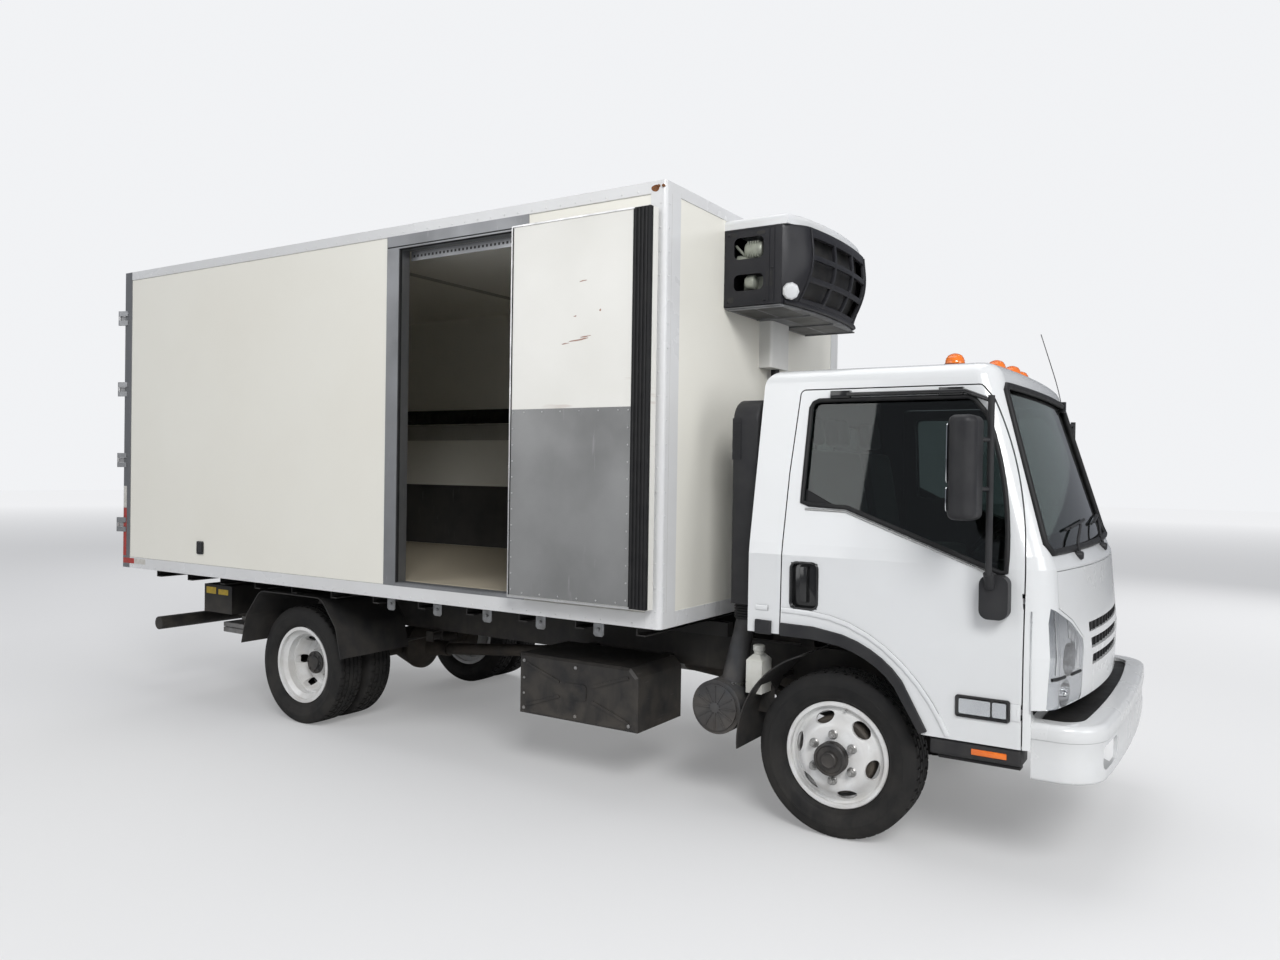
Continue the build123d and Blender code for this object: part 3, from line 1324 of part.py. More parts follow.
# Louvred nose: rows of slots parted by upright ribs, all in one moulding
rib_pitch = 94.0
ribs_across = 10
slot_height = 44.0
slot_pitch = (unit_cover_z - unit_bottom - 50) / grille_slots
with BuildPart() as unit_grille:
    add(unit_nose(0))
    add(unit_nose(grille_depth), mode=Mode.SUBTRACT)
    with BuildSketch(Plane.YZ.offset(unit_back + unit_side_depth + 5)):
        with Locations((0, (unit_bottom + unit_cover_z) / 2)):
            with GridLocations(rib_pitch, slot_pitch, ribs_across, grille_slots):
                Rectangle(rib_pitch - 10, slot_height)
    extrude(amount=unit_front_top, mode=Mode.SUBTRACT)
unit_grille.part.label = "unit_grille"
export_step(unit_grille.part, "parts/unit_grille.step")

with BuildPart() as unit_cover:
    with BuildSketch(Plane.XY.offset(unit_cover_z)):
        add(unit_plan(unit_front_top - 30, 0))
        with Locations((unit_back + (unit_side_depth - 30) / 2, 0)):
            Rectangle(unit_side_depth - 30, 2 * unit_half_width)
    extrude(amount=unit_top - unit_cover_z)
    cover_edges = unit_cover.faces().sort_by(Axis.Z)[-1].edges()
    fillet(cover_edges.filter_by(lambda e: e.center().X > unit_back + 1), 30)
unit_cover.part.label = "unit_cover"
export_step(unit_cover.part, "parts/unit_cover.step")

# Condenser and compressor behind the nose, on one base tray
tray_z = unit_bottom + unit_plate
with BuildPart() as condenser:
    block(unit_back + 40, unit_back + 345, -450, 450, tray_z, tray_z + 50)
    block(unit_back + 305, unit_back + 345, -540, 540, tray_z, unit_cover_z - 60)
    rod((unit_back + 160, -430, unit_bottom + 190), (unit_back + 160, -180, unit_bottom + 190), 90)
    block(unit_back + 100, unit_back + 220, -420, -190, tray_z + 40, unit_bottom + 140)
    block(unit_back + 60, unit_back + 280, 60, 420, tray_z + 40, unit_bottom + 340)
condenser.part.label = "condenser"
export_step(condenser.part, "parts/condenser.step")

# Evaporator: a housing under the ceiling on the inside of the front wall
with BuildPart() as evaporator:
    with BuildSketch(Plane.XZ.offset(-500)):
        with BuildLine():
            Polyline((inner_front, ceiling), (inner_front, 2760), (inner_front - 120, 2740),
                     (inner_front - 420, 2940),
                     (inner_front - 440, ceiling), close=True)
        make_face()
    extrude(amount=1000)
    for y in (-250, 250):
        rod((inner_front - 460, y, 2880), (inner_front - 240, y, 2990), 120, Mode.SUBTRACT)
evaporator.part.label = "evaporator"
export_step(evaporator.part, "parts/evaporator.step")

# Conduit cover below the unit, and the hose that runs from it down the wall behind the cab
hose_x = box_front_x + 40
with BuildPart() as unit_conduit:
    block(wall_front_x, box_front_x + 80, -100, 160, conduit_bottom, unit_bottom)
    fillet(unit_conduit.edges().filter_by(Axis.Z).group_by(Axis.X)[-1], 20)
    rod((hose_x, 40, box_bottom + 10), (hose_x, 40, conduit_bottom + 5), 26)
    block(box_front_x, hose_x, 20, 60, box_bottom + 20, box_bottom + 50)
    for z in (1500, 2000):
        block(wall_front_x, hose_x, 20, 60, z - 12, z + 12)
unit_conduit.part.label = "unit_conduit"
export_step(unit_conduit.part, "parts/unit_conduit.step")

# Lift at the back: hangers from the rails, a cross tube, the pump box and the round guard bar
hanger_y = rail_half_width + 7
hanger_top = rail_top - 10


def hanger(side, x, top_half, low_half, low_z):
    """A flat plate against the outside of a rail, narrower at its foot."""
    with BuildPart() as plate:
        with BuildSketch(Plane.XZ.offset(-side * hanger_y)):
            with BuildLine():
                Polyline((x - top_half, hanger_top), (x + top_half, hanger_top), (x + low_half, low_z),
                         (x - low_half, low_z), close=True)
            make_face()
        extrude(amount=7, both=True)
    return plate.part


with BuildPart() as lift_frame:
    for side in (1, -1):
        add(hanger(side, lift_x, 120, 60, lift_z - 60))
        add(hanger(side, guard_x, 60, 40, guard_z))
        rod((lift_x, side * hanger_y, lift_z), (lift_x, side * (lift_arm_y + 30), lift_z), lift_pin)
    rod((lift_x, -rail_half_width, lift_z), (lift_x, rail_half_width, lift_z), 45)
    rod((guard_x, -1085, guard_z), (guard_x, 1085, guard_z), guard_radius)
    block(lift_x - 300, lift_x + 40, -930, -620, 650, 860)
    block(lift_x - 60, lift_x, -640, -rail_half_width, 740, 800)
lift_frame.part.label = "lift_frame"
export_step(lift_frame.part, "parts/lift_frame.step")

# Lift arms: two flat arms from the pivot back to a cross tube, standing level as they park
arm_end_x = lift_x - arm_length
with BuildPart() as lift_arms:
    for side in (1, -1):
        with BuildSketch(Plane.XZ.offset(-side * lift_arm_y)):
            with Locations((lift_x - arm_length / 2, lift_z)):
                SlotOverall(arm_length + arm_depth, arm_depth)
        extrude(amount=arm_thickness / 2, both=True)
        rod((lift_x, side * 400, lift_z), (lift_x, side * 600, lift_z), lift_pin + running_gap,
            Mode.SUBTRACT)
    rod((arm_end_x, -lift_arm_y - 40, lift_z), (arm_end_x, lift_arm_y + 40, lift_z), 20)
lift_arms.part.label = "lift_arms"
export_step(lift_arms.part, "parts/lift_arms.step")

# Platform: two leaves folded flat on each other under the arms, on lugs round the cross tube
with BuildPart() as lift_platform:
    block(arm_end_x - 60, arm_end_x + 430, -600, 600, platform_top - 34, platform_top)
    block(arm_end_x - 60, arm_end_x + 430, -600, 600, platform_top - 78, platform_top - 40)
    block(arm_end_x - 60, arm_end_x - 20, -560, 560, platform_top - 45, platform_top - 30)
    for side in (1, -1):
        block(arm_end_x - 30, arm_end_x + 30, side * 430, side * 455, platform_top - 1, lift_z)
        rod((arm_end_x, side * 430, lift_z), (arm_end_x, side * 455, lift_z), 34)
        rod((arm_end_x, side * 420, lift_z), (arm_end_x, side * 462, lift_z), 20 + running_gap,
            Mode.SUBTRACT)
lift_platform.part.label = "lift_platform"
export_step(lift_platform.part, "parts/lift_platform.step")
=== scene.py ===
from math import atan2, cos, dist, exp, pi, radians, sin, tau

import bmesh
import bpy
from mathutils import Matrix, Vector


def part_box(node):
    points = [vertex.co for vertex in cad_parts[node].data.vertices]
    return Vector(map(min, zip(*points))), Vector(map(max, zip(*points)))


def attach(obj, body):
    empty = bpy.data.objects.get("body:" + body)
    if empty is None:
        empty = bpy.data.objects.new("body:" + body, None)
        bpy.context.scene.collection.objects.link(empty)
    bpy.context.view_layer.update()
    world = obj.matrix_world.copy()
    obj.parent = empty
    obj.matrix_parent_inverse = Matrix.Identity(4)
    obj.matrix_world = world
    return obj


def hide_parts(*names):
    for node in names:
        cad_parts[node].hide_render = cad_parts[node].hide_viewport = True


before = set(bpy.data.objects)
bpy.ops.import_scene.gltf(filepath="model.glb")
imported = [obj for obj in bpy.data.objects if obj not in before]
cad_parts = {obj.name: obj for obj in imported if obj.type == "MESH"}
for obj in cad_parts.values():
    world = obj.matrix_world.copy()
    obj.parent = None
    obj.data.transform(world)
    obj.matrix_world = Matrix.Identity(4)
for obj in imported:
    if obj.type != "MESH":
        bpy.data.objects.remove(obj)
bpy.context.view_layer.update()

# View, floor and light
# The camera stands where the photographer stood, off the truck's right front corner at eye
# height. The truck stands on a pale seamless studio floor under large soft lamps.
AXLE = 2.275                     # front axle, metres ahead of the middle of the length

yaw, pitch, roll = (radians(a) for a in (122.3583, -0.5308, 0.8655))
look = Vector((cos(yaw) * cos(pitch), sin(yaw) * cos(pitch), sin(pitch)))
level_right = Vector((sin(yaw), -cos(yaw), 0))
level_up = level_right.cross(look)
right = level_right * cos(roll) + level_up * sin(roll)
up = -level_right * sin(roll) + level_up * cos(roll)
bpy.ops.object.camera_add(location=(AXLE + 1.6695, -5.3722, 1.7749))
camera = bpy.context.object
camera.matrix_world = Matrix.Translation(camera.location) @ Matrix((right, up, -look)).transposed().to_4x4()
camera.data.sensor_width = 36
camera.data.lens = 958.38 / 1280 * 36
camera.data.clip_end = 200
bpy.context.scene.camera = camera
bpy.context.scene.view_settings.view_transform = "Standard"


def wired(tree, kind, given=None, **settings):
    """A node in a tree, with settings, and inputs given as sockets to link or as values."""
    node = tree.nodes.new("ShaderNode" + kind)
    for key, value in settings.items():
        setattr(node, key, value)
    for key, value in (given or {}).items():
        if isinstance(value, bpy.types.NodeSocket):
            tree.links.new(value, node.inputs[key])
        else:
            node.inputs[key].default_value = value
    return node


def pale_surface(name, colour, seen, seen_far, near, far):
    """A matt studio surface that lights the truck plainly and shows paler to the camera further away."""
    made = bpy.data.materials.new(name)
    made.use_nodes = True
    tree = made.node_tree
    matt = tree.nodes["Principled BSDF"]
    matt.inputs["Base Color"].default_value = (*colour, 1)
    matt.inputs["Roughness"].default_value = 0.9
    place = wired(tree, "TexCoord")
    apart = wired(tree, "VectorMath", {0: place.outputs["Object"]}, operation="LENGTH")
    fade = wired(
        tree, "MapRange", {"Value": apart.outputs["Value"], "From Min": near, "From Max": far, "To Min": seen,
        "To Max": seen_far})
    glow = wired(tree, "Emission", {"Color": (1, 1, 1, 1), "Strength": fade.outputs[0]})
    both = wired(tree, "AddShader", {0: matt.outputs[0], 1: glow.outputs[0]})
    seen_by_camera(tree, matt.outputs[0], both.outputs[0], "Material Output")
    return made


def seen_by_camera(tree, lighting, seen, last):
    """Light rays meet one shader of a tree and the camera sees the other."""
    path = wired(tree, "LightPath")
    mix = wired(tree, "MixShader", {0: path.outputs["Is Camera Ray"], 1: lighting, 2: seen})
    tree.links.new(mix.outputs[0], tree.nodes[last].inputs["Surface"])


bpy.ops.object.select_all(action="DESELECT")
bpy.ops.mesh.primitive_plane_add(size=120, location=(0, 0, 0))
floor = bpy.context.object
floor.name = "studio_floor"
floor.data.materials.append(pale_surface("studio floor", (0.6, 0.6, 0.6), 0.2, 0.72, 6.0, 40.0))

world = bpy.data.worlds.new("studio")
bpy.context.scene.world = world
world.use_nodes = True
sky = world.node_tree.nodes["Background"]
sky.inputs["Color"].default_value = (0.86, 0.9, 1.0, 1)
sky.inputs["Strength"].default_value = 0.26
sky_seen = wired(world.node_tree, "Background", {"Color": (0.93, 0.94, 0.96, 1), "Strength": 0.95})
seen_by_camera(world.node_tree, sky.outputs[0], sky_seen.outputs[0], "World Output")

# Lamps: name, place, size, power, aimed at, and whether gloss shows them
for lamp_name, place, size, power, aim, in_gloss in (
    ("key", (9.0, -9.5, 9.0), 5.0, 1200, (0.6, 0, 1.4), True),
    ("fill", (-6.0, -12.0, 6.0), 8.0, 420, (-1.0, 0, 1.4), True),
    ("nose", (15.0, -3.0, 5.0), 6.0, 420, (3.0, 0, 1.2), True),
    ("top", (0.0, 1.0, 11.0), 9.0, 420, (0, 0, 0), True),
    ("back", (-8.0, 9.0, 7.0), 7.0, 420, (0, 0, 1.4), False),
    ("far_side", (6.0, 10.0, 6.0), 7.0, 300, (1, 0, 1.2), False),
):
    bpy.ops.object.light_add(type="AREA", location=place)
    lamp = bpy.context.object
    lamp.name = "studio_" + lamp_name
    lamp.data.size = size
    lamp.data.energy = power
    lamp.visible_glossy = in_gloss
    lamp.rotation_euler = (Vector(aim) - Vector(place)).to_track_quat("-Z", "Y").to_euler()

# Chassis frame
# Two pressed steel channels with cross members, sprayed black after riveting. Road dust lies on
# the upper faces and a little rust starts at the edges and rivets.


def effect_group(name, inputs, outputs=(("Colour", "Color"), ("Mask", "Float"))):
    """An empty shader group with named inputs and outputs, with its input and output nodes."""
    tree = bpy.data.node_groups.new(name, "ShaderNodeTree")
    for label, kind, value in inputs:
        socket = tree.interface.new_socket(label, in_out="INPUT", socket_type="NodeSocket" + kind)
        socket.default_value = value
    for label, kind in outputs:
        tree.interface.new_socket(label, in_out="OUTPUT", socket_type="NodeSocket" + kind)
    return tree, tree.nodes.new("NodeGroupInput"), tree.nodes.new("NodeGroupOutput")


def object_place(tree):
    """Places on the piece itself, in metres."""
    return wired(tree, "TexCoord").outputs["Object"]


def blotch_mask(tree, scale, detail, low, high, stretch=(1, 1, 1)):
    """A noise in object space, squeezed between two levels to give a 0 to 1 mask."""
    turn = wired(tree, "Mapping", {"Vector": object_place(tree), "Scale": stretch})
    noise = wired(tree, "TexNoise", {"Vector": turn.outputs[0], "Scale": scale, "Detail": detail})
    return wired(tree, "MapRange", {"Value": noise.outputs["Fac"], "From Min": low, "From Max": high})


def blended(tree, factor, first, second):
    """Two colours mixed by a factor."""
    return wired(tree, "MixRGB", {"Fac": factor, "Color1": first, "Color2": second}).outputs[0]


def multiplied(tree, first, second):
    """Two values multiplied and kept within 0 to 1."""
    return wired(tree, "Math", {0: first, 1: second}, operation="MULTIPLY", use_clamp=True).outputs[0]


def laid_over(tree, given, sent, mask, second):
    """Sends out the colour given, covered by a second one where the mask is, and the mask."""
    tree.links.new(blended(tree, mask, given.outputs["Colour"], second), sent.inputs["Colour"])
    tree.links.new(mask, sent.inputs["Mask"])


# Cloudy colour: two colours drift into each other over the surface
cloudy, cloudy_in, cloudy_out = effect_group(
    "Cloudy colour",
    (("Colour", "Color", (1, 1, 1, 1)), ("Second", "Color", (1, 1, 1, 1)), ("Scale", "Float", 4.0)),
)
cloud = blotch_mask(cloudy, cloudy_in.outputs["Scale"], 6.0, 0.34, 0.68)
laid_over(cloudy, cloudy_in, cloudy_out, cloud.outputs[0], cloudy_in.outputs["Second"])

# Road grime: dirt that is thickest at Low and fades out at High, with ragged edges and runs
grime, grime_in, grime_out = effect_group(
    "Road grime",
    (("Colour", "Color", (1, 1, 1, 1)), ("Dirt", "Color", (0.2, 0.17, 0.13, 1)), ("Amount", "Float", 0.5),
     ("Low", "Float", 0.0), ("High", "Float", 1.0)),
)
grime_height = wired(grime, "SeparateXYZ", {0: object_place(grime)})
grime_rise = wired(
    grime, "MapRange", {"Value": grime_height.outputs["Z"], "From Min": grime_in.outputs["High"],
    "From Max": grime_in.outputs["Low"]})
grime_ragged = blotch_mask(grime, 9.0, 8.0, 0.35, 0.62)
grime_runs = blotch_mask(grime, 14.0, 4.0, 0.4, 0.7, (1, 1, 0.08))
grime_both = wired(grime, "Math", {0: grime_ragged.outputs[0], 1: grime_runs.outputs[0]}, operation="MAXIMUM")
grime_mask = multiplied(
    grime, multiplied(grime, grime_rise.outputs[0], grime_both.outputs[0]), grime_in.outputs["Amount"])
laid_over(grime, grime_in, grime_out, grime_mask, grime_in.outputs["Dirt"])

# Rust: small brown blooms, dense where Amount is high
rust, rust_in, rust_out = effect_group(
    "Rust blooms",
    (("Colour", "Color", (1, 1, 1, 1)), ("Amount", "Float", 0.3), ("Scale", "Float", 18.0)),
)
rust_level = wired(rust, "MapRange", {"Value": rust_in.outputs["Amount"], "To Min": 0.8, "To Max": 0.4})
rust_noise = wired(
    rust, "TexNoise", {"Vector": object_place(rust), "Scale": rust_in.outputs["Scale"], "Detail": 9.0,
    "Roughness": 0.68})
rust_over = wired(
    rust, "Math", {0: rust_noise.outputs["Fac"], 1: rust_level.outputs[0]}, operation="SUBTRACT")
rust_mask = wired(rust, "Math", {0: rust_over.outputs[0], 1: 14.0}, operation="MULTIPLY", use_clamp=True)
rust_tone = blotch_mask(rust, 60.0, 4.0, 0.35, 0.65)
rust_brown = blended(rust, rust_tone.outputs[0], (0.16, 0.055, 0.02, 1), (0.33, 0.13, 0.04, 1))
laid_over(rust, rust_in, rust_out, rust_mask.outputs[0], rust_brown)

# Scratches: fine lines, long along one direction
scratches, scratch_in, scratch_out = effect_group(
    "Fine scratches",
    (("Colour", "Color", (1, 1, 1, 1)), ("Scratch", "Color", (0.5, 0.5, 0.5, 1)), ("Amount", "Float", 0.3),
     ("Scale", "Float", 8.0), ("Stretch", "Vector", (1, 1, 12))),
)
scratch_turn = wired(
    scratches, "Mapping", {"Vector": object_place(scratches), "Scale": scratch_in.outputs["Stretch"],
    "Rotation": (0.15, 0.3, 0.1)})
scratch_noise = wired(
    scratches, "TexNoise", {"Vector": scratch_turn.outputs[0], "Scale": scratch_in.outputs["Scale"],
    "Detail": 3.0})
scratch_line = wired(
    scratches, "MapRange", {"Value": scratch_noise.outputs["Fac"], "From Min": 0.66, "From Max": 0.72})
scratch_zone = blotch_mask(scratches, 2.2, 3.0, 0.42, 0.62)
scratch_mask = multiplied(
    scratches, multiplied(scratches, scratch_line.outputs[0], scratch_zone.outputs[0]),
    scratch_in.outputs["Amount"])
laid_over(scratches, scratch_in, scratch_out, scratch_mask, scratch_in.outputs["Scratch"])

# Surface relief: soft waves and a fine grain, as a normal
relief, relief_in, relief_out = effect_group(
    "Surface relief", (("Wave Scale", "Float", 3.0), ("Wave", "Float", 0.1), ("Grain Scale", "Float", 400.0),
    ("Grain", "Float", 0.1), ("Depth", "Float", 0.001)), (("Normal", "Vector"),))
relief_place = object_place(relief)
relief_wave = wired(
    relief, "TexNoise", {"Vector": relief_place, "Scale": relief_in.outputs["Wave Scale"], "Detail": 3.0})
relief_grain = wired(
    relief, "TexNoise", {"Vector": relief_place, "Scale": relief_in.outputs["Grain Scale"], "Detail": 2.0})
relief_first = wired(
    relief, "Bump", {"Height": relief_wave.outputs["Fac"], "Strength": relief_in.outputs["Wave"],
    "Distance": relief_in.outputs["Depth"]})
relief_second = wired(
    relief, "Bump", {"Height": relief_grain.outputs["Fac"], "Strength": relief_in.outputs["Grain"],
    "Distance": 0.0006, "Normal": relief_first.outputs[0]})
relief.links.new(relief_second.outputs[0], relief_out.inputs["Normal"])


def finish_of(
        name, colour, second=None, rough=(0.45, 0.55), metal=0.0, coat=0.0, clouds=4.0, dirt=None, rusty=None,
        scratched=None, wave=None, shine=0.5):
    """A material built from the shared effects. dirt is (colour, amount, low, high), rusty is (amount,
    scale), scratched is (colour, amount, scale, stretch) and wave is (wave scale, wave, grain scale,
    grain, depth)."""
    made = bpy.data.materials.new(name)
    made.use_nodes = True
    tree = made.node_tree
    shader = tree.nodes["Principled BSDF"]
    for key, value in (
            ("Metallic", metal), ("Coat Weight", coat), ("Coat Roughness", 0.06),
            ("Specular IOR Level", shine)):
        shader.inputs[key].default_value = value
    second = second or tuple(c * 0.9 for c in colour)
    last = wired(
        tree, "Group", {"Colour": (*colour, 1), "Second": (*second, 1), "Scale": clouds}, node_tree=cloudy)
    roughness = wired(
        tree, "MapRange", {"Value": last.outputs["Mask"], "To Min": rough[0], "To Max": rough[1]})
    roughness = roughness.outputs[0]
    steps = []
    if scratched:
        steps.append(
            (scratches, {"Scratch": (*scratched[0], 1), "Amount": scratched[1], "Scale": scratched[2],
            "Stretch": scratched[3]}, None))
    if dirt:
        steps.append(
            (grime, {"Dirt": (*dirt[0], 1), "Amount": dirt[1], "Low": dirt[2], "High": dirt[3]}, 0.9))
    if rusty:
        steps.append((rust, {"Amount": rusty[0], "Scale": rusty[1]}, 0.92))
    for group, values, matt in steps:
        last = wired(tree, "Group", {**values, "Colour": last.outputs["Colour"]}, node_tree=group)
        if matt:
            mixed = wired(
                tree, "MapRange", {"Value": last.outputs["Mask"], "To Min": roughness, "To Max": matt})
            roughness = mixed.outputs[0]
    tree.links.new(last.outputs["Colour"], shader.inputs["Base Color"])
    tree.links.new(roughness, shader.inputs["Roughness"])
    if wave:
        values = dict(zip(("Wave Scale", "Wave", "Grain Scale", "Grain", "Depth"), wave))
        bumps = wired(tree, "Group", values, node_tree=relief)
        tree.links.new(bumps.outputs["Normal"], shader.inputs["Normal"])
    return made


def paint(material, *names):
    """Gives CAD nodes their finish."""
    for name in names:
        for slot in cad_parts[name].material_slots:
            slot.material = material


ROAD_DUST = (0.2, 0.17, 0.135)
chassis_paint = finish_of(
    "chassis black", (0.018, 0.018, 0.019), (0.035, 0.033, 0.03), (0.42, 0.6), clouds=5,
    dirt=(ROAD_DUST, 0.25, 0.3, 1.0), rusty=(0.12, 14), wave=(20, 0.1, 300, 0.15, 0.001), shine=0.25)
paint(
    chassis_paint, "chassis_frame", "leaf_springs", "left_knuckle", "right_knuckle", "tie_rod", "lift_frame",
    "lift_arms")

# Axles, drive line and engine
# Forged and cast steel parts with a thin black coat, oily and dusty. The engine is one plain
# cast block with its gearbox, mostly hidden under the cab.
cast_iron = finish_of(
    "cast iron, oily", (0.035, 0.032, 0.03), (0.06, 0.05, 0.04), (0.5, 0.7), metal=0.3, clouds=7,
    dirt=(ROAD_DUST, 0.4, 0.3, 0.9), rusty=(0.26, 9), wave=(40, 0.3, 220, 0.4, 0.002))
paint(cast_iron, "front_axle", "rear_axle", "driveshaft", "engine")
core_metal = finish_of(
    "radiator core", (0.16, 0.16, 0.165), (0.08, 0.08, 0.08), (0.45, 0.6), metal=0.8, clouds=12,
    dirt=(ROAD_DUST, 0.5, 0.5, 1.0), wave=(3, 0.05, 900, 0.5, 0.001))
paint(core_metal, "radiator")

# Tyres
# Highway tyres with five ribs, notched shoulders and a rubbing rib on the sidewall. Moulded
# black rubber, greyed by dust on the tread and sidewall.
tyre_rubber = finish_of(
    "tyre rubber", (0.012, 0.012, 0.0125), (0.02, 0.0195, 0.019), (0.55, 0.75), clouds=6,
    dirt=((0.16, 0.145, 0.125), 0.12, 0.1, 0.95), wave=(30, 0.08, 500, 0.25, 0.001), shine=0.2)


def alone(obj):
    """Selects one object and nothing else."""
    bpy.ops.object.select_all(action="DESELECT")
    obj.select_set(True)
    bpy.context.view_layer.objects.active = obj


def opened(obj):
    """Puts one object in edit mode with nothing selected, and gives its mesh."""
    alone(obj)
    bpy.ops.object.mode_set(mode="EDIT")
    bpy.ops.mesh.select_mode(type="FACE")
    bpy.ops.mesh.select_all(action="DESELECT")
    return bmesh.from_edit_mesh(obj.data)


def closed():
    """Leaves edit mode."""
    bpy.ops.object.mode_set(mode="OBJECT")


def begun(name, primitive, **settings):
    """A new primitive under a name, with nothing else selected."""
    bpy.ops.object.select_all(action="DESELECT")
    primitive(**settings)
    bpy.context.object.name = name
    return bpy.context.object


def faced_out(obj, merge=0.0):
    """Merges a piece's doubled vertices where asked, and turns its faces outwards."""
    opened(obj)
    bpy.ops.mesh.select_all(action="SELECT")
    if merge:
        bpy.ops.mesh.remove_doubles(threshold=merge)
    bpy.ops.mesh.normals_make_consistent(inside=False)
    closed()


def fixed(obj):
    """Puts a piece's place, turn and scale into its mesh."""
    alone(obj)
    bpy.ops.object.transform_apply(location=True, rotation=True, scale=True)


def applied(obj, kind, **settings):
    """One modifier with its settings, applied at once."""
    alone(obj)
    change = obj.modifiers.new(kind.lower(), kind)
    for key, value in settings.items():
        setattr(change, key, value)
    bpy.ops.object.modifier_apply(modifier=change.name)
    return obj


def pick_faces(obj, wanted):
    """Selects, in edit mode, the faces for which wanted(centre, normal) holds."""
    mesh = bmesh.from_edit_mesh(obj.data)
    for face in mesh.faces:
        face.select = bool(wanted(face.calc_center_median(), face.normal))
    mesh.select_flush_mode()
    bmesh.update_edit_mesh(obj.data)


def settled(obj, material, body, smooth=32, bevel=0.0, segments=2):
    """Finishes a piece: its edges broken, its place in its mesh, its material and the body it rides on."""
    fixed(obj)
    if bevel:
        applied(obj, "BEVEL", width=bevel, segments=segments, limit_method="ANGLE", angle_limit=radians(35),
                harden_normals=False)
    bpy.ops.object.shade_smooth_by_angle(angle=radians(smooth))
    obj.data.materials.clear()
    obj.data.materials.append(material)
    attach(obj, body)
    return obj


def turned(name, profile, centre, axis="Y", steps=96):
    """A body of revolution: a ring of vertices is laid on the profile (radius, along) and spun."""
    obj = begun(name, bpy.ops.mesh.primitive_circle_add, vertices=len(profile), radius=1, location=(0, 0, 0))
    mesh = bmesh.new()
    mesh.from_mesh(obj.data)
    mesh.verts.ensure_lookup_table()
    for vertex, (radius, along) in zip(mesh.verts, profile):
        vertex.co = {"X": (along, 0, radius), "Y": (0, along, radius), "Z": (radius, 0, along)}[axis]
    mesh.to_mesh(obj.data)
    mesh.free()
    opened(obj)
    bpy.ops.mesh.select_all(action="SELECT")
    turn_axis = {"X": (1, 0, 0), "Y": (0, 1, 0), "Z": (0, 0, 1)}[axis]
    bpy.ops.mesh.spin(steps=steps, angle=tau, center=(0, 0, 0), axis=turn_axis)
    closed()
    faced_out(obj, 0.00005)
    obj.location = centre
    return obj


def joined(name, pieces):
    """Several new pieces made into one."""
    bpy.ops.object.select_all(action="DESELECT")
    for piece in pieces:
        piece.select_set(True)
    bpy.context.view_layer.objects.active = pieces[0]
    if len(pieces) > 1:
        bpy.ops.object.join()
    pieces[0].name = name
    return pieces[0]


tyre_half = [
    (0.2492, 0.0756), (0.2632, 0.0762), (0.27, 0.086), (0.279, 0.095), (0.28, 0.0962), (0.2822, 0.0966),
    (0.2836, 0.0985), (0.3, 0.1062), (0.318, 0.1108), (0.3345, 0.112), (0.336, 0.1127), (0.342, 0.1127),
    (0.3438, 0.1108), (0.356, 0.1088), (0.37, 0.1048), (0.382, 0.0996), (0.3905, 0.0946), (0.3985, 0.0886),
    (0.402, 0.083), (0.4034, 0.079), (0.404, 0.0585), (0.3945, 0.0562), (0.3945, 0.0508), (0.4045, 0.0486),
    (0.4048, 0.0218), (0.395, 0.0198), (0.395, 0.0146), (0.405, 0.0126)]
tyre_profile = tyre_half + [(radius, -along) for radius, along in reversed(tyre_half)]


HUB_HEIGHT = 0.405
REAR_AXLE = AXLE - 3.81
FRONT_TREAD = 0.8325            # middle of the front tyre from the truck's middle plane
REAR_TREADS = (0.955, 0.695)    # middles of the outer and the inner rear tyre from the same plane
SIDES = (("left", 1), ("right", -1))
TYRE_STEPS = 192


def tyre(name, centre):
    """One tyre, with notches cut across its shoulder ribs and sipes in its inner ribs."""
    made = turned(name, tyre_profile, centre, steps=TYRE_STEPS)
    opened(made)
    turn_step = tau / TYRE_STEPS

    def column(place):
        return int(round(atan2(place.z, place.x) / turn_step * 2 - 1)) // 2 % TYRE_STEPS

    pick_faces(
        made, lambda place, out: column(place) % 4 == 0 and place.xz.length > 0.396 and abs(place.y) > 0.0585)
    bpy.ops.mesh.extrude_region_shrink_fatten(TRANSFORM_OT_shrink_fatten={"value": -0.006})
    pick_faces(
        made, lambda place, out: column(place) % 4 == 2 and place.xz.length > 0.4035
        and 0.024 < abs(place.y) < 0.046)
    bpy.ops.mesh.extrude_region_shrink_fatten(TRANSFORM_OT_shrink_fatten={"value": -0.005})
    closed()
    return made


for side_name, side in SIDES:
    front = tyre(f"front_{side_name}_tyre_tread", (AXLE, side * FRONT_TREAD, HUB_HEIGHT))
    settled(front, tyre_rubber, f"front_{side_name}_wheel")
    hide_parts(f"front_{side_name}_tyre")
    pair = joined(
        f"rear_{side_name}_tyres_tread",
        [tyre("tyre", (REAR_AXLE, side * tread, HUB_HEIGHT)) for tread in REAR_TREADS])
    settled(pair, tyre_rubber, f"rear_{side_name}_wheels")
    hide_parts(f"rear_{side_name}_tyres")

# Wheels
# Pressed steel disc wheels, enamelled white, with brake dust in the corners. The front ones are shown
# dished side out: a rolled rim, a disc with six oval hand holes, and the cast brake drum behind it.


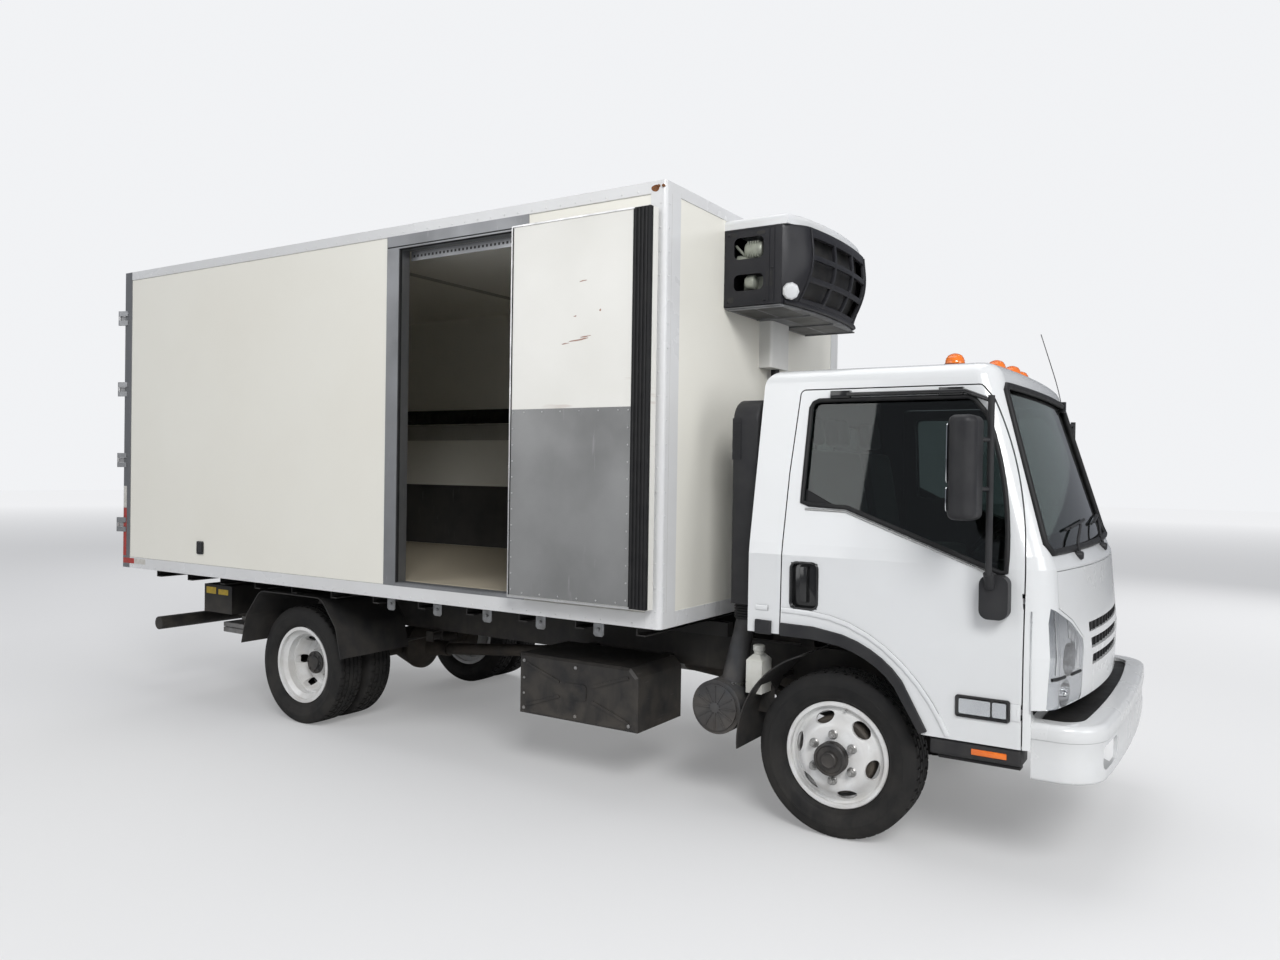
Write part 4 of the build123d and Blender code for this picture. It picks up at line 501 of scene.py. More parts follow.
def plate(name, points, facing, start, depth):
    """A plate drawn as an outline in the plane across one axis and drawn out along that axis."""
    obj = begun(
        name, bpy.ops.mesh.primitive_circle_add, vertices=len(points), radius=1, fill_type="NGON",
        location=(0, 0, 0))
    place = {
        "X": lambda a, b: (start, a, b), "Y": lambda a, b: (a, start, b),
        "Z": lambda a, b: (a, b, start)}[facing]
    for vertex, (a, b) in zip(obj.data.vertices, points):
        vertex.co = place(a, b)
    opened(obj)
    bpy.ops.mesh.select_all(action="SELECT")
    shift = {"X": (depth, 0, 0), "Y": (0, depth, 0), "Z": (0, 0, depth)}[facing]
    bpy.ops.mesh.extrude_region_move(TRANSFORM_OT_translate={"value": shift})
    closed()
    faced_out(obj)
    return obj


def combined(obj, tool, kind):
    """Cuts a tool out of a piece, or adds it to the piece, and takes the tool away."""
    applied(obj, "BOOLEAN", operation=kind, solver="EXACT", object=tool)
    bpy.data.objects.remove(tool)


def outward(profile, side):
    """A profile whose second measure points away from the truck's middle plane."""
    return [(radius, side * along) for radius, along in profile]


def round_angles(count):
    """Even angles round a full turn."""
    return [tau * k / count for k in range(count)]


wheel_enamel = finish_of(
    "wheel enamel", (0.76, 0.765, 0.76), (0.7, 0.7, 0.685), (0.18, 0.3), coat=0.5, clouds=9,
    dirt=((0.26, 0.2, 0.15), 0.22, 0.3, 0.9), rusty=(0.07, 26), wave=(40, 0.05, 300, 0.1, 0.001))
paint(wheel_enamel, "rear_left_rims", "rear_right_rims")
nut_steel = finish_of(
    "nut steel", (0.42, 0.42, 0.41), (0.3, 0.29, 0.28), (0.3, 0.42), metal=0.7, clouds=40, rusty=(0.12, 40))
FRONT_DISC = 0.9575             # outer face of the front disc from the truck's middle plane
rim_profile = [
    (0.2472, -0.076), (0.26, -0.076), (0.26, -0.084), (0.2377, -0.084), (0.2377, -0.058), (0.207, -0.04),
    (0.207, 0.04), (0.2377, 0.058), (0.2377, 0.08), (0.241, 0.084), (0.256, 0.084), (0.26, 0.08),
    (0.26, 0.076), (0.2472, 0.076), (0.2472, 0.054), (0.216, 0.036), (0.216, -0.036), (0.2472, -0.054)]
dish_profile = [
    (0.079, 0.125), (0.142, 0.125), (0.153, 0.1225), (0.168, 0.115), (0.187, 0.098), (0.206, 0.068),
    (0.216, 0.057), (0.228, 0.0525), (0.215, 0.044), (0.207, 0.048), (0.197, 0.061), (0.178, 0.089),
    (0.16, 0.105), (0.146, 0.112), (0.079, 0.114)]
drum_profile = [
    (0.036, -0.032), (0.15, -0.032), (0.18, -0.028), (0.186, -0.02), (0.186, 0.06), (0.176, 0.072),
    (0.036, 0.072)]
HOLE_CENTRE, HOLE_HALF_LONG, HOLE_HALF_DEEP = 0.189, 0.05, 0.027
for side_name, side in SIDES:
    middle = (AXLE, side * FRONT_TREAD, HUB_HEIGHT)
    dish = turned("dish", outward(dish_profile, side), middle, steps=120)
    fixed(dish)
    for number in range(6):
        angle = radians(60 * number - 12)
        ray_way = Vector((cos(angle), sin(angle)))
        round_way = Vector((-sin(angle), cos(angle)))
        oval = [Vector((AXLE, HUB_HEIGHT)) + ray_way * (HOLE_CENTRE + HOLE_HALF_DEEP * sin(turn))
                + round_way * HOLE_HALF_LONG * cos(turn) for turn in round_angles(28)]
        punch = plate("punch", oval, "Y", side * (FRONT_TREAD + 0.02), side * 0.13)
        combined(dish, punch, "DIFFERENCE")
    wheel = joined(
        f"front_{side_name}_wheel_disc", [turned("rim", outward(rim_profile, side), middle, steps=120), dish])
    settled(wheel, wheel_enamel, f"front_{side_name}_wheel", smooth=38, bevel=0.0012)
    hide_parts(f"front_{side_name}_rim")
    drum = turned(f"front_{side_name}_brake_drum", outward(drum_profile, side), middle, steps=64)
    settled(drum, cast_iron, f"front_{side_name}_wheel", smooth=30, bevel=0.002)

# Hub caps, wheel nuts and valves
# A black cast hub end with a low cap stands in the middle of each front wheel, the threaded ends of
# the studs stand out of the nuts, and a valve stem comes through the disc. The rear hubs are bolted.
hub_black = finish_of(
    "hub black", (0.02, 0.02, 0.021), (0.045, 0.042, 0.04), (0.35, 0.55), metal=0.2, clouds=20,
    dirt=(ROAD_DUST, 0.25, 0.2, 0.6), rusty=(0.1, 30), wave=(60, 0.1, 400, 0.2, 0.001))
STUD_RADIUS = 0.2222 / 2
hub_profile = [
    (0.0, 0.0), (0.079, 0.0), (0.079, 0.006), (0.074, 0.01), (0.066, 0.01), (0.063, 0.004), (0.04, 0.004),
    (0.038, 0.02), (0.033, 0.024), (0.03, 0.022), (0.012, 0.022), (0.0, 0.021)]
stud_profile = [(0.0, 0.0), (0.0105, 0.0), (0.0105, 0.009), (0.009, 0.011), (0.0, 0.0112)]
hub_body = [(0.0, 0.1), (0.0795, 0.1), (0.0795, 0.152), (0.077, 0.162), (0.072, 0.167), (0.0, 0.167)]
nut_profile = [(0.0, -0.031), (0.018, -0.031), (0.018, -0.006), (0.0155, 0.000), (0.0, 0.000)]
valve_profile = [(0.0, -0.05), (0.006, -0.05), (0.006, 0.012), (0.004, 0.014), (0.004, 0.022), (0.0, 0.022)]
VALVE_RADIUS, VALVE_ANGLE = 0.232, radians(78)
REAR_HUB, REAR_BOLT_RADIUS = 0.92, 0.063
flange_profile = [
    (0.0, 0.0), (0.078, 0.0), (0.078, 0.012), (0.074, 0.015), (0.05, 0.015), (0.046, 0.026), (0.0, 0.028)]
bolt_profile = [(0.0, 0.013), (0.0085, 0.013), (0.0085, 0.022), (0.006, 0.0235), (0.0, 0.0235)]
washer_profile = [(0.012, -0.03), (0.024, -0.03), (0.0235, -0.026), (0.018, -0.022), (0.012, -0.022)]


def round_hub(axle, y, radius, angle):
    """The point at a radius and an angle round a wheel's middle."""
    return (axle + radius * cos(angle), y, HUB_HEIGHT + radius * sin(angle))


for side_name, side in SIDES:
    cap = joined(f"front_{side_name}_hub_cap", [
        turned("cap", outward(hub_profile, side), (AXLE, side * (FRONT_DISC + 0.042), HUB_HEIGHT), steps=48),
        turned("hub", outward(hub_body, side), (AXLE, side * FRONT_TREAD, HUB_HEIGHT), steps=48)])
    settled(cap, hub_black, f"front_{side_name}_wheel", smooth=40)
    studs = []
    for number in range(6):
        place = round_hub(AXLE, side * (FRONT_DISC + 0.029), STUD_RADIUS, radians(30 + 60 * number))
        studs.append(turned("stud", outward(stud_profile, side), place, steps=14))
        studs.append(turned("nut", outward(nut_profile, side), place, steps=6))
        studs.append(turned("washer", outward(washer_profile, side), place, steps=20))
    valve = round_hub(AXLE, side * (FRONT_DISC - 0.055), VALVE_RADIUS, VALVE_ANGLE)
    studs.append(turned("valve", outward(valve_profile, side), valve, steps=10))
    settled(
        joined(f"front_{side_name}_studs", studs), nut_steel, f"front_{side_name}_wheel",
        smooth=30)
    bolts = [
        turned("flange", outward(flange_profile, side), (REAR_AXLE, side * REAR_HUB, HUB_HEIGHT), steps=48)]
    for angle in round_angles(8):
        place = round_hub(REAR_AXLE, side * REAR_HUB, REAR_BOLT_RADIUS, angle)
        bolts.append(turned("bolt", outward(bolt_profile, side), place, steps=6))
    settled(
        joined(f"rear_{side_name}_hub_flange", bolts), hub_black, f"rear_{side_name}_wheels",
        smooth=40)

# Tank, battery box, after-treatment cover and air cleaner
# They hang from the frame's sides: a bare aluminium tank, a moulded battery box, a pressed black cover
# held by bolts, and the air cleaner with its duct, moulded in dark grey.
tank_metal = finish_of(
    "tank aluminium", (0.42, 0.42, 0.42), (0.3, 0.3, 0.3), (0.35, 0.55), metal=0.9, clouds=5,
    dirt=(ROAD_DUST, 0.7, 0.2, 0.9), scratched=((0.6, 0.6, 0.6), 0.5, 10.0, (1, 14, 14)),
    wave=(4, 0.1, 400, 0.1, 0.002))
moulded_black = finish_of(
    "moulded black", (0.022, 0.022, 0.023), (0.036, 0.035, 0.034), (0.46, 0.6), clouds=7,
    dirt=(ROAD_DUST, 0.16, 0.3, 1.1), wave=(12, 0.06, 700, 0.35, 0.0008), shine=0.25)
cover_black = finish_of(
    "cover black", (0.018, 0.018, 0.019), (0.028, 0.027, 0.026), (0.34, 0.48), clouds=6,
    dirt=(ROAD_DUST, 0.22, 0.3, 1.0), scratched=((0.12, 0.12, 0.12), 0.6, 9.0, (14, 1, 14)), rusty=(0.1, 20),
    wave=(5, 0.12, 300, 0.1, 0.002), shine=0.25)
duct_grey = finish_of(
    "duct grey", (0.055, 0.057, 0.061), (0.036, 0.036, 0.038), (0.45, 0.6), clouds=8,
    dirt=(ROAD_DUST, 0.3, 0.3, 1.2), wave=(8, 0.06, 600, 0.3, 0.001), shine=0.3)
paint(tank_metal, "fuel_tank")
paint(moulded_black, "battery_box", "mudguards")
paint(cover_black, "exhaust_box")
paint(duct_grey, "air_cleaner")


def slab(name, low, high):
    """A block between two corners, ready to be shaped."""
    middle = [(a + b) / 2 for a, b in zip(low, high)]
    scale = [abs(b - a) for a, b in zip(low, high)]
    obj = begun(name, bpy.ops.mesh.primitive_cube_add, size=1, location=middle, scale=scale)
    fixed(obj)
    return obj


def row(obj, count, step):
    """The piece repeated count times, each a step from the last."""
    return applied(
        obj, "ARRAY", count=count, use_relative_offset=False, use_constant_offset=True,
        constant_offset_displace=step)


def pressed(obj, way, inset=0.0, grow=None, shift=None, least=0.9):
    """The faces that look one way are inset, resized and moved, as a press or a mould shapes them."""
    opened(obj)
    pick_faces(obj, lambda centre, out: out.dot(Vector(way)) > least)
    if inset:
        bpy.ops.mesh.inset(thickness=inset)
    if grow:
        bpy.ops.transform.resize(value=grow)
    if shift:
        bpy.ops.transform.translate(value=shift)
    closed()


def rivet(name, place, radius=0.005, height=0.003, facing="-Y", vertices=8):
    """A low domed head that stands on a surface and faces along one axis."""
    head = begun(
        name, bpy.ops.mesh.primitive_cylinder_add, vertices=vertices, radius=radius, depth=height * 2,
        location=(0, 0, 0))
    pressed(head, (0, 0, 1), inset=radius * 0.35, shift=(0, 0, height * 0.5))
    toward = {"-Y": (0, -1, 0), "Y": (0, 1, 0), "X": (1, 0, 0)}[facing]
    head.rotation_euler = Vector(toward).to_track_quat("Z", "Y").to_euler()
    head.location = place
    fixed(head)
    return head


def tube(name, points, radius, ring=10, smooth_line=True, closed_loop=False):
    """A round bar that follows a line of points."""
    line = bpy.data.curves.new(name, "CURVE")
    line.dimensions = "3D"
    run = line.splines.new("NURBS" if smooth_line else "POLY")
    run.points.add(len(points) - 1)
    for point, place in zip(run.points, points):
        point.co = (*place, 1)
    run.use_cyclic_u = closed_loop
    if smooth_line:
        run.order_u = 3
        run.use_endpoint_u = not closed_loop
    line.resolution_u = 6
    line.bevel_depth = radius
    line.bevel_resolution = max(1, ring // 4)
    line.use_fill_caps = True
    obj = bpy.data.objects.new(name, line)
    bpy.context.collection.objects.link(obj)
    alone(obj)
    bpy.ops.object.convert(target="MESH")
    faced_out(bpy.context.object, 0.00002)
    return bpy.context.object


def rounded(x0, x1, z0, z1, radius, steps=4):
    """Corner points of a rectangle with rounded corners."""
    points = []
    for cx, cz, start in (
            (x1 - radius, z1 - radius, 0), (x0 + radius, z1 - radius, 90), (x0 + radius, z0 + radius, 180),
            (x1 - radius, z0 + radius, 270)):
        for number in range(steps + 1):
            angle = radians(start + 90 * number / steps)
            points.append((cx + radius * cos(angle), cz + radius * sin(angle)))
    return points


bolts = [
    rivet("bolt", (AXLE + x, -1.000, z), 0.011, 0.006, "-Y", 6) for x in (-1.88, -1.51, -1.15)
    for z in (0.385, 0.66) if not (x > -1.2 and z > 0.6)]
bolts += [rivet("bolt", (AXLE - 1.88, -1.000, z), 0.008, 0.005, "-Y", 6) for z in (0.47, 0.56)]
settled(joined("cover_bolts", bolts), tank_metal, "truck", smooth=30)

# The duct's clamp, and a milky coolant bottle on its bracket beside the drum
clamp_steel = finish_of(
    "clamp steel", (0.55, 0.55, 0.54), (0.4, 0.4, 0.39), (0.25, 0.4), metal=1.0, clouds=30, rusty=(0.2, 60))
ring = turned(
    "duct_clamp", [(0.066, -0.009), (0.0685, -0.009), (0.0685, 0.009), (0.066, 0.009)], (0, 0, 0), "Z", 40)
ring.rotation_euler = (radians(-3), radians(6), 0)
ring.location = (AXLE - 0.6115, -0.829, 0.672)
screw = slab("screw", (AXLE - 0.592, -0.905, 0.664), (AXLE - 0.566, -0.889, 0.68))
settled(joined("duct_clamp", [ring, screw]), clamp_steel, "truck", smooth=30)
bottle_white = finish_of(
    "bottle plastic", (0.7, 0.7, 0.66), (0.58, 0.58, 0.52), (0.32, 0.42), clouds=10,
    dirt=(ROAD_DUST, 0.3, 0.5, 0.9), wave=(9, 0.1, 200, 0.05, 0.002))
bottle = slab("coolant_bottle", (AXLE - 0.5, -0.9, 0.64), (AXLE - 0.41, -0.78, 0.81))
pressed(bottle, (0, 0, 1), inset=0.028, shift=(0, 0, 0.03))
neck = turned(
    "neck", [(0.0, 0.0), (0.026, 0.0), (0.026, 0.018), (0.031, 0.02), (0.031, 0.046), (0.027, 0.05),
    (0.0, 0.05)], (AXLE - 0.455, -0.84, 0.834), "Z", 24)
settled(
    joined("coolant_bottle", [bottle, neck]), bottle_white, "truck", smooth=50, bevel=0.01,
    segments=3)
bracket = plate(
    "bottle_bracket", [(AXLE - 0.52, 0.52), (AXLE - 0.392, 0.52), (AXLE - 0.392, 0.655), (AXLE - 0.44, 0.7),
    (AXLE - 0.52, 0.7)], "Y", -0.77, -0.004)
arm = slab("bracket_arm", (AXLE - 0.48, -0.772, 0.66), (AXLE - 0.44, -0.425, 0.69))
settled(joined("bottle_bracket", [bracket, arm]), cover_black, "truck", smooth=30, bevel=0.002)

# Pressed clips tie the body's sills to the frame runners along each side
clip_steel = finish_of(
    "galvanised steel", (0.33, 0.34, 0.35), (0.24, 0.245, 0.25), (0.42, 0.6), metal=0.75, clouds=26,
    dirt=(ROAD_DUST, 0.45, 0.6, 1.1), rusty=(0.16, 24), wave=(30, 0.08, 300, 0.1, 0.001))
for side_name, side in SIDES:
    clip = plate(
        "clip", [(-0.035, 0.0), (-0.035, 0.075), (-0.022, 0.085), (-0.018, 0.06), (0.018, 0.06),
        (0.022, 0.085), (0.035, 0.075), (0.035, 0.0), (0.022, -0.012), (-0.022, -0.012)], "Y", 0.0, 0.005)
    foot = slab("foot", (-0.03, -0.028, 0.084), (0.03, 0.006, 0.089))
    nut = rivet("nut", (0.0, 0.007 if side > 0 else -0.001, 0.03), 0.01, 0.007, "Y" if side > 0 else "-Y", 6)
    clip = joined(f"{side_name}_sill_clips", [clip, foot, nut])
    clip.location = (AXLE - 1.3, side * 1.085, 0.882)
    fixed(clip)
    row(clip, 5, (-0.4, 0, 0))
    settled(clip, clip_steel, "truck", smooth=30, bevel=0.0012, segments=1)

# Cab skin
# Pressed steel in gloss white, with a plain dark grey inner side. The nose panel and the bumper are
# moulded and painted in the same white, with a little road film low down.


def turned_to(material, mask, colour, roughness):
    """Where a mask is 1, a material's colour and roughness turn to others."""
    tree = material.node_tree
    colour_in, rough_in = (tree.nodes["Principled BSDF"].inputs[key] for key in ("Base Color", "Roughness"))
    tree.links.new(blended(tree, mask, colour_in.links[0].from_socket, (*colour, 1)), colour_in)
    ends = wired(
        tree, "MapRange", {"Value": mask, "To Min": rough_in.links[0].from_socket, "To Max": roughness})
    tree.links.new(ends.outputs[0], rough_in)


def lined(material, centre, colour, roughness):
    """The faces that look towards a centre take a second, plain finish, such as a cab's inner side."""
    tree = material.node_tree
    place = wired(tree, "TexCoord")
    apart = wired(tree, "VectorMath", {0: place.outputs["Object"], 1: centre}, operation="SUBTRACT")
    facing = wired(
        tree, "VectorMath", {0: apart.outputs[0], 1: place.outputs["Normal"]}, operation="DOT_PRODUCT")
    inside = wired(tree, "Math", {0: facing.outputs["Value"], 1: 0.0}, operation="LESS_THAN").outputs[0]
    turned_to(material, inside, colour, roughness)
    coat = tree.nodes["Principled BSDF"].inputs["Coat Weight"]
    sheen = wired(tree, "MapRange", {"Value": inside, "To Min": coat.default_value, "To Max": 0.0})
    tree.links.new(sheen.outputs[0], coat)


def under(material, axis, limit):
    """A mask that is 1 where a place's X, Y or Z is less than a limit."""
    tree = material.node_tree
    parts = wired(tree, "SeparateXYZ", {0: object_place(tree)})
    return wired(tree, "Math", {0: parts.outputs[axis], 1: limit}, operation="LESS_THAN").outputs[0]


CAB_WHITE = (0.7, 0.71, 0.715)
cab_paint = finish_of(
    "cab white", CAB_WHITE, (0.68, 0.69, 0.69), (0.16, 0.24), coat=0.6, clouds=2.0,
    dirt=((0.42, 0.39, 0.34), 0.1, 0.2, 0.9), wave=(1.6, 0.03, 900, 0.01, 0.004))
lined(cab_paint, (AXLE - 0.02, 0, 1.62), (0.055, 0.056, 0.06), 0.7)
paint(cab_paint, "cab_shell", "left_door", "right_door")
nose_paint = finish_of(
    "nose white", CAB_WHITE, (0.66, 0.665, 0.66), (0.2, 0.3), coat=0.5, clouds=2.5,
    dirt=((0.46, 0.43, 0.38), 0.06, 0.1, 0.9), wave=(1.8, 0.03, 900, 0.01, 0.004))
paint(nose_paint, "front_panel")
rubber = finish_of(
    "black rubber", (0.012, 0.012, 0.013), (0.02, 0.02, 0.02), (0.48, 0.6), clouds=14,
    dirt=(ROAD_DUST, 0.08, 0.2, 1.0), wave=(10, 0.05, 500, 0.2, 0.0006), shine=0.25)
gloss_black = finish_of(
    "gloss black", (0.01, 0.01, 0.011), (0.016, 0.016, 0.016), (0.14, 0.24), coat=0.3, clouds=12,
    dirt=(ROAD_DUST, 0.06, 0.2, 1.0))
trim_black = finish_of(
    "grained black", (0.022, 0.022, 0.024), (0.032, 0.032, 0.033), (0.42, 0.55), clouds=9,
    dirt=(ROAD_DUST, 0.1, 0.1, 1.0), wave=(12, 0.05, 800, 0.5, 0.0008), shine=0.25)
paint(trim_black, "left_mirror", "right_mirror")


def glass_of(name, tint, roughness=0.02):
    """Clear or tinted glass or lens plastic."""
    made = bpy.data.materials.new(name)
    made.use_nodes = True
    shader = made.node_tree.nodes["Principled BSDF"]
    shader.inputs["Base Color"].default_value = (*tint, 1)
    shader.inputs["Roughness"].default_value = roughness
    shader.inputs["IOR"].default_value = 1.46
    shader.inputs["Transmission Weight"].default_value = 1.0
    return made


window_glass = glass_of("window glass", (0.3, 0.36, 0.34))
screen_glass = glass_of("windscreen glass", (0.13, 0.17, 0.155))
paint(window_glass, "left_door_glass", "right_door_glass")
paint(screen_glass, "cab_glass")
lamp_lens = glass_of("lamp lens", (0.94, 0.95, 0.96))
paint(lamp_lens, "headlamps")
chrome = finish_of(
    "bright reflector", (0.78, 0.79, 0.8), (0.7, 0.71, 0.72), (0.12, 0.2), metal=1.0, clouds=12)
paint(chrome, "lamp_bowls")
amber_lens = finish_of("amber lens", (0.85, 0.2, 0.02), (0.75, 0.15, 0.02), (0.15, 0.25), coat=0.4, clouds=20)
red_lens = finish_of("red lens", (0.45, 0.012, 0.012), (0.36, 0.01, 0.01), (0.15, 0.25), coat=0.4, clouds=20)

# Window rubbers and weatherstrips
# A black rubber runs round each pane and a thin bright strip closes the belt line. All of them follow
# the curved skin, so each point is dropped onto it first.


def struck(names, start, direction):
    """Where a line first meets any of the CAD nodes named."""
    best, start, direction = None, Vector(start), Vector(direction)
    aside = direction.orthogonal() * 0.0004
    for shift in (Vector(), aside, -aside, direction.cross(aside) * 2):
        for name in names:
            hit, place, normal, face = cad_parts[name].ray_cast(start + shift, direction)
            if hit and (best is None or (place - start).length < (best - start).length):
                best = place
        if best is not None:
            break
    return best


def on_side(side, x, z, names, lift=0.0):
    """The point of the cab's side at x and z, lifted off the skin."""
    place = struck(names, (x, side * 2.0, z), (0, -side, 0))
    return Vector((x, place.y + side * lift, z)) if place else None


def on_nose(y, z, names, lift=0.0):
    """The point of the cab's nose at y and z, lifted off the skin."""
    place = struck(names, (4.5, y, z), (-1, 0, 0))
    return Vector((place.x + lift, y, z)) if place else None


def dense(points, step=0.05, closed_loop=True):
    """The corners of an outline with more points between them."""
    made = []
    last = len(points) if closed_loop else len(points) - 1
    for number in range(last):
        a, b = points[number], points[(number + 1) % len(points)]
        parts = max(1, round(dist(a, b) / step))
        made += [tuple(i + (j - i) * k / parts for i, j in zip(a, b)) for k in range(parts)]
    return made if closed_loop else made + [points[-1]]


def widened(points, amount):
    """An outline moved outwards by an amount, or inwards by a negative one."""
    area = sum(a[0] * b[1] - b[0] * a[1] for a, b in zip(points, points[1:] + points[:1]))
    turn = 1 if area > 0 else -1
    made = []
    for before, here, after in zip(points[-1:] + points[:-1], points, points[1:] + points[:1]):
        first = Vector((here[1] - before[1], before[0] - here[0])).normalized() * turn
        second = Vector((after[1] - here[1], here[0] - after[0])).normalized() * turn
        middle = (first + second).normalized()
        middle *= amount / max(0.4, middle.dot(first))
        made.append((here[0] + middle.x, here[1] + middle.y))
    return made


def skinned(name, stations):
    """A skin over a row of closed outlines with as many points each, capped at its ends."""
    ring = len(stations[0])
    obj = begun(
        name, bpy.ops.mesh.primitive_grid_add, x_subdivisions=ring, y_subdivisions=len(stations) - 1, size=1,
        location=(0, 0, 0))
    for number, vertex in enumerate(obj.data.vertices):
        line, place = divmod(number, ring + 1)
        vertex.co = stations[line][place % ring]
    opened(obj)
    bpy.ops.mesh.select_all(action="SELECT")
    bpy.ops.mesh.remove_doubles(threshold=0.00002)
    bpy.ops.mesh.fill_holes(sides=0)
    bpy.ops.mesh.normals_make_consistent(inside=False)
    closed()
    return obj


def band(name, inner, outer, height, out):
    """A raised strip between two lines of surface points, with softened upper corners."""
    stations = []
    for a, b in zip(inner, outer):
        side_way = (b - a).normalized()
        stations.append(
            [a - out * 0.003, a + out * height * 0.7, a + side_way * 0.003 + out * height,
            b - side_way * 0.003 + out * height, b + out * height * 0.7, b - out * 0.003])
    return skinned(name, stations)


def arc_through(a, b, c, steps):
    """Points of the arc through three points, from the first to the last."""
    first = (b[0] ** 2 - a[0] ** 2 + b[1] ** 2 - a[1] ** 2) / 2
    second = (c[0] ** 2 - b[0] ** 2 + c[1] ** 2 - b[1] ** 2) / 2
    across = (b[0] - a[0]) * (c[1] - b[1]) - (c[0] - b[0]) * (b[1] - a[1])
    x = (first * (c[1] - b[1]) - second * (b[1] - a[1])) / across
    y = (second * (b[0] - a[0]) - first * (c[0] - b[0])) / across
    start, end = atan2(a[1] - y, a[0] - x), atan2(c[1] - y, c[0] - x)
    radius = dist((x, y), a)
    angles = [start + (end - start) * k / steps for k in range(steps + 1)]
    return [(x + radius * cos(angle), y + radius * sin(angle)) for angle in angles]


window_line = [
    (-0.166, 1.64), (-0.162, 2.1), (-0.15, 2.124), (-0.126, 2.134), (0.59, 2.134), (0.615, 2.125),
    *arc_through((0.676, 2.052), (0.765, 1.745), (0.794, 1.366), 14), (0.776, 1.36), (0.06, 1.62),
    (-0.13, 1.628)]
windscreen_line = [
    (-0.932, 1.49), (-0.905, 1.452), (0.905, 1.452), (0.932, 1.49), (0.8, 2.162), (0.775, 2.186),
    (-0.775, 2.186), (-0.8, 2.162)]
rear_window_line = rounded(-0.54, 0.54, 1.63, 2.06, 0.05)
for side_name, side in SIDES:
    skin, leaf, out = [f"{side_name}_door"], f"{side_name}_cab_door", Vector((0, side, 0))
    outer_line = [on_side(side, AXLE + x, z, skin) for x, z in dense(widened(window_line, 0.004))]
    loop = [base + out * 0.001 for base in outer_line]
    settled(
        tube(f"{side_name}_window_rubber", loop, 0.0115, 12, False, True), rubber, leaf,
        smooth=60)
    belt = [
        on_side(side, AXLE + x, z, skin, 0.002)
        for x, z in dense([(-0.15, 1.603), (0.055, 1.597), (0.77, 1.338)], 0.08, False)]
    settled(
        tube(f"{side_name}_belt_strip", belt, 0.006, 8, False), clamp_steel, leaf, smooth=60)
    corner = plate(
        f"{side_name}_window_corner", [(-0.158, 1.634), (-0.02, 1.63), (-0.158, 1.7)], "Y", 0.0, 0.006)
    for vertex in corner.data.vertices:
        base = on_side(side, AXLE + vertex.co.x, 1.6, skin)
        vertex.co = (
            AXLE + vertex.co.x, base.y - side * (0.014 + (vertex.co.z - 1.6) * 0.17 + vertex.co.y),
            vertex.co.z)
    faced_out(corner)
    settled(corner, rubber, leaf)
screen = [on_nose(y, z, ["cab_shell"], 0.001) for y, z in dense(widened(windscreen_line, 0.006))]
settled(tube("windscreen_rubber", screen, 0.016, 12, False, True), rubber, "cab", smooth=60)
back_line = [(1.845, y, z) for y, z in rear_window_line]
settled(
    tube("rear_window_rubber", back_line, 0.013, 12, False, True), rubber, "cab", smooth=60)

# Wipers
# Two black pressed arms with rubber blades lie parked along the foot of the windscreen.
for number, (pivot_y, tip_y) in enumerate(((-0.52, 0.02), (0.22, 0.74))):
    everywhere = ["cab_shell", "cab_glass", "front_panel"]
    foot = on_nose(pivot_y, 1.415, everywhere, 0.012)
    arm = [
        foot, on_nose(pivot_y + 0.02, 1.47, everywhere, 0.035),
        on_nose(pivot_y + 0.16, 1.515, everywhere, 0.034),
        on_nose((pivot_y + tip_y) / 2, 1.545, everywhere, 0.028)]
    blade_line = [
        on_nose(pivot_y - 0.02 + (tip_y - pivot_y) * k / 8, 1.53 + 0.004 * k, everywhere, 0.012)
        for k in range(9)]
    parts = [tube("arm", arm, 0.007, 8), tube("blade", blade_line, 0.0065, 8)]
    parts.append(tube("spine", [point + Vector((0.01, 0, 0.004)) for point in blade_line[1:-1]], 0.005, 8))
    boss = turned(
        "boss", [(0.0, -0.02), (0.02, -0.02), (0.02, 0.008), (0.015, 0.014), (0.0, 0.015)], tuple(foot), "X",
        20)
    settled(joined(f"wiper_{number + 1}", parts + [boss]), trim_black, "cab", smooth=50)

# Door handles
# A gloss black cup is let into each door's rear edge, with a round rim and a pull bar across it.
for side_name, side in SIDES:
    skin, leaf = [f"{side_name}_door"], f"{side_name}_cab_door"
    face = on_side(side, AXLE - 0.225, 1.232, skin).y
    cup = plate(
        "cup", rounded(AXLE - 0.2025, AXLE - 0.0655, 1.1215, 1.3425, 0.03, 6), "Y", side * 1.0085,
        side * 0.004)
    rim = tube(
        "rim", [(x, face + side * 0.001, z) for x, z in rounded(AXLE - 0.203, AXLE - 0.065, 1.121, 1.343,
        0.03, 6)], 0.0065, 10, False, True)
    bar = slab("bar", (AXLE - 0.158, side * 1.013, 1.15), (AXLE - 0.112, face + side * 0.01, 1.33))
    pressed(bar, (0, side, 0), grow=(0.72, 1, 0.94))
    settled(
        joined(f"{side_name}_door_handle", [cup, rim, bar]), gloss_black, leaf, smooth=45,
        bevel=0.003)

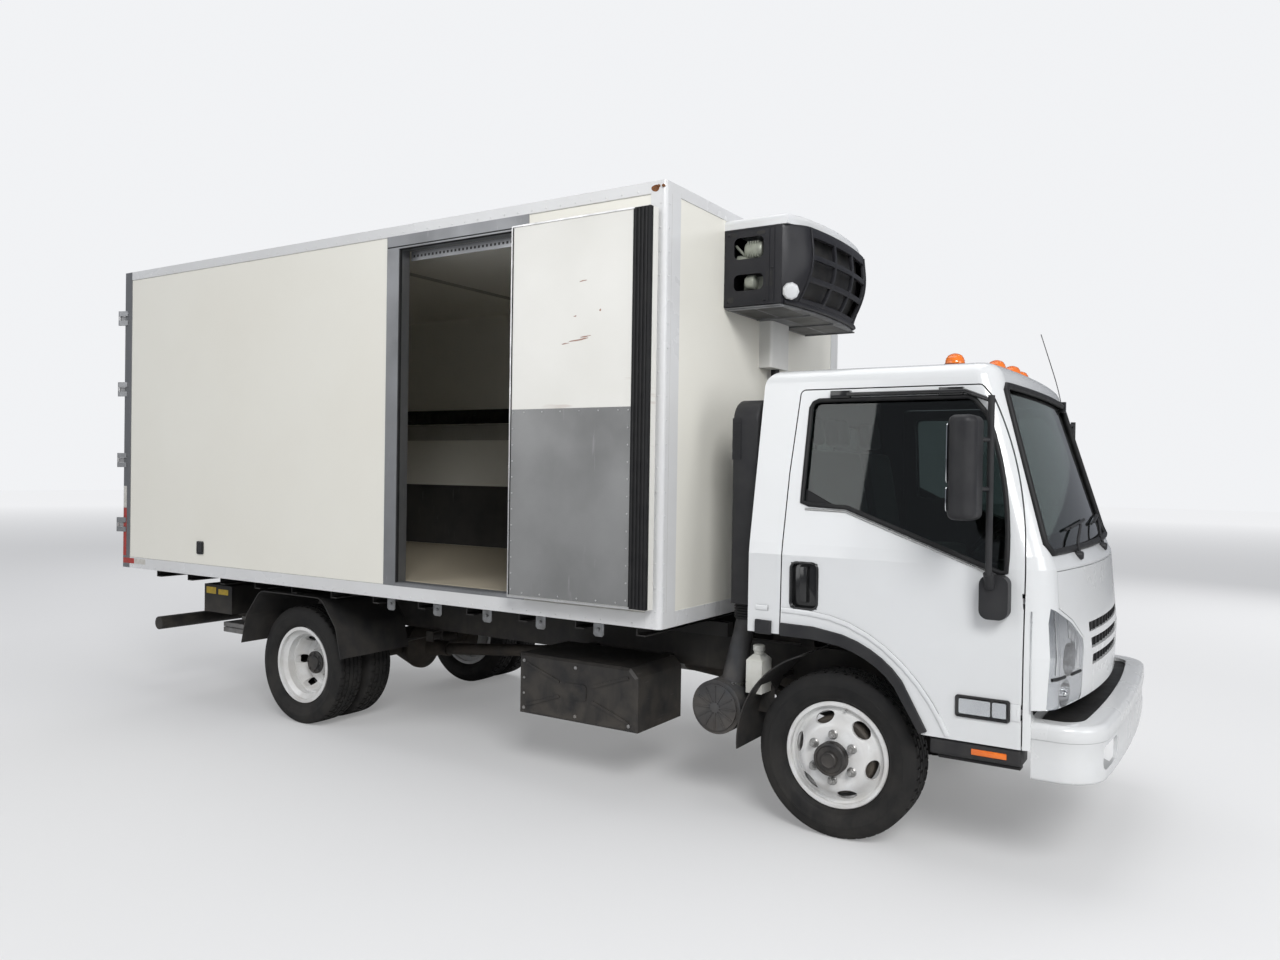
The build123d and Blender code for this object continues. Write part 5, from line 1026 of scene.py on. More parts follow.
# Wheel-arch flares and the raised crease above them
# A black moulded lip edges each front arch, wider over the wheel, and a pressed crease in the skin
# runs parallel to it. Both are cut where the door's rear edge passes.
arch_line = [
    (-0.384, 0.983), (-0.3, 0.983), (-0.2535, 0.983), (-0.248, 0.983), (-0.084, 0.982), (-0.02, 0.976),
    (0.05, 0.965), (0.12, 0.944), (0.18, 0.917), (0.23, 0.887), (0.276, 0.851), (0.318, 0.806),
    (0.355, 0.756), (0.381, 0.714), (0.402, 0.672), (0.425, 0.628), (0.437, 0.604)]
crease_line = [
    (-0.384, 1.092), (-0.32, 1.092), (-0.2535, 1.091), (-0.248, 1.091), (-0.1, 1.086), (0.0, 1.074),
    (0.09, 1.05), (0.18, 1.01), (0.26, 0.96), (0.34, 0.893), (0.41, 0.82), (0.47, 0.74), (0.515, 0.665),
    (0.545, 0.606)]
for side_name, side in SIDES:
    out = Vector((0, side, 0))
    for line, near_width, far_width, height, label, finish in (
            (arch_line, 0.066, 0.034, 0.016, "arch_flare", trim_black),
            (crease_line, 0.03, 0.024, 0.0065, "arch_crease", cab_paint)):
        widths = [near_width + (far_width - near_width) * k / (len(line) - 1) for k in range(len(line))]
        normals = []
        for k in range(len(line)):
            a, b = line[max(0, k - 1)], line[min(len(line) - 1, k + 1)]
            normals.append(Vector((a[1] - b[1], b[0] - a[0])).normalized())
        for body, node, first, last in (
                ("cab", "cab_shell", 0, 3), (f"{side_name}_cab_door", f"{side_name}_door", 3, len(line))):
            low, high = [], []
            for k in range(first, last):
                (x, z), width, normal = line[k], widths[k], normals[k]
                near = on_side(side, AXLE + x + normal.x * 0.004, z + normal.y * 0.004, [node])
                far = on_side(side, AXLE + x + normal.x * width, z + normal.y * width, [node])
                if near is None or far is None:
                    continue
                low.append(near - Vector((normal.x, 0, normal.y)) * (0.008 if label == "arch_flare" else 0))
                high.append(far)
            if len(low) > 1:
                piece = band(
                    f"{side_name}_{label}_{'cab' if body == 'cab' else 'door'}", low, high, height, out)
                if label == "arch_crease":
                    pressed(piece, (0, side, 0), inset=0.006)
                settled(
                    piece, finish, body, smooth=50)

# Side lamps, sill strips and their amber lamps
# Low on each door's nose a black bezel holds a clear lens in two parts over a bright bowl. A black
# moulded sill strip under the door carries a long amber lamp.


def laid(obj, side, names):
    """Lays a flat piece drawn about y 0, with its height as y, onto the cab's side, whose lean it takes."""
    low, high = on_side(side, AXLE + 0.65, 0.7, names), on_side(side, AXLE + 0.65, 0.82, names)
    for vertex in obj.data.vertices:
        vertex.co.y = low.y + side * vertex.co.y + (high.y - low.y) * (vertex.co.z - low.z) / (high.z - low.z)
    faced_out(obj)
    return obj


for side_name, side in SIDES:
    skin, leaf = [f"{side_name}_door"], f"{side_name}_cab_door"
    x0, x1, z0, z1 = AXLE + 0.604, AXLE + 0.812, 0.722, 0.796
    bezel = plate("bezel", rounded(x0 - 0.012, x1 + 0.012, z0 - 0.012, z1 + 0.012, 0.012), "Y", 0.0, 0.009)
    pressed(bezel, (0, 1, 0), inset=0.011, shift=(0, -0.005, 0))
    settled(laid(bezel, side, skin), gloss_black, leaf, smooth=40)
    bowls, lenses = [], []
    for a, b in ((x0 + 0.004, x0 + 0.138), (x0 + 0.146, x1 - 0.004)):
        bowls.append(plate("bowl", rounded(a, b, z0 + 0.004, z1 - 0.004, 0.006), "Y", 0.004, 0.0015))
        lenses.append(plate("lens", rounded(a, b, z0 + 0.003, z1 - 0.003, 0.008), "Y", 0.0065, 0.0045))
    settled(
        laid(joined(f"{side_name}_side_lamp_bowl", bowls), side, skin), chrome, leaf,
        smooth=40)
    settled(
        laid(joined(f"{side_name}_side_lamp_lens", lenses), side, skin), lamp_lens, leaf, smooth=40)
    plug = slab(
        f"{side_name}_hinge_cover", (AXLE + 0.798, side * 1.024, 0.722), (AXLE + 0.866, side * 1.0275, 0.797))
    settled(plug, cab_paint, leaf, bevel=0.0015)
    strip = slab("strip", (AXLE + 0.475, side * 0.86, 0.52), (AXLE + 0.868, side * 1.000, 0.594))
    pressed(strip, (0, side, 0), inset=0.01, shift=(0, side * 0.008, 0))
    bar = slab("bar", (AXLE + 0.5, side * 0.9, 0.492), (AXLE + 0.858, side * 0.955, 0.508))
    stays = [
        slab("stay", (AXLE + x, side * 0.88, 0.5), (AXLE + x + 0.03, side * 0.94, 0.6)) for x in (0.52, 0.8)]
    settled(
        joined(f"{side_name}_sill_strip", [strip, bar, *stays]), trim_black, "cab",
        bevel=0.006)
    marker = slab(
        f"{side_name}_sill_lamp", (AXLE + 0.655, side * 0.99, 0.54), (AXLE + 0.812, side * 1.014, 0.574))
    pressed(marker, (0, side, 0), grow=(0.94, 1, 0.72))
    settled(marker, amber_lens, "cab", bevel=0.004)

# Air intake
# A moulded column stands behind the cab and turns inwards at its top. It has a louvred grille on its
# outer side, a corrugated rubber sleeve on its foot and two brackets to the cab's rear wall.
INTAKE_X, INTAKE_Y, BEND_HEIGHT, BEND_RADIUS = 1.7425, -0.8375, 2.04, 0.07


def intake_station(lean, y, z):
    """One outline of the column, leaning inwards by an angle from upright."""
    out = Vector((0, -cos(lean), sin(lean)))
    return [Vector((INTAKE_X + u, y, z)) + out * v for u, v in rounded(-0.075, 0.075, -0.0475, 0.0475, 0.018)]


stations = [intake_station(0, INTAKE_Y, z) for z in (1.092, 1.3, 1.5, 1.7, 1.9, 2.00)]
for lean in [radians(10 * k) for k in range(10)]:
    stations.append(
        intake_station(lean, INTAKE_Y + BEND_RADIUS * (1 - cos(lean)), BEND_HEIGHT + BEND_RADIUS * sin(lean)))
stations.append(intake_station(pi / 2, -0.697, BEND_HEIGHT + BEND_RADIUS))
column = skinned("column", stations)
grille = [slab("frame", (1.67, -0.8865, 1.842), (1.722, -0.884, 2.058))]
grille += [
    slab("louvre", (1.673, -0.89, 1.848 + 0.0146 * k), (1.719, -0.885, 1.8545 + 0.0146 * k))
    for k in range(14)]
grille += [slab("bracket", (1.8, -0.82, z - 0.015), (1.845, -0.76, z + 0.015)) for z in (1.3, 1.95)]
intake = settled(joined("air_intake", [column, *grille]), trim_black, "cab", smooth=42)
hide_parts("snorkel")
sleeve_line = [(0.05, 1.006), (0.058, 1.006)]
for k in range(6):
    sleeve_line += [
        (0.058, 1.01 + 0.014 * k), (0.064, 1.013 + 0.014 * k), (0.064, 1.019 + 0.014 * k),
        (0.058, 1.022 + 0.014 * k)]
sleeve_line += [(0.058, 1.094), (0.05, 1.094)]
settled(
    turned("intake_sleeve", sleeve_line, (INTAKE_X - 0.0225, -0.79, 0), "Z", 40), rubber, "cab",
    smooth=50)

# Roof lamps
# Five ribbed amber domes on low black bases, two at the front corners of the roof and three between.
for number, (x, y) in enumerate(((0.47, -0.66), (0.585, -0.3), (0.6, 0.0), (0.585, 0.3), (0.47, 0.66))):
    top = struck(["cab_shell"], (AXLE + x, y, 3.0), (0, 0, -1)).z
    base = turned(
        f"roof_lamp_base_{number + 1}", [(0.0, -0.008), (0.06, -0.008), (0.06, 0.006), (0.05, 0.014),
        (0.0, 0.014)], (AXLE + x, y, top), "Z", 32)
    settled(base, gloss_black, "cab", smooth=40)
    dome_line = [
        (0.0, 0.012), (0.046, 0.012), (0.046, 0.018), (0.044, 0.026), (0.0455, 0.029), (0.041, 0.038),
        (0.0415, 0.041), (0.034, 0.05), (0.034, 0.053), (0.022, 0.06), (0.01, 0.064), (0.0, 0.065)]
    dome = turned(f"roof_lamp_{number + 1}", dome_line, (AXLE + x, y, top), "Z", 32)
    settled(dome, amber_lens, "cab", smooth=25)

# Antenna
# A thin black whip on a small block at the left front corner of the roof.
foot = struck(["cab_shell"], (AXLE + 0.735, 2.0, 2.19), (0, -1, 0))
whip = [
    foot, foot + Vector((-0.02, 0.012, 0.1)), foot + Vector((-0.075, 0.014, 0.28)),
    foot + Vector((-0.125, 0.014, 0.44))]
mount = slab(
    "mount", (foot.x - 0.022, foot.y - 0.012, foot.z - 0.035),
    (foot.x + 0.022, foot.y + 0.018, foot.z + 0.03))
settled(
    joined("antenna", [tube("whip", whip, 0.0028, 8), mount]), gloss_black, "cab", smooth=60,
    bevel=0.002)

# Mirror stays and mirror glass
# The mirror arm's top end runs on as a flat bar along the top of the door, held by two pads. Each head
# holds a tall flat glass with a small wide-angle glass under it, facing back.
mirror_glass = finish_of(
    "mirror glass", (0.62, 0.64, 0.65), (0.6, 0.62, 0.63), (0.03, 0.05), metal=1.0, clouds=3)
for side_name, side in SIDES:
    skin = [f"{side_name}_door"]
    line = [on_side(side, AXLE + x, 2.162, skin, 0.02) for x in (0.02, 0.2, 0.4, 0.58)]
    line += [Vector((AXLE + 0.665, side * 0.905, 2.128)), Vector((AXLE + 0.715, side * 0.935, 2.108))]
    parts = [tube("bar", line, 0.011, 12, False)]
    for x0, x1 in ((-0.065, 0.035), (0.46, 0.57)):
        face = on_side(side, AXLE + (x0 + x1) / 2, 2.165, skin).y
        parts.append(
            slab("pad", (AXLE + x0, face - side * 0.012, 2.146), (AXLE + x1, face + side * 0.024, 2.182)))
    settled(
        joined(f"{side_name}_mirror_stay", parts), gloss_black, f"{side_name}_cab_door",
        smooth=60, bevel=0.004)
    back = AXLE + 0.668 - 0.06
    glasses = []
    for low, high in ((1.745, 1.995), (1.625, 1.728)):
        near, far = sorted((side * 1.165, side * 1.315))
        glasses.append(plate("pane", rounded(near, far, low, high, 0.018), "X", back + 0.002, -0.004))
    settled(
        joined(f"{side_name}_mirror_glass", glasses), mirror_glass, f"{side_name}_cab_door",
        smooth=30)

# Grille and headlamps
# Behind the nose panel's slots stands a black moulded grid with upright ribs, closed by a black backing
# that paints the shade inside the slots. Each headlamp has fluted upper optics over a deep round
# reflector with its bulb, split by a thin bar.
parts = []


def nose_bow(y):
    """How far ahead of the axle the nose panel's skin lies at y."""
    return AXLE + 1.1 - 0.112 * y * y


# Painted shade: each slot is closed from behind by a black plate that stands for the shade inside it.
for z, half_width, half_height in ((0.93, 0.47, 0.024), (1.01, 0.5, 0.024), (1.086, 0.52, 0.022)):
    across = [half_width * (k / 8 - 1) for k in range(17)]
    outline = [(nose_bow(y) - 0.014, y) for y in across] + [
        (nose_bow(y) - 0.022, y) for y in reversed(across)]
    parts.append(plate("slot_shade_backing", outline, "Z", z - half_height + 0.001, 2 * half_height - 0.002))
    for number in range(13):
        y = -half_width + 2 * half_width * (number + 0.5) / 13
        parts.append(
            slab("rib", (nose_bow(y) - 0.016, y - 0.004, z - half_height + 0.001),
            (nose_bow(y) - 0.008, y + 0.004, z + half_height - 0.001)))
settled(joined("grille_grid_and_slot_shade", parts), rubber, "cab", smooth=30)
for side_name, side in SIDES:
    flutes = []
    for number in range(15):
        y = 0.7 + number * 0.017
        low, high = 0.925, min(1.195, 1.046 + (y - 0.628) * 0.64 - 0.012)
        line = [on_nose(side * y, low + (high - low) * k / 6, ["lamp_bowls"], 0.002) for k in range(7)]
        if all(point is not None for point in line):
            line = [point for point in line if point.x > line[0].x - 0.06]
            flutes.append(tube("flute", line, 0.0065, 8, False))
    flutes = joined(f"{side_name}_lamp_flutes", flutes)
    settled(flutes, chrome, "cab", smooth=60)
    bulb = turned(
        f"{side_name}_lamp_bulb", [(0.0, 0.0), (0.03, 0.0), (0.03, 0.02), (0.016, 0.034), (0.014, 0.06),
        (0.0, 0.07)], (AXLE + 0.955, side * 0.84, 0.83), "X", 24)
    settled(bulb, chrome, "cab", smooth=50)
    divider = [on_nose(side * (0.655 + 0.305 * k / 8), 0.905, ["lamp_bowls"], 0.003) for k in range(9)]
    divider = [point for point in divider if point is not None]
    settled(
        tube(f"{side_name}_lamp_divider", divider, 0.008, 8, False), trim_black, "cab",
        smooth=60)
    wing = [
        on_side(side, AXLE + 0.902, z, ["headlamps", "cab_shell"], 0.001)
        for z in (0.76, 0.85, 0.95, 1.05, 1.15, 1.2)]
    settled(tube(f"{side_name}_lamp_edge", wing, 0.004, 8, False), chrome, "cab", smooth=60)

# Bumper
# A deep moulded bar in the cab's white that wraps round both corners, with a shallow step along its
# upper band, a wide top flange, a lamp in a pocket at each side, and painted shade: a black board
# fills the recess behind the flange.
BUMPER_LOW, BUMPER_BAND, BUMPER_HIGH = 0.475, 0.652, 0.722
POCKET = (0.59, 0.86, 0.525, 0.63)


def bumper_path():
    """Plan points ahead of the axle from the right rear end to the left, each with its outward way."""
    half = [Vector((0.905, 1.004)), Vector((0.955, 1.004))]
    half += [
        Vector((1.000 + 0.19 * sin(a), 0.79 + 0.214 * cos(a))) for a in [radians(7.5 * k) for k in range(12)]]
    half += [Vector((1.22 - 0.0461 * y * y, y)) for y in (0.7, 0.58, 0.46, 0.34, 0.22, 0.1)]
    points = [Vector((p.x, -p.y)) for p in half] + list(reversed(half))
    made = []
    for number, point in enumerate(points):
        along = (points[min(number + 1, len(points) - 1)] - points[max(number - 1, 0)]).normalized()
        made.append((point, Vector((along.y, -along.x))))
    return made


def bumper_section():
    """The bar's section as (inset, height): lower lip, outer face, step, flange and inner side."""
    low = [
        (0.02 - 0.014 * sin(a), BUMPER_LOW + 0.014 - 0.014 * cos(a))
        for a in [radians(18 * k) for k in range(6)]]
    top = [(0.026 - 0.026 * cos(a), 0.696 + 0.026 * sin(a)) for a in [radians(15 * k) for k in range(7)]]
    step = [
        (0.006, 0.56), (0.006, BUMPER_BAND - 0.004), (0.0045, BUMPER_BAND - 0.001),
        (0.0015, BUMPER_BAND + 0.001), (0.0, BUMPER_BAND + 0.004)]
    back = [
        (0.06, BUMPER_HIGH), (0.092, BUMPER_HIGH), (0.095, 0.719), (0.095, 0.702), (0.026, 0.7),
        (0.022, 0.694), (0.022, 0.476)]
    return low + step + top + back


stations = [
    [(AXLE + p.x - out.x * inset, p.y - out.y * inset, height) for inset, height in bumper_section()]
    for p, out in bumper_path()]
bar = skinned("bumper_bar", stations)
for side in (1, -1):
    ya, yb, za, zb = POCKET
    rim = [(AXLE + 1.102, side * y) for y in (ya - 0.008, yb + 0.008)]
    front = [(AXLE + p.x - 0.012, p.y) for p, out in bumper_path() if ya - 0.01 < side * p.y < yb + 0.01]
    rim += sorted(front, key=lambda point: -side * point[1])
    combined(bar, plate("wall", rim, "Z", za - 0.008, zb - za + 0.016), "UNION")
    pocket = rounded(*sorted((side * ya, side * yb)), za, zb, 0.03)
    combined(bar, plate("pocket", pocket, "X", AXLE + 1.11, 0.15), "DIFFERENCE")
settled(bar, nose_paint, "truck", smooth=38)
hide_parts("front_bumper")
# Painted shade: a black board closes the recess behind the bumper's flange, where only shade falls.
recess_shade_front = [(AXLE + p.x - out.x * 0.08, p.y - out.y * 0.08) for p, out in bumper_path() if abs(p.y) < 0.97]
board = plate(
    "bumper_recess_shade", recess_shade_front + [(AXLE + 0.915, recess_shade_front[-1][1]), (AXLE + 0.915, recess_shade_front[0][1])],
    "Z", 0.684, 0.015)
settled(board, rubber, "truck", smooth=30, bevel=0.002)
for side_name, side in SIDES:
    bowl = turned(
        f"{side_name}_fog_lamp", [(0.0, -0.006), (0.044, -0.006), (0.047, 0.004), (0.04, 0.01),
        (0.034, 0.004), (0.0, 0.0)], (AXLE + 1.113, side * 0.725, 0.578), "X", 32)
    settled(bowl, chrome, "truck", smooth=40)

# Seats
# A driver's seat and a double seat, upholstered in dark grey cloth over foam, with a seam round each
# cushion and stitched channels down the middle. Each cushion is remeshed evenly, swelled and seamed.
seat_cloth = finish_of(
    "seat cloth", (0.05, 0.051, 0.055), (0.075, 0.075, 0.08), (0.85, 0.95), clouds=60,
    dirt=((0.15, 0.14, 0.12), 0.1, 0.2, 0.9), wave=(90, 0.1, 900, 0.6, 0.0012))
seat_cloth.node_tree.nodes["Principled BSDF"].inputs["Sheen Weight"].default_value = 0.25
seat_base = finish_of(
    "seat base", (0.03, 0.03, 0.032), (0.04, 0.04, 0.04), (0.5, 0.65), clouds=8,
    dirt=(ROAD_DUST, 0.2, 0.2, 0.9), wave=(12, 0.05, 700, 0.4, 0.0008))


def cushion(name, size, middle, lean, channels):
    """A stuffed cushion: a block of foam with rounded edges, swelled by subdivision, with sunk seams."""
    obj = slab(name, [-s / 2 for s in size], [s / 2 for s in size])
    applied(obj, "BEVEL", width=min(size) * 0.3, segments=4)
    applied(obj, "REMESH", mode="VOXEL", voxel_size=0.012)
    half = [s / 2 for s in size]
    for vertex in obj.data.vertices:
        u, v = vertex.co.x / half[0], vertex.co.y / half[1]
        swell = (1 - u ** 4) * (1 - v ** 4)
        rise = 0.014 * swell
        for line in channels:
            rise -= 0.01 * exp(-((vertex.co.y - line) / 0.009) ** 2) * swell
        rim = max(abs(u), abs(v))
        rise -= 0.006 * exp(-((rim - 0.86) / 0.022) ** 2)
        if vertex.co.z > 0:
            vertex.co.z += rise
    applied(obj, "SMOOTH", iterations=3)
    obj.rotation_euler = (0, lean, 0)
    obj.location = middle
    return obj


seat_x, floor_z = AXLE - 0.29, 1.045
base_pieces = []
for label, y, width, channels in (
    ("driver", 0.44, 0.5, (-0.13, 0.13)), ("passenger", -0.3, 0.86, (-0.3, -0.13, 0.0, 0.13, 0.3)),
):
    squab = cushion(
        f"{label}_seat_squab", (0.46, width - 0.01, 0.115), (seat_x + 0.29, y, floor_z + 0.252), radians(-3),
        channels)
    back = cushion(
        f"{label}_seat_back", (0.6, width - 0.01, 0.115), (seat_x + 0.02, y, floor_z + 0.56), radians(-100.5),
        channels)
    for piece in (squab, back):
        settled(piece, seat_cloth, "cab", smooth=180)
    pan = slab(
        "pan", (seat_x + 0.045, y - width / 2 + 0.045, floor_z + 0.004),
        (seat_x + 0.455, y + width / 2 - 0.045, floor_z + 0.196))
    pressed(pan, (1, 0, 0), inset=0.03, shift=(-0.012, 0, 0))
    base_pieces.append(pan)
for number, y in enumerate((0.44, -0.11, -0.5)):
    rest = cushion(
        f"head_rest_{number + 1}", (0.155, 0.235, 0.07), (seat_x - 0.034, y, floor_z + 0.962), radians(-97),
        [])
    settled(rest, seat_cloth, "cab", smooth=180)
    for post in (-0.06, 0.06):
        base_pieces.append(
            tube("post", [(seat_x - 0.03, y + post, floor_z + 0.8),
            (seat_x - 0.032, y + post, floor_z + 0.93)], 0.006, 10))
seat_frame = joined("seat_bases", base_pieces)
settled(seat_frame, seat_base, "cab", smooth=40, bevel=0.006)
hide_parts("seats")

# Dashboard and steering wheel
# Moulded dark grey plastic, with a hood over the instruments, a radio and five slatted vents. The
# wheel is grained black with a padded centre, between two stalks, and the gear lever stands beside it.
dash_grey = finish_of(
    "dashboard grey", (0.048, 0.049, 0.052), (0.06, 0.06, 0.062), (0.6, 0.72), clouds=7,
    dirt=((0.2, 0.18, 0.15), 0.15, 0.3, 1.0), wave=(10, 0.05, 700, 0.6, 0.0008))
paint(dash_grey, "dashboard")
paint(trim_black, "steering_wheel")
hood = slab("hood", (AXLE + 0.6, 0.255, 1.33), (AXLE + 0.77, 0.625, 1.44))
pressed(hood, (0, 0, 1), grow=(0.7, 0.86, 1), shift=(0.01, 0, 0.012))
pressed(hood, (-1, 0, 0), inset=0.016, shift=(0.022, 0, -0.002), least=0.7)
parts = [hood, slab("radio", (AXLE + 0.622, -0.09, 1.225), (AXLE + 0.66, 0.11, 1.325))]
for y in (-0.8, -0.56, -0.2, 0.18, 0.76):
    parts.append(slab("vent", (AXLE + 0.65, y - 0.065, 1.31), (AXLE + 0.7, y + 0.065, 1.375)))
    for k in range(4):
        parts.append(
            slab("slat", (AXLE + 0.644, y - 0.055, 1.32 + k * 0.014),
            (AXLE + 0.652, y + 0.055, 1.324 + k * 0.014)))
settled(joined("dash_details", parts), trim_black, "cab", smooth=35, bevel=0.004)
axis_way = (Vector((0.47, 0, 1.47)) - Vector((0.66, 0, 1.26))).normalized()
pad = slab("wheel_pad", (-0.055, -0.085, -0.006), (0.055, 0.085, 0.024))
pad.rotation_euler = axis_way.to_track_quat("Z", "X").to_euler()
pad.location = Vector((AXLE + 0.47, 0.44, 1.47)) + axis_way * 0.018
settled(pad, trim_black, "cab", smooth=40, bevel=0.01)
stalks = [
    tube("stalk", [(AXLE + 0.5, 0.44, 1.43), (AXLE + 0.485, 0.44 + way * 0.1, 1.438),
    (AXLE + 0.475, 0.44 + way * 0.17, 1.452)], 0.007, 8) for way in (1, -1)]
lever = tube(
    "lever", [(AXLE + 0.61, 0.1, 1.16), (AXLE + 0.52, 0.1, 1.24), (AXLE + 0.505, 0.1, 1.3)], 0.01, 10)
knob = turned(
    "knob", [(0.0, -0.02), (0.018, -0.02), (0.023, 0.0), (0.018, 0.022), (0.0, 0.026)],
    (AXLE + 0.503, 0.1, 1.315), "Z", 24)
settled(joined("column_stalks", [*stalks, lever, knob]), trim_black, "cab", smooth=60)

# Body panels
# Insulated panels skinned in cream-white glass-reinforced plastic, slightly wavy, weathered and
# streaked. The load floor is a scratched, sandy screed over near-black beams.
PANEL_WHITE = (0.8, 0.785, 0.715)
panel_skin = finish_of(
    "panel cream", PANEL_WHITE, (0.77, 0.75, 0.675), (0.3, 0.42), coat=0.08, clouds=0.9,
    dirt=((0.5, 0.45, 0.36), 0.14, 0.4, 1.05), wave=(2.2, 0.1, 300, 0.03, 0.003))
paint(panel_skin, "box_left_wall", "box_right_wall", "box_front_wall", "box_roof")
floor_screed = finish_of(
    "load floor", (0.44, 0.39, 0.3), (0.36, 0.32, 0.25), (0.55, 0.75), clouds=5,
    dirt=((0.16, 0.13, 0.1), 0.55, 0.35, 0.9), scratched=((0.55, 0.52, 0.46), 0.5, 6.0, (1, 12, 12)),
    wave=(3, 0.1, 260, 0.5, 0.002))
lined(floor_screed, (0, 0, 1.16), (0.44, 0.39, 0.3), 0.65)
turned_to(floor_screed, under(floor_screed, "Z", 1.06), (0.035, 0.033, 0.031), 0.65)
paint(floor_screed, "box_floor")

# Rails and corner posts
# Extruded aluminium sections enamelled white, riveted along both edges, with a sealant line against the
# panels. Two bolts at the right top front corner have bled rust.
rail_enamel = finish_of(
    "rail white", (0.68, 0.685, 0.69), (0.63, 0.63, 0.625), (0.24, 0.36), coat=0.3, clouds=1.6,
    dirt=((0.36, 0.33, 0.28), 0.22, 0.3, 1.0), rusty=(0.03, 5), wave=(3, 0.04, 500, 0.03, 0.002))
paint(rail_enamel, "box_rails")
sealant = finish_of(
    "sealant", (0.52, 0.52, 0.5), (0.44, 0.43, 0.4), (0.5, 0.65), clouds=20,
    dirt=((0.2, 0.18, 0.15), 0.4, 0.3, 0.9))
rusty_steel = finish_of(
    "rusty bolt", (0.2, 0.09, 0.04), (0.11, 0.06, 0.035), (0.8, 0.92), metal=0.2, clouds=60, rusty=(0.8, 40),
    wave=(60, 0.2, 500, 0.5, 0.001))
RAIL_FACE, PANEL_FACE, RAIL_RIVET = 1.219, 1.2155, 0.0042
for side_name, side in SIDES:
    facing = "Y" if side > 0 else "-Y"
    heads = []
    for z in (0.99, 3.206):
        head = rivet("head", (-3.3, side * RAIL_FACE, z), RAIL_RIVET, 0.0026, facing, 8)
        heads.append(row(head, 47, (0.0995, 0, 0)))
    post_heads = rivet("head", (1.413, side * RAIL_FACE, 1.06), RAIL_RIVET, 0.0026, facing, 8)
    heads.append(row(post_heads, 18, (0, 0, 0.122)))
    front_heads = rivet("head", (1.445, side * 1.185, 1.06), RAIL_RIVET, 0.0026, "X", 8)
    heads.append(row(front_heads, 18, (0, 0, 0.122)))
    settled(joined(f"{side_name}_rail_rivets", heads), rail_enamel, "truck", smooth=50)
    lines = [((-3.35, side * PANEL_FACE, z), (1.385, side * PANEL_FACE, z)) for z in (1.0515, 3.1885)]
    lines += [((x, y, 1.05), (x, y, 3.19)) for x, y in ((1.442, side * 1.158), (1.3855, side * PANEL_FACE))]
    beads = [tube("bead", ends, 0.0035, 8, False) for ends in lines]
    settled(joined(f"{side_name}_rail_sealant", beads), sealant, "truck", smooth=60)
corner_bolts = [
    rivet("bolt", (1.418 + x, -RAIL_FACE, 3.222 + z), 0.008, 0.006, "-Y", 6)
    for x, z in ((-0.016, 0.0), (0.01, -0.002))]
settled(joined("corner_bolts", corner_bolts), rusty_steel, "truck", smooth=30)

# Rust bleeding round the corner bolts
stain = [
    (1.386 + 0.022 * cos(a) * (1.4 if cos(a) < 0 else 0.8),
    3.216 + 0.014 * sin(a) * (1.0 if sin(a) > 0 else 1.5)) for a in round_angles(18)]
mark = plate("corner_stain", stain, "Y", -1.2192, -0.0006)
settled(mark, rusty_steel, "truck", smooth=30)

# Load space lining
# A black slotted cargo track and a pale scuff strip run along both walls, dark kick plates stand below,
# and a cover strip hides the joint in the ceiling panels. Wire rings guard the evaporator's fans.
kick_dark = finish_of(
    "kick plate", (0.06, 0.06, 0.062), (0.09, 0.088, 0.085), (0.4, 0.55), metal=0.3, clouds=4,
    dirt=((0.22, 0.19, 0.15), 0.35, 0.3, 0.9), scratched=((0.22, 0.22, 0.22), 0.7, 7.0, (14, 14, 1)),
    wave=(4, 0.1, 300, 0.1, 0.002))
track_black = finish_of(
    "track black", (0.02, 0.02, 0.021), (0.04, 0.038, 0.036), (0.4, 0.55), metal=0.4, clouds=8,
    scratched=((0.25, 0.25, 0.25), 0.6, 12.0, (1, 14, 14)), dirt=(ROAD_DUST, 0.2, 0.3, 0.9))
scuff_strip = finish_of(
    "scuff strip", (0.42, 0.41, 0.38), (0.36, 0.35, 0.32), (0.5, 0.62), clouds=5,
    dirt=((0.16, 0.14, 0.12), 0.4, 0.3, 0.9), scratched=((0.12, 0.12, 0.12), 0.6, 6.0, (1, 14, 14)))
WALL_INNER = 1.1298             # the side walls' inner skin from the truck's middle plane
wall_runs = {1: ((-3.345, 1.345),), -1: ((-3.345, -0.565), (0.575, 1.345))}
for side_name, side in SIDES:
    tracks, strips, kicks = [], [], []
    for x0, x1 in wall_runs[side]:
        rail = slab("rail", (x0, side * WALL_INNER, 2.18), (x1, side * 1.116, 2.305))
        pressed(rail, (0, -side, 0), inset=0.022, shift=(0, side * 0.006, 0))
        tracks.append(rail)
        count = int((x1 - x0 - 0.08) / 0.1)
        post = slab("post", (x0 + 0.05, side * 1.124, 2.206), (x0 + 0.078, side * 1.115, 2.279))
        tracks.append(row(post, count, (0.1, 0, 0)))
        strips.append(slab("strip", (x0, side * WALL_INNER, 2.03), (x1, side * 1.125, 2.172)))
        kicks.append(slab("kick", (x0, side * WALL_INNER, 1.078), (x1, side * 1.1262, 1.62)))
    settled(joined(f"{side_name}_cargo_track", tracks), track_black, "truck", smooth=30)
    settled(
        joined(f"{side_name}_scuff_strip", strips), scuff_strip, "truck", smooth=30,
        bevel=0.0015, segments=1)
    settled(joined(f"{side_name}_kick_plate", kicks), kick_dark, "truck", smooth=30)
front_kick = slab("front_kick_plate", (1.3548, -1.12, 1.078), (1.3512, 1.12, 1.62))
settled(front_kick, kick_dark, "truck", smooth=30)
strip = slab("ceiling_joint", (-1.06, -1.125, 3.1298), (-0.99, 1.125, 3.126))
settled(strip, scuff_strip, "truck", smooth=30, bevel=0.0015, segments=1)
casing_grey = finish_of(
    "evaporator casing", (0.52, 0.53, 0.54), (0.46, 0.465, 0.47), (0.4, 0.5), metal=0.3, clouds=5,
    dirt=((0.2, 0.18, 0.15), 0.2, 0.3, 0.9))
paint(casing_grey, "evaporator")
guards = []
guard_x, guard_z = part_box("evaporator")[0][0] - 0.001, 2.93
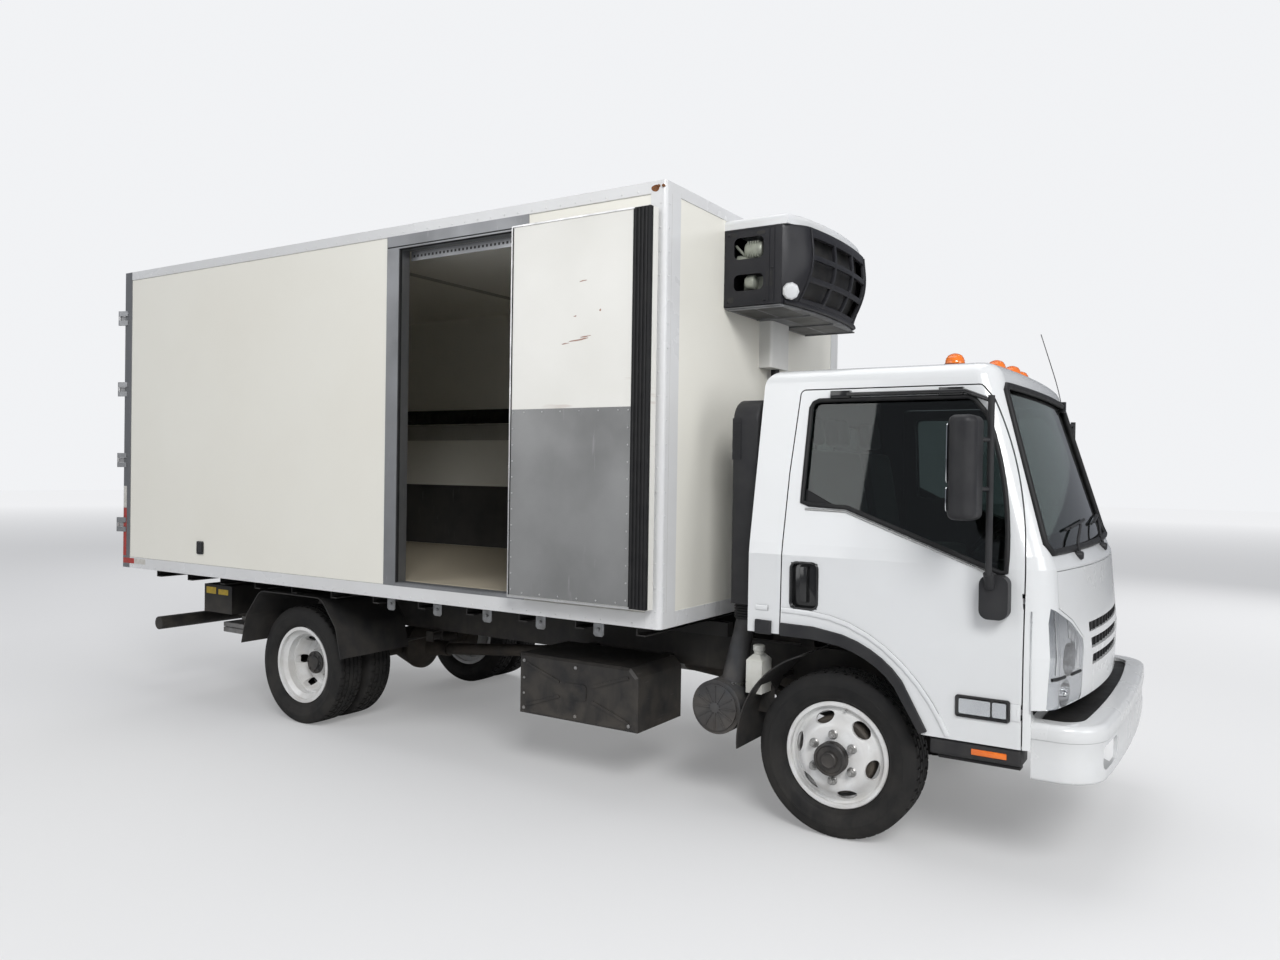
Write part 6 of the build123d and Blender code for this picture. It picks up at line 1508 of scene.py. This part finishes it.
for y in (-0.32, 0.0, 0.32):
    for radius in (0.03, 0.065, 0.1, 0.128):
        loop = [(guard_x, y + radius * cos(a), guard_z + radius * sin(a)) for a in round_angles(28)]
        guards.append(tube("ring", loop, 0.0022, 6, False, True))
settled(joined("evaporator_guards", guards), track_black, "truck", smooth=60)

# Side door frame
# Grey anodised aluminium jambs and header, with a black rubber seal round the opening, a perforated
# strip under the header whose holes are painted as black patches of shade, and a worn threshold.
frame_grey = finish_of(
    "anodised frame", (0.3, 0.305, 0.315), (0.22, 0.225, 0.23), (0.35, 0.5), metal=0.85, clouds=2.5,
    dirt=((0.12, 0.11, 0.1), 0.55, 0.3, 0.9), scratched=((0.5, 0.5, 0.5), 0.5, 8.0, (14, 14, 1)),
    wave=(3, 0.08, 400, 0.05, 0.002))
paint(frame_grey, "side_door_frame")
ox0, ox1, oz0, oz1 = -0.452, 0.46, 1.067, 3.11       # edges of the opening
seal_parts = [slab("seal", (x0, -1.214, z0), (x1, -1.196, oz1)) for x0, x1, z0 in (
    (ox0, ox0 + 0.005, oz0 + 0.002), (ox1 - 0.005, ox1, oz0 + 0.002), (ox0, ox1, oz1 - 0.005))]
seal_parts.append(slab("groove", (ox0 - 0.1, -1.2194, 3.118), (ox1 + 0.02, -1.215, 3.127)))
settled(joined("side_opening_seal", seal_parts), rubber, "truck", bevel=0.0015)
threshold = slab("threshold", (ox0 + 0.001, -1.216, oz0), (ox1 - 0.001, -1.132, oz0 + 0.0045))
ridges = row(
    slab("ridge", (ox0 + 0.01, -1.205, oz0 + 0.0045), (ox1 - 0.01, -1.201, oz0 + 0.0065)), 7, (0, 0.01, 0))
settled(joined("side_threshold", [threshold, ridges]), frame_grey, "truck", smooth=30)
strip = slab("header_strip", (ox0 + 0.013, -1.1285, oz1 - 0.06), (ox1 - 0.013, -1.1225, oz1 - 0.001))
# Painted shade: the strip's holes are black patches on its face, for the shade inside them.
hole_shades = row(
    slab("header_strip_hole_shades", (ox0 + 0.03, -1.1288, oz1 - 0.04), (ox0 + 0.045, -1.1275, oz1 - 0.025)), 28,
    (0.031, 0, 0))
settled(strip, frame_grey, "truck", smooth=30)
settled(hole_shades, track_black, "truck", smooth=30)

# Side door
# The leaf is folded flat against the wall: cream skin above, scuffed and dented, a riveted brushed
# plate below, bright edging, two thin seals and a wide ribbed rubber along its free edge.
door_skin = finish_of(
    "door cream", (0.79, 0.78, 0.735), (0.73, 0.72, 0.67), (0.3, 0.42), coat=0.08, clouds=1.4,
    dirt=((0.42, 0.37, 0.32), 0.2, 0.35, 1.0), scratched=((0.34, 0.2, 0.15), 0.3, 2.2, (1, 1, 9)),
    wave=(3.0, 0.16, 300, 0.03, 0.003))
paint(door_skin, "side_door")
brushed = finish_of(
    "brushed plate", (0.27, 0.272, 0.27), (0.2, 0.202, 0.2), (0.36, 0.5), metal=0.45, clouds=2.2,
    dirt=((0.12, 0.115, 0.11), 0.4, 0.3, 0.95), scratched=((0.34, 0.34, 0.34), 0.45, 5.0, (10, 10, 1)),
    wave=(2.6, 0.12, 500, 0.12, 0.002))
bright_edge = finish_of(
    "bright edging", (0.62, 0.62, 0.62), (0.5, 0.5, 0.5), (0.25, 0.4), metal=0.9, clouds=12,
    dirt=((0.2, 0.18, 0.15), 0.3, 0.3, 0.9))
dx0, dx1, dz0, dz1, dface = 0.525, 1.415, 1.075, 3.102, -1.321     # the leaf's edges and face
kick = slab("side_door_plate", (dx0 + 0.012, dface, dz0 + 0.014), (dx1 - 0.098, dface - 0.0022, 2.1))
settled(kick, brushed, "side_door_leaf", smooth=30, bevel=0.0006, segments=1)
heads = []
for x in (dx0 + 0.026, dx1 - 0.112):
    heads.append(
        row(rivet("head", (x, dface - 0.0022, dz0 + 0.045), 0.0048, 0.0026, "-Y", 8), 12, (0, 0, 0.0875)))
for z in (dz0 + 0.03, 2.084):
    heads.append(
        row(rivet("head", (dx0 + 0.105, dface - 0.0022, z), 0.0048, 0.0026, "-Y", 8), 6, (0.1225, 0, 0)))
settled(joined("side_door_rivets", heads), bright_edge, "side_door_leaf", smooth=50)
strip = [
    slab("strip", (dx0 + 0.008, dface, dz0), (dx1 - 0.09, dface - 0.004, dz0 + 0.012)),
    slab("strip", (dx0, dface, dz0 + 0.002), (dx0 + 0.01, dface - 0.004, dz1 - 0.002)),
    slab("strip", (dx0 + 0.006, dface, dz1 - 0.01), (dx1 - 0.09, dface - 0.004, dz1))]
settled(
    joined("side_door_edging", strip), bright_edge, "side_door_leaf", smooth=30, bevel=0.001,
    segments=1)
ribs = [slab("band", (dx1 - 0.09, dface + 0.001, dz0 + 0.004), (dx1 - 0.001, dface - 0.003, dz1 - 0.004))]
for k in range(4):
    x = dx1 - 0.083 + k * 0.0215
    ribs.append(
        tube("rib", [(x, dface - 0.004, dz0 + 0.006), (x, dface - 0.004, dz1 - 0.006)], 0.0072, 10, False))
ribs.append(slab("lip", (dx1 - 0.006, dface - 0.006, dz0 + 0.004), (dx1 + 0.006, dface + 0.02, dz1 - 0.004)))
settled(joined("side_door_gasket", ribs), rubber, "side_door_leaf", smooth=50)
seal = []
for x in (dx0 + 0.012, dx1 - 0.094):
    seal.append(
        tube("seal", [(x, dface - 0.002, dz0 + 0.014), (x, dface - 0.002, dz1 - 0.012)], 0.0035, 8, False))
settled(joined("side_door_seal", seal), rubber, "side_door_leaf", smooth=50)
scuffs = []
scuff_marks = (
    (0.985, 2.455, 0.13, 0.004), (1.03, 2.47, 0.07, 0.003), (0.9, 2.44, 0.05, 0.003),
    (1.01, 2.76, 0.05, 0.003), (1.12, 2.6, 0.012, 0.006), (0.96, 2.58, 0.02, 0.003),
)
for number, (x, z, length, width) in enumerate(scuff_marks):
    points = [
        (x + length / 2 * cos(a),
         z + (width + 0.35 * width * sin(3 * a + number)) * sin(a) + 0.05 * length * cos(a))
        for a in round_angles(14)]
    scuffs.append(plate("scuff", points, "Y", dface - 0.0001, -0.0004))
scuff_tone = finish_of("scuff", (0.34, 0.17, 0.12), (0.42, 0.32, 0.27), (0.6, 0.7), clouds=60)
settled(joined("side_door_scuffs", scuffs), scuff_tone, "side_door_leaf", smooth=30)

# Refrigeration unit
# A black sprayed steel housing with cut windows, a moulded black nose with three rows of openings over
# dark fins, a thin white plastic cover, a grey drip pan and a faceted white cap. Pale castings show
# through the windows.
unit_black = finish_of(
    "unit black", (0.014, 0.014, 0.017), (0.024, 0.024, 0.027), (0.34, 0.48), clouds=6,
    dirt=((0.24, 0.22, 0.19), 0.18, 0.3, 1.0), wave=(8, 0.06, 500, 0.1, 0.001), shine=0.3)
paint(unit_black, "unit_housing")
cover_white = finish_of(
    "cover white", (0.7, 0.71, 0.72), (0.64, 0.645, 0.64), (0.3, 0.42), coat=0.2, clouds=3,
    dirt=((0.34, 0.31, 0.26), 0.25, 0.4, 1.0), wave=(3, 0.04, 500, 0.04, 0.001))
paint(cover_white, "unit_cover")
fin_dark = finish_of(
    "coil fins", (0.03, 0.03, 0.032), (0.055, 0.053, 0.05), (0.5, 0.65), metal=0.6, clouds=14,
    dirt=(ROAD_DUST, 0.35, 0.3, 0.9), wave=(300, 0.4, 900, 0.3, 0.001))
paint(fin_dark, "condenser")
casting_pale = finish_of(
    "pale casting", (0.36, 0.38, 0.32), (0.26, 0.27, 0.23), (0.4, 0.6), metal=0.35, clouds=24,
    dirt=((0.08, 0.075, 0.06), 0.6, 0.35, 0.9), wave=(60, 0.2, 300, 0.3, 0.002))
UNIT_BACK, UNIT_HALF, UNIT_LOW, UNIT_HIGH = 1.441, 0.57, 2.7, 3.13


def nose_point(y, z, inward=0.0):
    """A point of the unit's nose: a shallow bow in plan that rolls back towards its lower edge."""
    rise = (z - UNIT_LOW) / (UNIT_HIGH - UNIT_LOW)
    depth = 0.4 + 0.1 * min(1.0, sin(min(1.0, rise * 1.6 + 0.02) * pi / 2))
    depth -= 0.014 * max(0.0, rise - 0.7) / 0.3
    side_way = abs(y)
    if side_way <= 0.42:
        x = depth - 0.03 * (side_way / 0.42) ** 2
    else:
        turn = (side_way - 0.42) / 0.15
        x = depth - 0.03 - (depth - 0.03 - 0.345) * turn ** 1.6
    return Vector((UNIT_BACK + x - inward, y, z))


def nose_sheet(name, ys, zs, inward=0.0):
    """A sheet over the nose with lines at the given distances across and heights."""
    obj = begun(
        name, bpy.ops.mesh.primitive_grid_add, x_subdivisions=len(ys) - 1, y_subdivisions=len(zs) - 1, size=1,
        location=(0, 0, 0))
    for number, vertex in enumerate(obj.data.vertices):
        line, place = divmod(number, len(ys))
        vertex.co = nose_point(ys[place], zs[line], inward)
    return obj


def between(marks, step):
    """The marks with even steps between them."""
    made = []
    for a, b in zip(marks, marks[1:]):
        parts = max(1, round((b - a) / step))
        made += [a + (b - a) * k / parts for k in range(parts)]
    return made + [marks[-1]]


gaps_y = ((-0.405, -0.15), (-0.128, 0.128), (0.15, 0.405))
gaps_z = ((2.745, 2.832), (2.86, 2.952), (2.98, 3.078))
marks_y = sorted([-0.568, -0.42, 0.42, 0.568] + [edge for gap in gaps_y for edge in gap])
marks_z = sorted([UNIT_LOW, 2.722, 3.108, UNIT_HIGH] + [edge for gap in gaps_z for edge in gap])
shell = nose_sheet("unit_nose", between(marks_y, 0.03), between(marks_z, 0.022))
opened(shell)
pick_faces(
    shell, lambda centre, out: any(a < centre.y < b for a, b in gaps_y)
    and any(a < centre.z < b for a, b in gaps_z))
bpy.ops.mesh.delete(type="FACE")
closed()
faced_out(shell)
applied(shell, "SOLIDIFY", thickness=0.02, offset=-1 if shell.data.polygons[0].normal.x > 0 else 1)
edge_roll = tube(
    "edge_roll", [nose_point(y, UNIT_LOW + 0.012, -0.004) for y in between([-0.55, 0.55], 0.05)], 0.012, 12)
side_rolls = [
    tube("side_roll", [nose_point(way * 0.425, z, -0.002) for z in between([2.712, 3.12], 0.04)], 0.005, 8)
    for way in (1, -1)]
nose = settled(
    joined("unit_nose", [shell, edge_roll, *side_rolls]), unit_black, "truck", smooth=42,
    bevel=0.003)
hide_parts("unit_grille")
back_sheet = nose_sheet("unit_fins", between([-0.54, 0.54], 0.06), between([2.715, 3.12], 0.06), 0.055)
fins = [applied(back_sheet, "SOLIDIFY", thickness=0.004)]
for k in range(68):
    y = -0.402 + k * 0.012
    low, high = nose_point(y, 2.735, 0.047), nose_point(y, 3.09, 0.047)
    fins.append(
        slab("fin", (min(low.x, high.x) - 0.004, y - 0.001, 2.735),
        (min(low.x, high.x) + 0.01, y + 0.001, 3.09)))
settled(joined("unit_fins", fins), fin_dark, "truck", smooth=30)

# Castings seen through the side windows, bolts, folded edges, and the side's slots as painted shade
for side_name, side in SIDES:
    cast = [turned(part, line, place, "X", steps) for part, line, place, steps in (
        ("body", [(0.0, 0.0), (0.048, 0.0), (0.052, 0.012), (0.052, 0.09), (0.044, 0.105), (0.0, 0.11)],
         (1.555, side * 0.505, 3.015), 28),
        ("neck", [(0.0, 0.0), (0.03, 0.0), (0.03, 0.1), (0.0, 0.1)], (1.5, side * 0.51, 2.965), 20),
        ("head", [(0.0, 0.0), (0.04, 0.0), (0.043, 0.01), (0.043, 0.05), (0.02, 0.06), (0.0, 0.06)],
         (1.56, side * 0.515, 2.835), 24))]
    cast.append(slab("lug", (1.53, side * 0.47, 2.8), (1.68, side * 0.5, 2.87)))
    pipe_line = [(1.49, 0.52, 3.05), (1.55, 0.535, 2.98), (1.62, 0.53, 2.965), (1.69, 0.5, 3.03)]
    cast.append(tube("pipe", [(x, side * y, z) for x, y, z in pipe_line], 0.009, 10))
    for k in range(5):
        cast.append(
            slab("fin", (1.575 + k * 0.015, side * 0.47, 2.97), (1.58 + k * 0.015, side * 0.555, 3.062)))
    settled(
        joined(f"unit_{side_name}_castings", cast), casting_pale, "truck", smooth=40,
        bevel=0.002, segments=1)
    face = side * UNIT_HALF
    details = [
        slab("fold", (1.445, face - side * 0.002, z0), (1.755, face + side * 0.003, z1))
        for z0, z1 in ((2.701, 2.709), (3.12, 3.128))]
    details += [
        slab("rib", (x, face - side * 0.002, 2.715), (x + 0.006, face + side * 0.004, 3.115))
        for x in (1.712, 1.742)]
    facing = "Y" if side > 0 else "-Y"
    details += [
        rivet("bolt", (x, face, z), 0.008, 0.005, facing, 6) for x, z in ((1.47, 2.73), (1.735, 2.9),
        (1.47, 3.1), (1.69, 2.725))]
    settled(joined(f"unit_{side_name}_details", details), unit_black, "truck", smooth=30)
    # Painted shade: each slot is a dark plate laid on the side, standing for the shade inside the slot.
    slot_shades = []
    for x0, x1, z0, z1 in (
            (1.48, 1.52, 3.088, 3.104), (1.64, 1.69, 3.088, 3.106), (1.7, 1.738, 2.8, 2.88),
            (1.465, 1.5, 2.722, 2.752)):
        slot_shades.append(plate("slot", rounded(x0, x1, z0, z1, 0.007), "Y", face + side * 0.0004, side * 0.0006))
    settled(joined(f"unit_{side_name}_slots", slot_shades), track_black, "truck", smooth=30)

pan_half = [(1.445, 0.565), (1.785, 0.565), (1.815, 0.42), (1.838, 0.2)]
pan_line = [(x, -y) for x, y in pan_half] + [(1.842, 0.0)] + pan_half[::-1]
pan = plate("unit_pan", pan_line, "Z", 2.6985, -0.01)
pan_grey = finish_of(
    "drip pan", (0.2, 0.205, 0.21), (0.14, 0.14, 0.145), (0.45, 0.6), metal=0.3, clouds=9,
    dirt=(ROAD_DUST, 0.5, 0.35, 0.9), wave=(9, 0.1, 400, 0.1, 0.002))
flanges = [
    slab("flange", (1.46, y - 0.004, 2.68), (1.8, y + 0.004, 2.69)) for y in (-0.555, -0.18, 0.18, 0.555)]
settled(
    joined("unit_pan", [pan, *flanges]), pan_grey, "truck", smooth=30, bevel=0.002,
    segments=1)
# Painted shade: the fan openings under the pan are black plates on its underside, for the shade inside them.
opening_shades = [
    plate("opening", rounded(x0, x1, y0, y1, 0.02), "Z", 2.6882, -0.0008)
    for x0, x1, y0, y1 in ((1.47, 1.6, -0.54, -0.2), (1.62, 1.77, -0.53, -0.2), (1.47, 1.6, 0.2, 0.54),
    (1.62, 1.77, 0.2, 0.53), (1.62, 1.8, -0.16, 0.16))]
settled(joined("unit_pan_opening_shades", opening_shades), track_black, "truck", smooth=30)
cap = turned(
    "unit_cap", [(0.0, -0.02), (0.036, -0.02), (0.036, 0.0), (0.046, 0.006), (0.046, 0.04), (0.036, 0.052),
    (0.0, 0.054)], (0, 0, 0), "Z", 9)
cap.rotation_euler = Vector((0.45, -0.78, -0.42)).to_track_quat("Z", "Y").to_euler()
cap.location = (1.822, -0.522, 2.775)
settled(cap, cover_white, "truck", smooth=20, bevel=0.003)

# Conduit
# A folded cream cover carries the lines down the front wall, and a black hose leaves its foot.
conduit = finish_of(
    "conduit cover", (0.7, 0.7, 0.675), (0.64, 0.635, 0.61), (0.4, 0.52), clouds=4,
    dirt=((0.3, 0.27, 0.22), 0.3, 0.3, 1.0), wave=(5, 0.06, 400, 0.05, 0.001))
turned_to(conduit, under(conduit, "Z", 2.408), (0.014, 0.014, 0.015), 0.65)
paint(conduit, "unit_conduit")

# Rear doors and frame
# Two cream insulated leaves in a grey metal frame, with bright strap hinges, lock rods and keepers, a
# black gasket round each leaf, lamps in the sill and small red lamps on the header.
rear_skin = finish_of(
    "rear door cream", PANEL_WHITE, (0.75, 0.735, 0.665), (0.34, 0.46), clouds=1.2,
    dirt=((0.34, 0.3, 0.24), 0.3, 0.3, 1.0), wave=(2.5, 0.08, 300, 0.03, 0.003))
fittings = under(rear_skin, "X", -3.4475)
turned_to(rear_skin, fittings, (0.42, 0.42, 0.42), 0.38)
metals = wired(rear_skin.node_tree, "Math", {0: fittings, 1: 0.9}, operation="MULTIPLY")
rear_skin.node_tree.links.new(
    metals.outputs[0], rear_skin.node_tree.nodes["Principled BSDF"].inputs["Metallic"])
paint(rear_skin, "rear_left_door", "rear_right_door")
paint(frame_grey, "rear_frame")
for side_name, side in SIDES:
    y0, y1 = sorted((side * 0.006, side * 1.15))
    line = [(-3.4465, y, z) for y, z in rounded(y0 + 0.012, y1 - 0.012, 1.09, 3.088, 0.012, 3)]
    settled(
        tube(f"rear_{side_name}_door_gasket", line, 0.0075, 8, False, True), rubber, f"rear_{side_name}_leaf",
        smooth=60)
REAR_FACE = -3.447
lamps, lenses = [], []
for side in (1, -1):
    for y, radius in ((0.86, 0.052), (1.00, 0.052), (1.13, 0.04)):
        bezel_line = [
            (0.0, 0.004), (radius, 0.004), (radius + 0.008, 0.0), (radius + 0.008, -0.01), (radius, -0.014),
            (radius - 0.004, -0.008), (0.0, -0.008)]
        lens_line = [
            (0.0, -0.006), (radius - 0.005, -0.006), (radius - 0.008, -0.016), (radius * 0.5, -0.0215),
            (0.0, -0.023)]
        place = (REAR_FACE, side * y, 1.018)
        lamps.append(turned("bezel", bezel_line, place, "X", 32))
        lenses.append(turned("lens", lens_line, place, "X", 32))
for y in (-0.16, 0.0, 0.16, -1.02, 1.02):
    lamps.append(slab("base", (-3.444, y - 0.045, 3.18), (-3.452, y + 0.045, 3.212)))
    lenses.append(slab("lens", (-3.451, y - 0.038, 3.184), (-3.463, y + 0.038, 3.208)))
settled(
    joined("tail_lamp_bezels", lamps), gloss_black, "truck", smooth=40, bevel=0.002,
    segments=1)
settled(joined("tail_lamp_lenses", lenses), red_lens, "truck", smooth=40, bevel=0.002, segments=1)

# Marker lamps and reflecting tape
# A small lamp in a black bezel sits low on each side near the back. Red and white tape, scuffed, runs
# up the rear corner and a little way forward, and red strips cross the rear sill.
tape_red = finish_of(
    "red tape", (0.42, 0.035, 0.025), (0.3, 0.05, 0.04), (0.3, 0.45), clouds=30,
    dirt=((0.3, 0.26, 0.2), 0.35, 0.35, 0.9))
tape_white = finish_of(
    "white tape", (0.6, 0.59, 0.55), (0.48, 0.46, 0.42), (0.3, 0.45), clouds=30,
    dirt=((0.3, 0.26, 0.2), 0.4, 0.35, 0.9))
for side_name, side in SIDES:
    bezel = plate(
        f"{side_name}_marker_bezel", rounded(-2.482, -2.408, 1.126, 1.22, 0.012), "Y", side * 1.2145,
        side * 0.01)
    pressed(bezel, (0, side, 0), inset=0.012, shift=(0, -side * 0.004, 0))
    settled(bezel, gloss_black, "truck", smooth=40)
    lens = plate(
        f"{side_name}_marker_lens", rounded(-2.468, -2.422, 1.14, 1.206, 0.008), "Y", side * 1.219,
        side * 0.006)
    settled(lens, trim_black, "truck", smooth=40, bevel=0.002)
    face, reds, whites = side * 1.2192, [], []
    for x0, x1, low_ends, high_ends, strips in (
            (-3.44, -3.292, (1.004, 1.044), (1.06, 1.43), reds),
            (-3.29, -3.14, (1.004, 1.044), (1.432, 1.6), whites)):
        strips.append(slab("tape", (x0, face, low_ends[0]), (x1, face + side * 0.0008, low_ends[1])))
        strips.append(
            slab("tape", (-3.442, face, high_ends[0]), (-3.402, face + side * 0.0008, high_ends[1])))
    settled(joined(f"{side_name}_red_tape", reds), tape_red, "truck", smooth=30)
    settled(joined(f"{side_name}_white_tape", whites), tape_white, "truck", smooth=30)
back_tape = [
    slab("tape", (-3.4455, y, 1.052), (-3.4463, y + 0.14, 1.068)) for y in (-1.12, -0.84, -0.56, -0.28, 0.0,
    0.28, 0.56, 0.84)]
settled(joined("rear_red_tape", back_tape), tape_red, "truck", smooth=30)

# Lift
# A tuck-under lift: black frame and arms, an aluminium platform and blank yellow labels on the side
# of the pump box.
deck_metal = finish_of(
    "lift aluminium", (0.42, 0.42, 0.42), (0.3, 0.3, 0.3), (0.4, 0.55), metal=0.85, clouds=5,
    dirt=(ROAD_DUST, 0.6, 0.3, 0.95), scratched=((0.6, 0.6, 0.6), 0.5, 9.0, (1, 12, 12)),
    wave=(8, 0.1, 300, 0.1, 0.002))
paint(deck_metal, "lift_platform")
label_yellow = finish_of(
    "label yellow", (0.62, 0.42, 0.02), (0.5, 0.34, 0.03), (0.35, 0.5), clouds=40,
    dirt=(ROAD_DUST, 0.4, 0.3, 0.9))
labels = [plate("label", rounded(x0, x1, z0, z1, 0.004), "Y", -0.9302, -0.0008) for x0, x1, z0, z1 in (
    (-2.8, -2.68, 0.79, 0.84), (-2.65, -2.53, 0.79, 0.83))]
settled(joined("lift_labels", labels), label_yellow, "truck", smooth=30)
